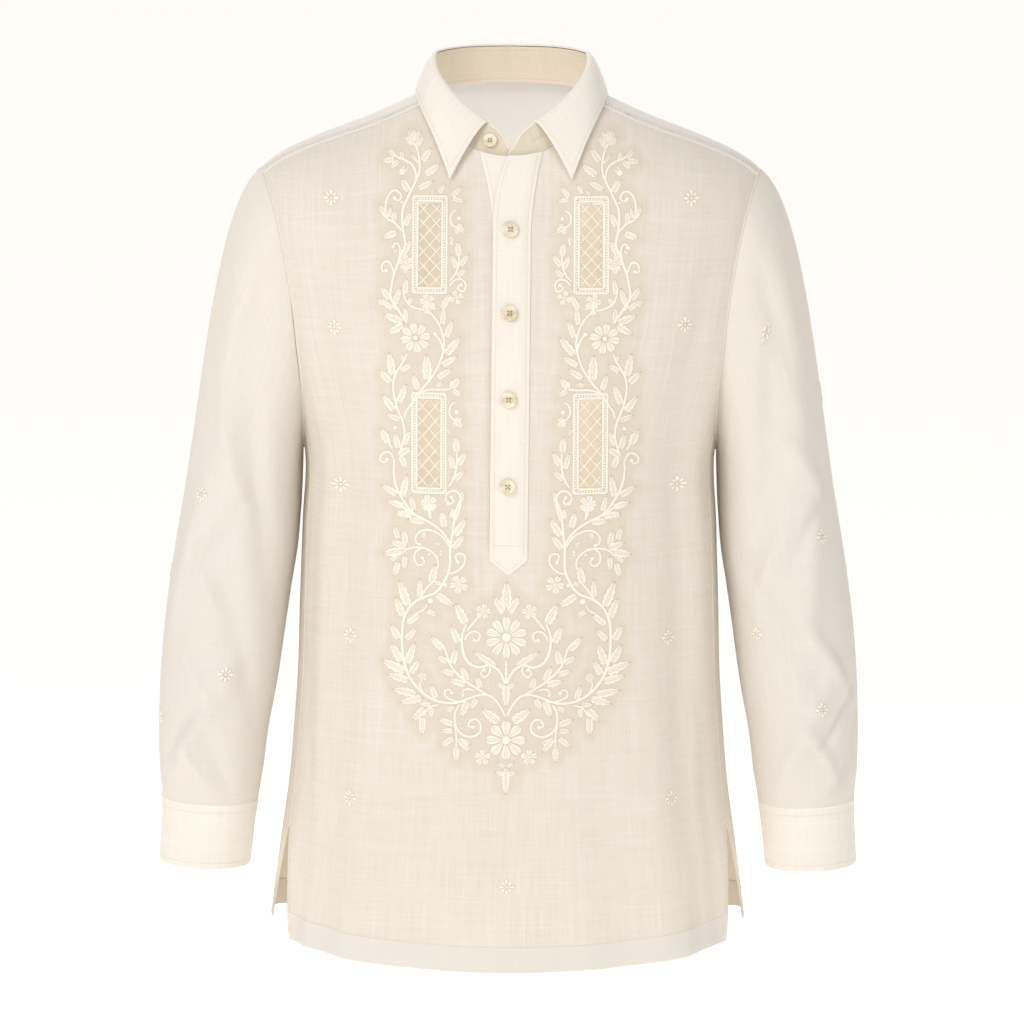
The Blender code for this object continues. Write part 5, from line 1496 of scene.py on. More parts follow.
class Satin:
    """Collects patches of raised stitching: grids of places in millimetres, each with its rise."""

    def __init__(self):
        self.places = []
        self.rises = []
        self.faces = []
        self.count = 0

    def add(self, grid, rise, closed=False):
        rows, columns = rise.shape
        self.places.append(grid.reshape(-1, 2))
        self.rises.append(rise.ravel())
        for face in lattice_faces(rows, columns, closed=closed):
            self.faces.append(tuple(self.count + i for i in face))
        self.count += rows * columns

    def leaf(self, x, z, tip_x, tip_z, width, shape=LEAF_SHAPE, section=LEAF_SECTION):
        """A leaf or petal in two leaning halves, with a vein between them and a rim that stands out."""
        ahead = np.array([tip_x - x, tip_z - z])
        length = np.linalg.norm(ahead)
        ahead = ahead / length
        aside = np.array([-ahead[1], ahead[0]])
        along, half, taper = np.array(shape).T
        half = np.maximum(half * length * width / 2 * LEAF_WIDTH, LEAF_STALK / 2 * (1 - along**6))
        across, dome = np.array(section).T
        reach = half[:, None] * across + np.sign(across) * (np.abs(across) == 1) * SHADOW_SKIRT
        grid = np.array([x, z]) + along[:, None, None] * length * ahead + reach[:, :, None] * aside
        self.add(grid, taper[:, None] * dome * SATIN_HIGH)

    def bloom(self, x, z, radius, petals, turn, width):
        heart = radius * (0.20 if petals > 5 else 0.10)
        wide = min(0.62, 2 * 0.66 * math.tan(math.pi / petals) * 0.92) if petals > 4 else width
        for number in range(petals):
            angle = math.radians(turn) + 2 * math.pi * number / petals
            ahead = np.array([math.sin(angle), math.cos(angle)])
            start = np.array([x, z]) + ahead * heart
            end = np.array([x, z]) + ahead * radius
            self.leaf(*start, *end, wide, PETAL_SHAPE)
        self.knot(x, z, heart * (0.85 if petals > 5 else 1.5))

    def knot(self, x, z, radius):
        around = np.arange(8) * math.pi / 4
        ring_ = np.stack([np.cos(around), np.sin(around)], axis=1)
        reach = np.array([radius + SHADOW_SKIRT * 0.8, radius * 0.8, radius * 0.45, radius * 0.05])
        grid = np.array([x, z]) + reach[:, None, None] * ring_
        rise = np.array([-0.1, 0.75, 1.0, 1.05])[:, None] * np.full(8, min(radius * 0.6, SATIN_HIGH))
        self.add(grid, rise, closed=True)

    def line(self, points, width, knot=0.0, spacing=1.3, swell=True, shadow_skirt=SHADOW_SKIRT):
        """A rounded cord of stitching through points."""
        walked = smooth_path(points, spacing)
        ahead = unit(np.gradient(walked, axis=0))
        aside = np.stack([-ahead[:, 1], ahead[:, 0]], axis=1)
        place = np.linspace(0, 1, len(walked))
        wide = width * (0.85 + 0.3 * np.sin(place * math.pi)) if swell else np.full(len(walked), width)
        wide[0] = wide[0] * 0.4
        wide[-1] = wide[-1] * 0.5
        across = np.array([-0.5, -0.36, 0.0, 0.36, 0.5])
        reach = wide[:, None] * across + np.array([-shadow_skirt, 0, 0, 0, shadow_skirt])
        dome = np.array([-0.1, 0.75, 1.0, 0.75, -0.1]) * CORD_HIGH
        grid = walked[:, None] + reach[:, :, None] * aside[:, None]
        self.add(grid, np.broadcast_to(dome, (len(walked), 5)))
        if knot:
            self.knot(*walked[-1], knot)

    def drawn(self, name, placed, lift=SHEET / 2):
        """The patches laid on a surface, as one piece."""
        flat = np.vstack(self.places)
        rise = np.concatenate(self.rises) / 1000
        middle, out = placed(flat[:, 0], flat[:, 1], lift)
        middle = middle + out * rise[:, None]
        faces = []
        for face in self.faces:
            faces += [face[:3]] if len(face) == 3 else [
                (face[0], face[1], face[2]), (face[0], face[2], face[3])
            ]
        faces = facing(middle, out, np.array(faces))
        made = make_mesh(name, middle, faces, thread, sharp_angle=70)
        # the rise also sets the painted shade of the thread
        high = np.clip(rise / (SATIN_HIGH / 1000), 0, 1).astype(np.float32)
        made.data.attributes.new("rise", "FLOAT", "POINT").data.foreach_set("value", high)
        return made


def smooth_path(points, spacing):
    """A curve through points, walked at an even spacing."""
    points = np.array(points, float)
    padded = np.vstack([2 * points[0] - points[1], points, 2 * points[-1] - points[-2]])
    share = np.linspace(0, 1, 9)[:-1, None]
    curve = []
    for a, b, c, d in zip(padded, padded[1:], padded[2:], padded[3:]):
        curve.append(
            0.5 * (
                2 * b + (c - a) * share + (2 * a - 5 * b + 4 * c - d) * share**2
                + (3 * b - a - 3 * c + d) * share**3
            )
        )
    curve = np.vstack(curve + [points[-1:]])
    step = np.linalg.norm(np.diff(curve, axis=0), axis=1)
    along = np.concatenate([[0], np.cumsum(step)])
    places = np.linspace(0, along[-1], max(3, round(along[-1] / spacing) + 1))
    return np.stack([np.interp(places, along, curve[:, i]) for i in (0, 1)], axis=1)


def embroider_vines():
    """Both halves, mirrored about the design's middle, which leans aside below the placket."""
    satin = Satin()
    for mirrored_half in (False, True):

        def at(x, z):
            middle = CENTRE * min(max((-300 - z) / 150, 0), 1)
            return (2 * middle + x if mirrored_half else -x), z

        for stem in STEMS:
            satin.line([at(x, z) for x, z in stem.points], stem.width * STEM_WIDTH, stem.knot * CURL_KNOT)
        for leaf in LEAVES:
            satin.leaf(*at(leaf.x, leaf.z), *at(leaf.tip_x, leaf.tip_z), leaf.width)
        for bloom in BLOOMS:
            turn = bloom.turn if mirrored_half else -bloom.turn
            satin.bloom(*at(bloom.x, bloom.z), bloom.radius, bloom.petals, turn, bloom.width)
        for knot in KNOTS:
            satin.knot(*at(knot.x, knot.z), knot.radius)
    return satin


def embroider_centre():
    satin = Satin()
    for bloom in CENTRE_BLOOMS:
        satin.bloom(bloom.x, bloom.z, bloom.radius, bloom.petals, bloom.turn, bloom.width)
        satin.knot(bloom.x, bloom.z, bloom.radius * 0.24)
    for leaf in CENTRE_LEAVES:
        satin.leaf(leaf.x, leaf.z, leaf.tip_x, leaf.tip_z, leaf.width)
        if leaf.x != leaf.tip_x:
            satin.leaf(2 * CENTRE - leaf.x, leaf.z, 2 * CENTRE - leaf.tip_x, leaf.tip_z, leaf.width)
    satin.line([(CENTRE, CENTRE_STEM[0]), (CENTRE, CENTRE_STEM[1])], 1.2)
    for height in CENTRE_BEADS:
        satin.knot(CENTRE, height, 1.5)
    return satin


def embroider_frames():
    """Round each window: two satin cords with a row of beads between them."""
    satin = Satin()
    for sign in (1, -1):
        for window in WINDOWS:
            middle = sign * WINDOW_ACROSS * 1000
            height = window.height * 1000

            def corners(inset):
                half = WINDOW_HALF_WIDTH * 1000 + FRAME_WIDTH - inset
                deep = window.half_height * 1000 + FRAME_WIDTH - inset
                return half, deep

            for inset, width in FRAME_CORDS:
                half, deep = corners(inset)
                box = [(-half, deep), (half, deep), (half, -deep), (-half, -deep), (-half, deep)]
                for (x0, z0), (x1, z1) in zip(box, box[1:]):
                    ends = [(middle + x0, height + z0), (middle + x1, height + z1)]
                    satin.line(ends, width, swell=False)
            half, deep = corners(FRAME_BEADS)
            for z in np.linspace(-deep, deep, round(2 * deep / BEAD_SPACING) + 1):
                satin.knot(middle - half, height + z, BEAD)
                satin.knot(middle + half, height + z, BEAD)
            for x in np.linspace(-half, half, round(2 * half / BEAD_SPACING) + 1)[1:-1]:
                satin.knot(middle + x, height - deep, BEAD)
                satin.knot(middle + x, height + deep, BEAD)
    return satin


def wrap_lattice():
    """Thread wound round the bars of each window."""
    satin = Satin()
    for sign in (1, -1):
        for window in WINDOWS:
            middle = sign * WINDOW_ACROSS * 1000
            height = window.height * 1000
            half = WINDOW_HALF_WIDTH * 1000
            deep = window.half_height * 1000
            across = LATTICE_ACROSS * 1000
            down = 2 * deep / LATTICE_ROWS
            for lean in (1, -1):
                for number in range(-14, 15):
                    ends = []
                    offset = number * down
                    for x in (-half, half):
                        ends.append((x, offset + lean * x * down / across))
                    clipped_ = clip_line(ends, deep)
                    if clipped_:
                        bar = [(middle + x, height + z) for x, z in clipped_]
                        satin.line(bar, LATTICE_CORD, spacing=2.2, swell=False, shadow_skirt=0.1)
    return satin


def clip_line(ends, deep):
    """The share of a line that lies within a window's height."""
    (x0, z0), (x1, z1) = ends
    shares = []
    for limit in (-deep, deep):
        if z1 != z0:
            shares.append((limit - z0) / (z1 - z0))
    low, high = max(0, min(shares)), min(1, max(shares))
    if high - low < 0.08:
        return None
    return [(x0 + (x1 - x0) * share, z0 + (z1 - z0) * share) for share in (low, high)]


def star(satin, x, z, lean=0.0, size=1.0):
    """A small flower of eight narrow petals and a round heart."""
    for number in range(8):
        angle = math.radians(lean) + math.pi * number / 4
        long = (7.2 if number % 2 == 0 else 6.2) * size
        ahead = np.array([math.sin(angle), math.cos(angle)])
        start = np.array([x, z]) + ahead * 2.1 * size
        end = np.array([x, z]) + ahead * long
        satin.leaf(*start, *end, 0.46, PETAL_SHAPE, section=PLAIN_SECTION)
    satin.knot(x, z, 1.15 * size)


def embroider_stars():
    front = Satin()
    for x, z in FRONT_STARS:
        star(front, x, z)
    front.drawn("stars_front", on_front)
    back = Satin()
    for x, z in BACK_STARS:
        for sign in (1, -1) if x else (1,):
            star(back, sign * x, z)
    back.drawn("stars_back", on_back)
    for side, sign in SIDES.items():
        satin = Satin()
        for degrees, along in SLEEVE_STARS[side]:
            star(satin, math.radians(degrees) * SLEEVE_RADIUS, -along * SLEEVE_LENGTH)

        def on_sleeve(x, z, lift):
            return sleeve(side, np.asarray(x) / SLEEVE_RADIUS, -np.asarray(z) / SLEEVE_LENGTH, lift)

        satin.drawn("stars_sleeve_" + side, on_sleeve)


def make_buttonhole():
    """The worked slit at the free end of the collar stand."""
    angles = np.radians(np.linspace(*COLLAR_HOLE_TURNS, 9))
    low = np.array([stand_point(angle, 0.5 - 0.030, 1) for angle in angles])
    high = np.array([stand_point(angle, 0.5 + 0.030, 1) for angle in angles])
    along = unit(np.gradient((low + high) / 2, axis=0))
    out = unit(np.cross(along, unit(high - low)))
    out = np.where(out[:, 1:2] > 0, -out, out)
    row = np.hstack([(low + high) / 2 + out * THICK / 2, out])
    ridge("buttonhole_collar", [row], 0.0021, 0.0006, seam_thread_and_shadow, "crisp_cloth", spacing=0.001)


def paint_embroidery_shade(made, stitched):
    """Marks the cloth among the embroidery for painted shade, which darkens it there."""
    marks = np.vstack([block for satin in stitched for block in satin.places])[::5]
    count = len(made.data.vertices)
    places = np.empty(count * 3, np.float32)
    made.data.vertices.foreach_get("co", places)
    places = places.reshape(-1, 3)[:, [0, 2]] * 1000
    near = np.full(count, 1e9)
    for first in range(0, len(marks), 200):
        block = marks[first : first + 200]
        distance = ((places[:, None] - block[None]) ** 2).sum(axis=2).min(axis=1)
        near = np.minimum(near, distance)
    share = 1 - smooth_share((np.sqrt(near) - SHADE_NEAR) / (SHADE_FAR - SHADE_NEAR))
    made.data.attributes.new("embroidery_shade", "FLOAT", "POINT").data.foreach_set("value", share.astype(np.float32))



# Materials


def linear(red, green, blue):
    """A linear colour from 0 to 255 screen values."""
    return tuple(
        ((v / 255 + 0.055) / 1.055) ** 2.4 if v > 10 else v / 255 / 12.92 for v in (red, green, blue)
    )


class Nodes:
    """A material's node tree, built by short calls."""

    def __init__(self, name):
        self.material = bpy.data.materials.new(name)
        self.material.use_nodes = True
        self.tree = self.material.node_tree
        self.shader = self.tree.nodes["Principled BSDF"]
        self.output = self.tree.nodes["Material Output"]

    def join(self, source, target):
        self.tree.links.new(source, target)

    def feed(self, socket, value):
        if isinstance(value, bpy.types.NodeSocket):
            self.join(value, socket)
        else:
            socket.default_value = value

    def attribute(self, name, output="Vector"):
        node = self.tree.nodes.new("ShaderNodeAttribute")
        node.attribute_name = name
        return node.outputs[output]

    def parts(self, vector):
        node = self.tree.nodes.new("ShaderNodeSeparateXYZ")
        self.join(vector, node.inputs[0])
        return node.outputs

    def scaled(self, vector, across, down, deep=1.0):
        node = self.tree.nodes.new("ShaderNodeMapping")
        self.join(vector, node.inputs["Vector"])
        node.inputs["Scale"].default_value = (across, down, deep)
        return node.outputs[0]

    def noise(self, vector, scale, detail=2.0, roughness=0.5):
        node = self.tree.nodes.new("ShaderNodeTexNoise")
        self.join(vector, node.inputs["Vector"])
        node.inputs["Scale"].default_value = scale
        node.inputs["Detail"].default_value = detail
        node.inputs["Roughness"].default_value = roughness
        return node.outputs["Fac"]

    def math(self, operation, *values):
        node = self.tree.nodes.new("ShaderNodeMath")
        node.operation = operation
        for socket, value in zip(node.inputs, values):
            self.feed(socket, value)
        return node.outputs[0]

    def remap(self, value, low, high, to_low=0.0, to_high=1.0):
        node = self.tree.nodes.new("ShaderNodeMapRange")
        node.interpolation_type = "SMOOTHSTEP"
        for socket, given in zip(node.inputs, (value, low, high, to_low, to_high)):
            self.feed(socket, given)
        return node.outputs[0]

    def mixed(self, share, first, second):
        node = self.tree.nodes.new("ShaderNodeMix")
        node.data_type = "RGBA"
        self.feed(node.inputs["Factor"], share)
        for socket, colour in ((node.inputs["A"], first), (node.inputs["B"], second)):
            self.feed(socket, (*colour, 1.0) if isinstance(colour, tuple) else colour)
        return node.outputs["Result"]

    def bump(self, height, strength, distance):
        node = self.tree.nodes.new("ShaderNodeBump")
        node.inputs["Strength"].default_value = strength
        node.inputs["Distance"].default_value = distance
        self.join(height, node.inputs["Height"])
        return node.outputs[0]


def weave_nodes(nodes, place):
    """Height of the threads, and of the thicker slubs among them, at a place on the cut cloth."""
    warp = nodes.noise(nodes.scaled(place, 800, 22), 1.0, 1.0, 0.55)
    weft = nodes.noise(nodes.scaled(place, 22, 800), 1.0, 1.0, 0.55)
    threads = nodes.math("ADD", nodes.math("MULTIPLY", warp, 1.15), nodes.math("MULTIPLY", weft, 0.85))
    upright_slub = nodes.noise(nodes.scaled(place, 240, 5), 1.0, 0.0, 0.5)
    level_slub = nodes.noise(nodes.scaled(place, 5, 240), 1.0, 0.0, 0.5)
    slubs = nodes.math("ADD", nodes.remap(upright_slub, 0.50, 0.80), nodes.remap(level_slub, 0.56, 0.86))
    return threads, slubs


def cloth_material(name, light, dark, doubled, embroidery_shade, reverse, hem_depth):
    """Sheer plain weave: fine crossing threads and uneven slubs, paler where a hem doubles it, with painted
    shade among the embroidery and on the reverse.
    """
    nodes = Nodes(name)
    place = nodes.attribute("cloth")
    threads, slubs = weave_nodes(nodes, place)
    cloud = nodes.noise(nodes.scaled(place, 7, 5), 1.0, 1.0, 0.6)
    tone = nodes.math("ADD", nodes.math("MULTIPLY", nodes.math("SUBTRACT", threads, 1.0), 0.85), 0.48)
    tone = nodes.math("ADD", tone, nodes.math("MULTIPLY", slubs, 0.14))
    tone = nodes.math("ADD", tone, nodes.math("MULTIPLY", nodes.math("SUBTRACT", cloud, 0.5), 0.3))
    colour = nodes.mixed(nodes.math("MINIMUM", nodes.math("MAXIMUM", tone, 0.0), 1.0), dark, light)
    # painted shade on the cloth among the embroidery
    colour = nodes.mixed(nodes.math("MULTIPLY", nodes.attribute("embroidery_shade", "Fac"), 0.75), colour, embroidery_shade)
    above_hem = nodes.parts(place)["Z"]
    in_hem = nodes.remap(above_hem, hem_depth - 0.0006, hem_depth + 0.0006, 1.0, 0.0)
    colour = nodes.mixed(nodes.math("MULTIPLY", in_hem, 0.75), colour, doubled)
    # painted shade on the reverse of the cloth
    colour = nodes.mixed(
        nodes.math("MULTIPLY", nodes.attribute("inside", "Fac"), INSIDE_SHADE), colour, reverse
    )
    shader = nodes.shader
    nodes.join(colour, shader.inputs["Base Color"])
    shader.inputs["Roughness"].default_value = 0.65
    shader.inputs["Specular IOR Level"].default_value = 0.15
    nodes.join(nodes.bump(threads, 0.35, 0.00035), shader.inputs["Normal"])
    glow = nodes.tree.nodes.new("ShaderNodeBsdfTranslucent")
    nodes.join(colour, glow.inputs["Color"])
    lit = nodes.tree.nodes.new("ShaderNodeMixShader")
    lit.inputs[0].default_value = THROUGH_CLOTH
    nodes.join(shader.outputs[0], lit.inputs[1])
    nodes.join(glow.outputs[0], lit.inputs[2])
    nodes.join(lit.outputs[0], nodes.output.inputs["Surface"])
    return nodes.material


def crisp_material(name, light, dark):
    """Doubled cloth over an interlining: closer, smoother and paler."""
    nodes = Nodes(name)
    place = nodes.attribute("cloth")
    threads, slubs = weave_nodes(nodes, place)
    cloud = nodes.noise(nodes.scaled(place, 14, 14), 1.0, 2.0, 0.5)
    tone = nodes.math("ADD", nodes.math("MULTIPLY", nodes.math("SUBTRACT", threads, 1.0), 0.8), 0.55)
    tone = nodes.math("ADD", tone, nodes.math("MULTIPLY", slubs, 0.16))
    tone = nodes.math("ADD", tone, nodes.math("MULTIPLY", nodes.math("SUBTRACT", cloud, 0.5), 0.4))
    colour = nodes.mixed(nodes.math("MINIMUM", nodes.math("MAXIMUM", tone, 0.0), 1.0), dark, light)
    shader = nodes.shader
    nodes.join(colour, shader.inputs["Base Color"])
    shader.inputs["Roughness"].default_value = 0.56
    shader.inputs["Specular IOR Level"].default_value = 0.3
    nodes.join(nodes.bump(threads, 0.28, 0.0003), shader.inputs["Normal"])
    return nodes.material


def shaded_thread_material(name, light, dark):
    """Embroidery floss with painted shade: its own pale colour on top, painted darker where it dips to the
    cloth.
    """
    nodes = Nodes(name)
    coordinates = nodes.tree.nodes.new("ShaderNodeTexCoord").outputs["Object"]
    grain = nodes.noise(coordinates, 900, 0.0, 0.5)
    # painted shade: thread that lies low is coloured darker
    share = nodes.remap(nodes.attribute("rise", "Fac"), 0.05, 0.85)
    share = nodes.math("MULTIPLY", share, nodes.remap(grain, 0.2, 0.6, 0.82, 1.0))
    nodes.join(nodes.mixed(share, dark, light), nodes.shader.inputs["Base Color"])
    nodes.shader.inputs["Roughness"].default_value = 0.55
    nodes.shader.inputs["Specular IOR Level"].default_value = 0.25
    return nodes.material


def plain_material(name, colour, roughness):
    nodes = Nodes(name)
    nodes.shader.inputs["Base Color"].default_value = (*colour, 1)
    nodes.shader.inputs["Roughness"].default_value = roughness
    return nodes.material


def pearl_material(name, light, dark):
    """Shell buttons: soft bands of lustre under a polished face."""
    nodes = Nodes(name)
    coordinates = nodes.tree.nodes.new("ShaderNodeTexCoord").outputs["Object"]
    bands = nodes.noise(nodes.scaled(coordinates, 60, 20, 150), 1.0, 3.0, 0.6)
    share = nodes.remap(bands, 0.32, 0.68)
    nodes.join(nodes.mixed(share, dark, light), nodes.shader.inputs["Base Color"])
    nodes.join(
        nodes.math("ADD", nodes.math("MULTIPLY", bands, 0.2), 0.16), nodes.shader.inputs["Roughness"]
    )
    nodes.shader.inputs["Coat Weight"].default_value = 0.4
    nodes.shader.inputs["Coat Roughness"].default_value = 0.12
    nodes.join(nodes.bump(bands, 0.12, 0.0003), nodes.shader.inputs["Normal"])
    return nodes.material


THROUGH_CLOTH = 0.30  # share of the light that passes on through the cloth
DOUBLED = linear(253, 249, 243)
# painted shade of the cloth among the embroidery
EMBROIDERY_SHADE = linear(240, 230, 214)
# painted shade of the cloth's reverse inside the shirt
REVERSE_SHADE = linear(214, 202, 182)
sheer = cloth_material(
    "sheer", linear(252, 248, 242), linear(239, 231, 220), DOUBLED, EMBROIDERY_SHADE, REVERSE_SHADE, HEM_DEPTH
)
# The sleeves: the body's cloth painted paler, as painted light that makes up for the shade they fall in.
sleeve_painted_light = cloth_material(
    "sleeve", linear(254, 251, 246), linear(247, 241, 232), DOUBLED, EMBROIDERY_SHADE, REVERSE_SHADE, HEM_DEPTH
)
# The yoke's reverse is painted a grey shade.
yoke_sheer = cloth_material(
    "yoke", linear(254, 252, 248), linear(246, 241, 234), DOUBLED, EMBROIDERY_SHADE, linear(208, 207, 206), HEM_DEPTH
)
crisp = crisp_material("crisp", linear(240, 235, 226), linear(231, 224, 213))
# The collar stand: the collar's cloth painted darker, as the shade that the fall casts on it.
stand_cloth_painted_shade = crisp_material("stand", linear(224, 213, 195), linear(213, 201, 182))
# Embroidery thread: its own colour, and a darker one painted as shade where it lies low.
thread = shaded_thread_material("thread", linear(244, 240, 231), linear(206, 190, 162))
# Sewing thread, also the colour of the painted shadow lines along the armholes.
seam_thread_and_shadow = plain_material("seam", linear(214, 200, 175), 0.7)
pearl = pearl_material("pearl", linear(240, 230, 210), linear(214, 198, 168))


# Body shells

FAR = 1.0  # stored where there is no hem near


def body_cloth(turn, drop, above_hem=FAR):
    """Places on the cut cloth, with the threads across it level below the shoulders."""
    return column(turn * FLAT_SCALE, drop - drop_to(turn, LEVEL), above_hem)


def body_shell(name, outline, holes=(), hem_at=None, finish=None, thickness=SHEET, lift=0.0):
    """A shell on the body from an outline of angles and drops."""
    scale = np.array([FLAT_SCALE, -1.0])
    flat, faces = fill(np.array(outline) * scale, [np.array(gap) * scale for gap in holes], BODY_STEP)
    turn, drop = (flat / scale).T
    middle, out = body(turn, drop, lift)
    above = hem_at(turn) - drop if hem_at is not None else FAR
    return shell(
        name, middle, out, faces, thickness, finish or sheer, body_cloth(turn, drop, above)
    )


def hem_drop(corner_turn, height, rise, back=False):
    """The drop of a hem at any angle."""
    middle = math.pi if back else 0.0
    bend = BACK_HEM_BEND if back else FRONT_HEM_BEND
    corner = abs(math.sin(corner_turn))

    def read(turn):
        share = np.minimum(np.abs(np.sin(turn - middle)) / corner, 1)
        return drop_to(turn, height + rise * share**bend)

    return read


front_hem_at = hem_drop(SLIT_FRONT_EDGE, FRONT_HEM, FRONT_HEM_RISE)
back_hem_at = hem_drop(SLIT_BACK_EDGE, BACK_HEM, BACK_HEM_RISE, back=True)


def lapped(turn, drop, amount):
    """A seam point moved down the body by an amount, so that one panel laps another."""
    return turn, drop + amount


def make_front():
    shoulder = [lapped(turn, drop, -SEAM_LAP) for turn, drop in front_shoulder_seam()]
    arm = [armhole(step) for step in np.arange(YOKE_FRONT_STEP + ARM_FINE, SIDE_SEAM_STEP, ARM_FINE)]
    side = side_seam()
    slit = slit_edge(SLIT_FRONT_EDGE, FRONT_HEM + FRONT_HEM_RISE)
    bottom = hem(SLIT_FRONT_EDGE, -SLIT_FRONT_EDGE, FRONT_HEM, FRONT_HEM_RISE)
    left = shoulder + arm + side + slit
    left_slot = down_edge(lambda height: over_left(height) - PLACKET_LAP, SLOT_FOOT, BODY_STEP)
    right_slot = down_edge(lambda height: under_right(height) + PLACKET_LAP, SLOT_FOOT, BODY_STEP)
    neck_end = neck_plan(math.pi * YOKE_NECK_STEP / NECK_STEPS)[0]
    neck_right = along_neck(-neck_end, right_slot[0][0])
    neck_left = along_neck(left_slot[0][0], neck_end)
    opening = neck_right + right_slot + left_slot[::-1] + neck_left
    opening = [tuple(map(float, seen(across, height))) for across, height in opening]
    outline = left + bottom + mirrored(left) + opening
    made = body_shell("front_cloth", outline, window_holes(), front_hem_at)
    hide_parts("front")
    return made


def make_back():
    top = back_yoke_seam()
    arm = [armhole(step, back=True) for step in np.arange(YOKE_BACK_STEP + ARM_FINE, ARM_STEPS, ARM_FINE)]
    underarm = [armhole(step) for step in np.arange(ARM_STEPS, SIDE_SEAM_STEP, -ARM_FINE)]
    side = side_seam()
    slit = slit_edge(SLIT_BACK_EDGE, BACK_HEM + BACK_HEM_RISE)
    left = top + arm + underarm + side + slit
    bottom = hem(SLIT_BACK_EDGE, 2 * math.pi - SLIT_BACK_EDGE, BACK_HEM, BACK_HEM_RISE, back=True)
    right = [(2 * math.pi - turn, drop) for turn, drop in left[1:][::-1]]
    made = body_shell("back_cloth", left + bottom + right, (), back_hem_at)
    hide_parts("back")
    return made


def make_yoke():
    """One piece over both shoulders, laid a little over the front and the back."""

    def flat(turn, drop):
        side = 1 if math.sin(turn) >= 0 else -1
        return side * reach_of(turn), drop if math.cos(turn) > 0 else -drop

    shoulder = [flat(*lapped(turn, drop, SEAM_LAP / 2)) for turn, drop in front_shoulder_seam()]
    neck = [math.pi * step / NECK_STEPS for step in range(YOKE_NECK_STEP + 1, NECK_STEPS + 1)]
    neck = [flat(*from_above(*neck_plan(angle))) for angle in neck]
    arm = [
        flat(*armhole(step, back=True))
        for step in np.arange(YOKE_BACK_STEP - ARM_FINE, -ARM_FINE / 2, -ARM_FINE)
    ]
    arm += [flat(*armhole(step)) for step in np.arange(ARM_FINE, YOKE_FRONT_STEP, ARM_FINE)]
    back = [flat(*lapped(turn, drop, SEAM_LAP)) for turn, drop in back_yoke_seam()]
    left = back + arm + shoulder[::-1] + neck
    left[0] = (0.0, left[0][1])
    left[-1] = (0.0, left[-1][1])
    outline = left + [(-reach, drop) for reach, drop in left[1:-1][::-1]]
    corners, faces = fill(outline, [], YOKE_STEP)
    reach, drop = corners.T
    turn = np.arcsin(np.clip(np.abs(reach) / SHOULDER_REACH, 0, 1) ** (SQUARENESS / 2))
    turn = np.where(drop < 0, math.pi - turn, turn)
    middle, out = body(np.where(reach < 0, -turn, turn), np.abs(drop), YOKE_LIFT)
    cloth = column(reach, drop, FAR)
    made = shell("yoke_cloth", middle, out, faces, SHEET, yoke_sheer, cloth)
    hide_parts("yoke")
    return made


def hem_band(name, hem_at, start, end):
    """The turned-up cloth inside a hem."""
    turns = np.linspace(start, end, round(abs(end - start) * FLAT_SCALE / BODY_STEP) + 1)
    ups = np.linspace(0.0006, HEM_DEPTH, 6)
    turn, up = np.meshgrid(turns, ups)
    drop = hem_at(turn) - up
    middle, out = body(turn.ravel(), drop.ravel(), -0.0008)
    faces = lattice_faces(len(ups), len(turns))
    return shell(
        name, middle, out, faces, SHEET, sheer, body_cloth(turn.ravel(), drop.ravel(), 0.0)
    )


# Sleeves, cuffs and vents


def make_sleeve(side):
    rows = np.linspace(0, 1, SLEEVE_ROWS + 1)
    turns = np.arange(SLEEVE_COLUMNS) * 2 * math.pi / SLEEVE_COLUMNS
    turn, along = np.meshgrid(turns, rows)
    middle, out = sleeve(side, turn.ravel(), along.ravel())
    faces = lattice_faces(len(rows), len(turns), closed=True)
    cloth = column(np.abs(turn.ravel() - math.pi) * 0.062, along.ravel() * 0.60, FAR)
    # the sleeve's cloth is painted paler, as painted light
    made = shell("sleeve_painted_light_" + side, middle, out, faces, SHEET, sleeve_painted_light, cloth)
    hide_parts("sleeve_" + side)
    return made


def make_vent(side):
    """The strip that binds the sleeve's opening, with a pointed top."""
    width = 2 * VENT_TURN
    start = VENT_COLUMN * VENT_TURN
    length = VENT_ROWS / VENT_ROW_COUNT
    down = edged(40, VENT_LENGTH, DOUBLE)
    across = edged(10, VENT_WIDTH, DOUBLE)
    share, place = np.meshgrid(across, down)
    point = (1 - length) + 0.020 * np.abs(2 * share - 1)
    along = point + (1.002 - point) * place
    turn = start + width * share
    middle, out = sleeve(side, turn.ravel(), along.ravel(), CLOTH / 2 + GAP + BAND / 2)
    thickness = rounded(
        len(down), len(across), (down * VENT_LENGTH, across * VENT_WIDTH), DOUBLE, (True, False, True, True)
    )
    cloth = column(share.ravel() * VENT_WIDTH, place.ravel() * VENT_LENGTH, FAR)
    made = shell(
        "vent_cloth_" + side, middle, out, lattice_faces(
            len(down), len(across)
        ), thickness, crisp, cloth
    )
    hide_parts("vent_" + side)
    lines = []
    for edge in (0.10, 0.90):
        t = start + width * edge
        lines.append((np.full(60, t), np.linspace(1 - length + 0.024, 1.0, 60)))
    sewn = []
    for t, a in lines:
        place, out = sleeve(side, t, a, CLOTH / 2 + GAP + BAND / 2 + DOUBLE / 2)
        sewn.append(np.hstack([place, out]))
    stitches("stitches_vent_" + side, sewn, seam_thread_and_shadow)


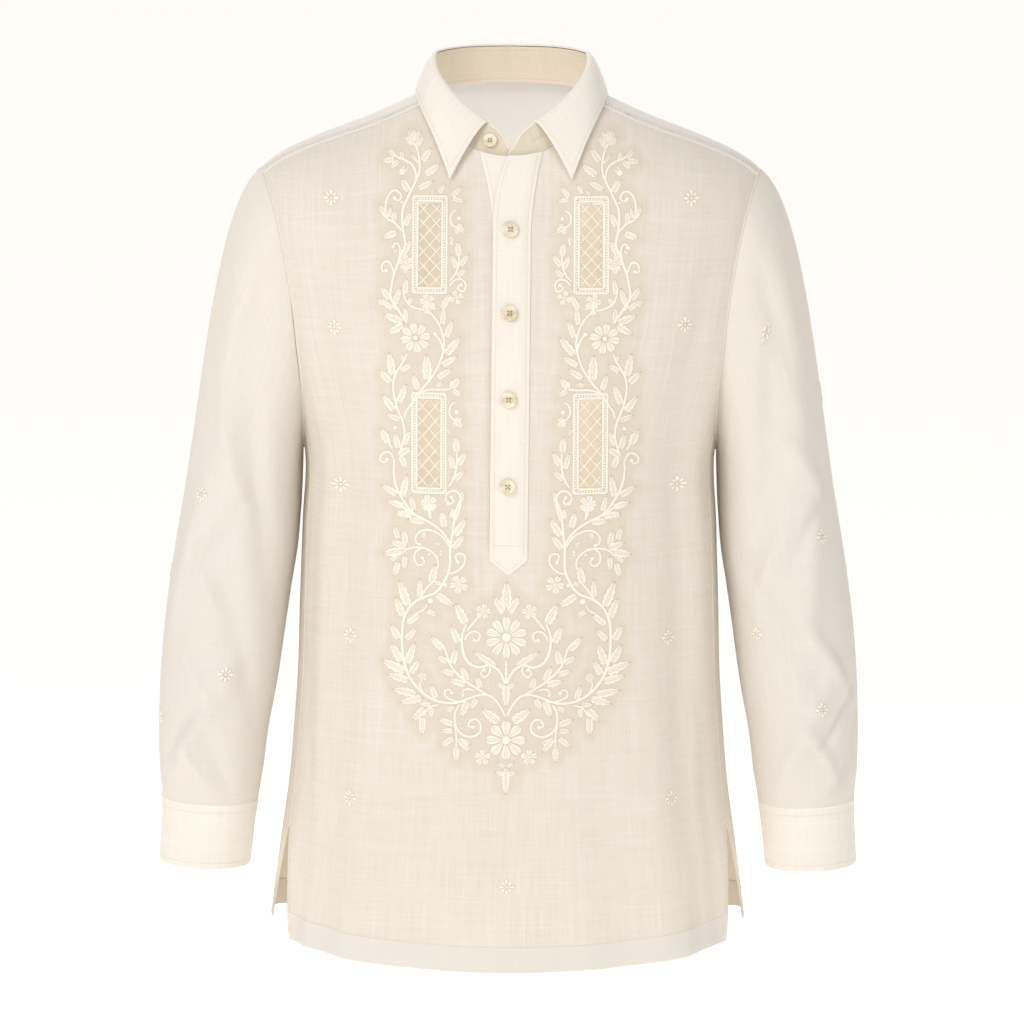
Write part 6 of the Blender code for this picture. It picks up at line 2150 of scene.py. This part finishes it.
def make_cuff(side):
    last = CUFF_OPENING + 2 * math.pi + CUFF_OVERLAP
    length = (last - CUFF_OPENING) * 0.043
    depth = SLEEVE_END - CUFF_FOOT
    across = edged(130, length, THICK)
    down = edged(16, depth, THICK)
    turn, height = np.meshgrid(
        CUFF_OPENING + (last - CUFF_OPENING) * across, SLEEVE_END + 0.002 - (depth + 0.002) * down
    )
    middle, out = cuff(side, turn.ravel(), height.ravel())
    thickness = rounded(len(down), len(across), (down * depth, across * length), THICK)
    cloth = column(turn.ravel() * 0.043, height.ravel(), FAR)
    made = shell(
        "cuff_cloth_" + side, middle, out, lattice_faces(
            len(down), len(across)
        ), thickness, crisp, cloth
    )
    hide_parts("cuff_" + side)
    lines = []
    inset = CUFF_STITCH
    around = np.linspace(CUFF_OPENING + inset / 0.043, last - inset / 0.043, 240)
    for height in (SLEEVE_END - inset, CUFF_FOOT + inset):
        place, out = cuff(side, around, np.full(240, height), THICK / 2)
        lines.append(np.hstack([place, out]))
    upright = np.linspace(SLEEVE_END - inset, CUFF_FOOT + inset, 40)
    place, out = cuff(side, np.full(40, last - inset / 0.043), upright, THICK / 2)
    lines.append(np.hstack([place, out]))
    stitches("stitches_cuff_" + side, lines, seam_thread_and_shadow)


# Placket strips


def strip_places(left, right, foot, down, across):
    """Places over a strip as seen from the front, by shares across from its right edge and down."""
    tops = []
    for share in across:
        height = neck_height(0.0)
        for _ in range(12):
            height = neck_height(right(height) + share * (left(height) - right(height)))
        tops.append(height)
    share, place = np.meshgrid(across, down)
    height = np.array(tops)[None, :] + (foot(share) - np.array(tops)[None, :]) * place
    flat_left = np.array([left(h) for h in height.ravel()]).reshape(height.shape)
    flat_right = np.array([right(h) for h in height.ravel()]).reshape(height.shape)
    return flat_right + share * (flat_left - flat_right), height, share


def smooth_share(value):
    value = np.clip(value, 0, 1)
    return value * value * (3 - 2 * value)


def over_lift_at(share, height):
    settle = smooth_share((height - POINT_SHOULDER) / 0.020)
    return SEWN_LIFT + (OVER_LIFT - SEWN_LIFT) * smooth_share((1 - share) / 0.28) * settle


def under_lift_at(share, height):
    return SEWN_LIFT + (UNDER_LIFT - SEWN_LIFT) * smooth_share(share / 0.3)


def make_strip(name, node, left, right, foot, lift_at, length):
    down = edged(int(length / 0.004), length, DOUBLE)
    across = edged(14, 0.034, DOUBLE)
    x, height, share = strip_places(left, right, foot, down, across)
    turn, drop = seen(x.ravel(), height.ravel())
    middle, out = body(turn, drop)
    middle = middle + out * lift_at(share, height).ravel()[:, None]
    thickness = rounded(
        len(down), len(across), (down * length, across * 0.034), DOUBLE, (False, True, True, True)
    )
    cloth = column(x.ravel(), height.ravel(), FAR)
    made = shell(
        name, middle, out, lattice_faces(len(down), len(across)), thickness, crisp, cloth
    )
    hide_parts(node)


def strip_line(left, right, share_at, heights, lift_at):
    """A line of stitching down a strip, an inset from one of its edges."""
    places = []
    for height in heights:
        width = left(height) - right(height)
        share = share_at(width)
        places.append((right(height) + share * width, height, share))
    x, height, share = np.array(places).T
    middle, out = body(*seen(x, height))
    return np.hstack([middle + out * (lift_at(share, height) + DOUBLE / 2)[:, None], out])


def over_foot(share):
    return POINT_SHOULDER + (POINT_TIP - POINT_SHOULDER) * (1 - np.abs(2 * share - 1))


def make_placket():
    make_strip(
        "placket_under_cloth",
        "placket_under",
        under_left,
        under_right,
        lambda s: UNDER_FOOT + 0 * s,
        under_lift_at,
        0.355,
    )
    make_strip("placket_over_cloth", "placket_over", over_left, over_right, over_foot, over_lift_at, 0.378)
    inset = PLACKET_STITCH
    top = top_of(over_left) - 0.004
    heights = np.linspace(top, POINT_SHOULDER + 0.001, 200)
    lines = [
        strip_line(over_left, over_right, lambda width: 1 - inset / width, heights, over_lift_at),
        strip_line(
            over_left,
            over_right,
            lambda width: inset / width,
            np.linspace(top_of(over_right) - 0.004, POINT_SHOULDER + 0.001, 200),
            over_lift_at,
        ),
    ]
    cross = []
    for share in np.linspace(inset / 0.034, 1 - inset / 0.034, 24):
        cross.append((over_right(CROSS_STITCH) + share * 2 * PLACKET_HALF, CROSS_STITCH, share))
    point = []
    for share in np.linspace(inset / 0.034, 1 - inset / 0.034, 41):
        height = float(over_foot(np.array(share))) + inset * 1.1
        point.append((over_right(POINT_SHOULDER) + share * 2 * PLACKET_HALF, height, share))
    for places in (cross, point):
        x, height, share = np.array(places).T
        middle, out = body(*seen(x, height))
        lines.append(np.hstack([middle + out * (over_lift_at(share, height) + DOUBLE / 2)[:, None], out]))
    under = np.linspace(top_of(under_right) - 0.004, -0.13, 40)
    lines.append(strip_line(under_left, under_right, lambda width: inset / width, under, under_lift_at))
    stitches("stitches_placket", lines, seam_thread_and_shadow)


# Collar


def make_collar_stand():
    """The band round the neck, from the right end, which lies behind, to the left end."""
    right = np.linspace(STAND_END_PAST, -math.pi, 90)
    left = np.linspace(math.pi, -STAND_END_PAST, 90)[1:]
    columns = [(angle, -1) for angle in right] + [(angle, 1) for angle in left]
    shares = edged(8, STAND_HEIGHT, THICK)
    low = np.array([stand_point(angle, 0.0, side) for angle, side in columns])
    high = np.array([stand_point(angle, 1.0, side) for angle, side in columns])
    middle = low[None] + (high - low)[None] * shares[:, None, None]
    out = grid_normals(middle)
    along = np.concatenate([[0], np.cumsum(np.linalg.norm(np.diff(low, axis=0), axis=1))])
    thickness = rounded(len(shares), len(columns), (shares * STAND_HEIGHT, along), THICK)
    u, v = np.meshgrid(along, shares * STAND_HEIGHT)
    faces = lattice_faces(len(shares), len(columns))
    cloth = column(u.ravel(), v.ravel(), FAR)
    # the stand's colour carries painted shade from the fall above it
    made = shell(
        "stand_cloth_painted_shade", middle.reshape(-1, 3), out, faces, thickness, stand_cloth_painted_shade, cloth
    )
    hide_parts("collar_stand")
    lines = []
    out_grid = out.reshape(middle.shape)
    for share in (0.10, 0.90):
        place = low + (high - low) * share
        row = out_grid[int(np.searchsorted(shares, share))]
        lines.append(np.hstack([place + row * THICK / 2, row])[3:-3])
        lines.append(np.hstack([place - row * THICK / 2, -row])[3:-3])
    stitches("stitches_stand", lines, seam_thread_and_shadow)
    left_rim = np.hstack(
        [np.vstack([high[-STAND_RIM:], low[-1:]]), np.vstack([out_grid[-1][-STAND_RIM:], out_grid[0][-1:]])]
    )
    right_rim = np.hstack([high[:STAND_RIM], out_grid[-1][:STAND_RIM]])
    ridge("stand_rims", [left_rim, right_rim], 0.0018, 0.0018, crisp, "crisp_cloth", spacing=0.0015)


def leaf_controls(angle):
    top = np.array(table_point(STAND_TOP, angle, "height"))
    across, fore, lift = table_point(LEAF_EDGE, angle, "lift")
    edge, _ = body(*from_above(across, fore), lift)
    away = edge - top
    away[2] = 0
    away = away / np.linalg.norm(away)
    start = top + (0, 0, LEAF_REST)
    rise = start + away * ROLL_OUT + np.array([0, 0, ROLL_UP])
    bow = edge + (start - edge) * LEAF_BEND + away * LEAF_BOW + np.array([0, 0, LEAF_BOW])
    return start, rise, bow, edge


def bezier(controls, share):
    start, rise, bow, edge = (controls[:, i][None] for i in range(4))
    s = np.asarray(share)[:, None, None]
    return (1 - s) ** 3 * start + 3 * s * (1 - s) ** 2 * rise + 3 * s * s * (1 - s) * bow + s**3 * edge


def make_collar_fall():
    first = math.pi * LEAF_NECK_STEP / NECK_STEPS
    steps = edged(150, 0.52, THICK)
    angles = -first - steps * (2 * math.pi - 2 * first)
    angles = np.where(angles < -math.pi, angles + 2 * math.pi, angles)
    controls = np.array([leaf_controls(angle) for angle in angles])
    shares = edged(34, 0.055, THICK)
    middle = bezier(controls, shares)
    out = grid_normals(middle)
    if (out.reshape(middle.shape)[..., :2] * middle[..., :2]).sum() < 0:
        out = -out
    down = np.concatenate([[0], np.cumsum(np.linalg.norm(np.diff(middle, axis=0), axis=2).mean(axis=1))])
    along = np.concatenate([[0], np.cumsum(np.linalg.norm(np.diff(middle[0], axis=0), axis=1))])
    thickness = rounded(len(shares), len(angles), (down, along), THICK)
    u, v = np.meshgrid(along, down)
    faces = lattice_faces(len(shares), len(angles))
    cloth = column(u.ravel(), v.ravel(), FAR)
    made = shell("fall_cloth", middle.reshape(-1, 3), out, faces, thickness, crisp, cloth)
    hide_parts("collar_fall")

    out = out.reshape(middle.shape)
    lengths = np.linalg.norm(np.diff(middle, axis=0), axis=2).sum(axis=0)
    edge_line = []
    for i in range(len(angles)):
        share = 1 - COLLAR_STITCH / lengths[i]
        row = int(np.searchsorted(shares, share))
        edge_line.append(
            np.hstack([bezier(controls[i : i + 1], [share])[0, 0] + out[row, i] * THICK / 2, out[row, i]])
        )
    lines = []
    reach_right = np.linalg.norm(middle[-1] - middle[-1, :1], axis=1)
    reach_left = np.linalg.norm(middle[-1] - middle[-1, -1:], axis=1)
    inner = (reach_right > COLLAR_STITCH) & (reach_left > COLLAR_STITCH)
    lines.append(np.array(edge_line)[inner])
    for end, step in ((0, 1), (len(angles) - 1, -1)):
        front = []
        for row in range(8, len(shares) - 6):
            walked = np.cumsum(
                np.linalg.norm(
                    np.diff(middle[row, end :: step] if step > 0 else middle[row, end::-1], axis=0), axis=1
                )
            )
            i = end + step * (1 + int(np.searchsorted(walked, COLLAR_STITCH)))
            front.append(np.hstack([middle[row, i] + out[row, i] * THICK / 2, out[row, i]]))
        lines.append(np.array(front))
    stitches("stitches_fall", lines, seam_thread_and_shadow)


# Buttons


def turned_rim(share):
    """Height of a button's face at a share of its radius, in metres above its back."""
    table = np.array(
        [
            (0.0, 0.0019), (0.55, 0.0019), (0.68, 0.0022), (0.80, 0.0029), (0.90, 0.0030), (0.97, 0.0024),
            (1.0, 0.0015),
        ]
    )
    return np.interp(share, table[:, 0], table[:, 1])


def make_button(name, place, out, radius, node):
    """A shell button with a raised rim, four holes through it and crossed thread."""
    out = np.asarray(out, float)
    level = unit(np.cross(out, (0, 0, 1)))
    upright = np.cross(level, out)
    rim = [
        (radius * math.cos(a), radius * math.sin(a))
        for a in np.linspace(0, 2 * math.pi, 48, endpoint=False)
    ]
    spots = [(x * radius * 0.20, y * radius * 0.20) for x, y in ((1, 1), (-1, 1), (-1, -1), (1, -1))]
    holes = []
    for x, y in spots:
        ring_ = np.linspace(0, 2 * math.pi, 12, endpoint=False)
        holes.append([(x + radius * 0.115 * math.cos(a), y + radius * 0.115 * math.sin(a)) for a in ring_])
    flat, faces = fill(rim, holes, radius * 0.09)
    share = np.linalg.norm(flat, axis=1) / radius
    high = turned_rim(share)
    low = np.where(share > 0.85, 0.0010 * (share - 0.85) / 0.15, 0.0)
    middle = place + flat[:, :1] * level + flat[:, 1:] * upright + out * ((high + low) / 2)[:, None]
    normals = np.broadcast_to(out, middle.shape)
    made = shell(
        name, middle, normals, faces, high - low, pearl, column(flat[:, 0], flat[:, 1], FAR)
    )
    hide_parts(node)
    paths = []
    outs = []
    for start, end in ((0, 2), (1, 3)):
        bend = np.linspace(-1, 1, 9)
        middle_of = (np.array(spots[start]) + np.array(spots[end])) / 2
        half = (np.array(spots[end]) - np.array(spots[start])) / 2
        xy = middle_of + half * bend[:, None]
        rise = 0.0021 + 0.0004 * (1 - bend**4) - 0.0012 * (np.abs(bend) > 0.95)
        paths.append(place + xy[:, :1] * level + xy[:, 1:] * upright + out * rise[:, None])
        outs.append(np.broadcast_to(out, (9, 3)))
    corners, cross_faces = tube_mesh(paths, outs, 0.0006, 0.0006, 6, 0.0)
    make_mesh(name + "_thread", corners, cross_faces, thread)


def make_buttons():
    for number, height in enumerate(BUTTON_HEIGHTS, start=1):
        turn, drop = seen(placket_middle(height) + BUTTON_ASIDE, height)
        place, out = body(turn, drop, OVER_LIFT + DOUBLE / 2 + 0.0002)
        make_button(f"pearl_{number}", place, out, BUTTON_RADIUS, f"button_{number}")
    for side in SIDES:
        turn = np.array(CUFF_OPENING + 2 * math.pi + CUFF_OVERLAP - CUFF_BUTTON_BACK)
        height = np.array((SLEEVE_END + CUFF_FOOT) / 2)
        place, out = cuff(side, turn, height, STIFF / 2 + 0.0001)
        make_button("pearl_cuff_" + side, place, out, CUFF_BUTTON_RADIUS, "button_cuff_" + side)
    angle = math.radians(COLLAR_BUTTON_TURN)
    nudge = math.radians(1)
    place = stand_point(angle, 0.5, -1)
    along = stand_point(angle + nudge, 0.5, -1) - stand_point(angle - nudge, 0.5, -1)
    up = stand_point(angle, 0.6, -1) - stand_point(angle, 0.4, -1)
    out = unit(np.cross(up, along))
    if out[1] > 0:
        out = -out
    make_button(
        "pearl_collar", place + out * (STIFF / 2 + 0.0002), out, COLLAR_BUTTON_RADIUS, "button_collar"
    )


# Seams and the stitching of the body


def on_body(turns, drops, lift):
    place, out = body(np.asarray(turns), np.asarray(drops), lift)
    return np.hstack([place, out])


def make_seams():
    lines = []
    rolls = []
    side_rolls = []
    for sign in SIDES.values():
        steps = np.arange(0, ARM_STEPS + 0.01, 0.25)
        front = np.array([armhole(step) for step in steps])
        back = np.array([armhole(step, back=True) for step in steps])
        rolls.append(on_body(sign * front[:, 0], front[:, 1], SHEET / 2))
        rolls.append(on_body(sign * back[:, 0], back[:, 1], SHEET / 2 + 0.0002))
        side = np.array(side_seam())
        side_rolls.append(on_body(sign * side[:, 0], side[:, 1], SHEET / 2))
    ridge("armhole_rolls", rolls, 0.0040, 0.0020, sheer, "sheer_cloth")
    # Painted shadow: a thin dark line along each armhole seam, in the sewing thread's colour.
    ridge("armhole_shadow_lines", rolls, 0.0009, 0.0029, seam_thread_and_shadow, "sheer_cloth")
    ridge("side_rolls", side_rolls, 0.0030, 0.0010, sheer, "sheer_cloth")
    edges = []
    for sign in SIDES.values():
        for edge, height in (
            (SLIT_FRONT_EDGE, FRONT_HEM + FRONT_HEM_RISE), (SLIT_BACK_EDGE, BACK_HEM + BACK_HEM_RISE)
        ):
            turns, drops = np.array(slit_edge(edge, height)).T
            edges.append(on_body(sign * turns, drops, 0.0))
    ridge("slit_lines", edges, 0.0012, 0.0008, seam_thread_and_shadow, "sheer_cloth")
    for sign in SIDES.values():
        shoulder = np.array(front_shoulder_seam())
        for away in (-0.0015, -0.0065):
            lines.append(on_body(sign * shoulder[:, 0], shoulder[:, 1] + away, YOKE_LIFT + SHEET / 2))
        yoke = np.array(back_yoke_seam())
        for away in (0.0005, -0.0050):
            lines.append(on_body(sign * yoke[:, 0], yoke[:, 1] + away, YOKE_LIFT + SHEET / 2))
        side = np.array(side_seam())
        for away in (-0.0045, 0.0045):
            shift = away / SIDE_REACH
            lines.append(on_body(sign * (side[:, 0] + shift), side[:, 1], SHEET / 2))
    for hem_at, corner, middle in (
        (front_hem_at, SLIT_FRONT_EDGE, 0.0), (back_hem_at, math.pi - SLIT_BACK_EDGE, math.pi)
    ):
        turns = np.linspace(middle - corner, middle + corner, 400)
        lines.append(on_body(turns, hem_at(turns) - HEM_DEPTH, SHEET / 2))
    for sign in SIDES.values():
        for edge, height, inward in (
            (SLIT_FRONT_EDGE, FRONT_HEM + FRONT_HEM_RISE, -1), (SLIT_BACK_EDGE, BACK_HEM + BACK_HEM_RISE, 1)
        ):
            points = np.array(slit_edge(edge, height))
            lines.append(
                on_body(sign * (points[:, 0] + inward * SLIT_STITCH / SIDE_REACH), points[:, 1], SHEET / 2)
            )
    stitches("stitches_body", lines, seam_thread_and_shadow)
    welts = []
    for sign in SIDES.values():
        for seam in (front_shoulder_seam(), back_yoke_seam()):
            turns, drops = np.array(seam).T
            welts.append(on_body(sign * turns, drops + SEAM_LAP / 2, YOKE_LIFT / 2))
    ridge("yoke_welts", welts, 0.0046, 0.0034, yoke_sheer, "sheer_cloth")


# Camera, light and floor


def make_camera():
    data = bpy.data.cameras.new("camera")
    data.sensor_width = 36
    data.lens = 36 * FOCAL_PIXELS / 1024
    data.clip_end = 60
    camera = bpy.data.objects.new("camera", data)
    bpy.context.collection.objects.link(camera)
    lean = math.radians(CAMERA_ELEVATION)
    away = Vector((0, -math.cos(lean), math.sin(lean)))
    camera.location = Vector(CAMERA_AIM) + away * CAMERA_DISTANCE
    facing_object = (-away).to_track_quat("-Z", "Y")
    camera.rotation_mode = "QUATERNION"
    camera.rotation_quaternion = facing_object @ Quaternion((0, 0, 1), math.radians(CAMERA_ROLL))
    bpy.context.scene.camera = camera


def area_light(name, place, target, size, energy, colour=(1, 1, 1)):
    data = bpy.data.lights.new(name, "AREA")
    data.shape = "RECTANGLE"
    data.size, data.size_y = size
    data.energy = energy
    data.color = colour
    light = bpy.data.objects.new(name, data)
    bpy.context.collection.objects.link(light)
    light.location = place
    light.rotation_mode = "QUATERNION"
    light.rotation_quaternion = (Vector(target) - Vector(place)).to_track_quat("-Z", "Y")


def make_stage():
    mesh = bpy.data.meshes.new("floor")
    corners = [(x * FLOOR_REACH, y * FLOOR_REACH, FLOOR) for x, y in ((-1, -1), (1, -1), (1, 1), (-1, 1))]
    mesh.from_pydata(corners, [], [(0, 1, 2, 3)])
    floor = bpy.data.objects.new("floor", mesh)
    bpy.context.collection.objects.link(floor)
    paper = Nodes("paper")
    paper.shader.inputs["Base Color"].default_value = (*linear(253, 251, 248), 1)
    paper.shader.inputs["Roughness"].default_value = 0.9
    paper.shader.inputs["Emission Color"].default_value = (*linear(254, 252, 249), 1)
    paper.shader.inputs["Emission Strength"].default_value = FLOOR_GLOW
    mesh.materials.append(paper.material)
    scene = bpy.context.scene
    world = bpy.data.worlds.new("studio")
    world.use_nodes = True
    background = world.node_tree.nodes["Background"]
    background.inputs["Color"].default_value = (1.0, 0.985, 0.965, 1)
    background.inputs["Strength"].default_value = WORLD_STRENGTH
    scene.world = world
    scene.view_settings.view_transform = "Standard"
    for light in LIGHTS:
        area_light(*light)


vines = embroider_vines()
vines.drawn("embroidery_vines", on_front)
centre_flowers = embroider_centre()
centre_flowers.drawn("embroidery_centre", on_front)
frames = embroider_frames()
frames.drawn("embroidery_frames", on_front)
wrap_lattice().drawn("embroidery_lattice", on_front)
embroider_stars()
front = make_front()
# painted shade on the front's cloth among the embroidery
paint_embroidery_shade(front, [vines, centre_flowers, frames])
make_back()
make_yoke()
hem_band("hem_band_front", front_hem_at, -SLIT_FRONT_EDGE + 0.004, SLIT_FRONT_EDGE - 0.004)
hem_band("hem_band_back", back_hem_at, SLIT_BACK_EDGE + 0.004, 2 * math.pi - SLIT_BACK_EDGE - 0.004)
for side in SIDES:
    make_sleeve(side)
    make_cuff(side)
    make_vent(side)
make_placket()
make_collar_stand()
make_collar_fall()
make_buttons()
make_buttonhole()
make_seams()
make_camera()
make_stage()
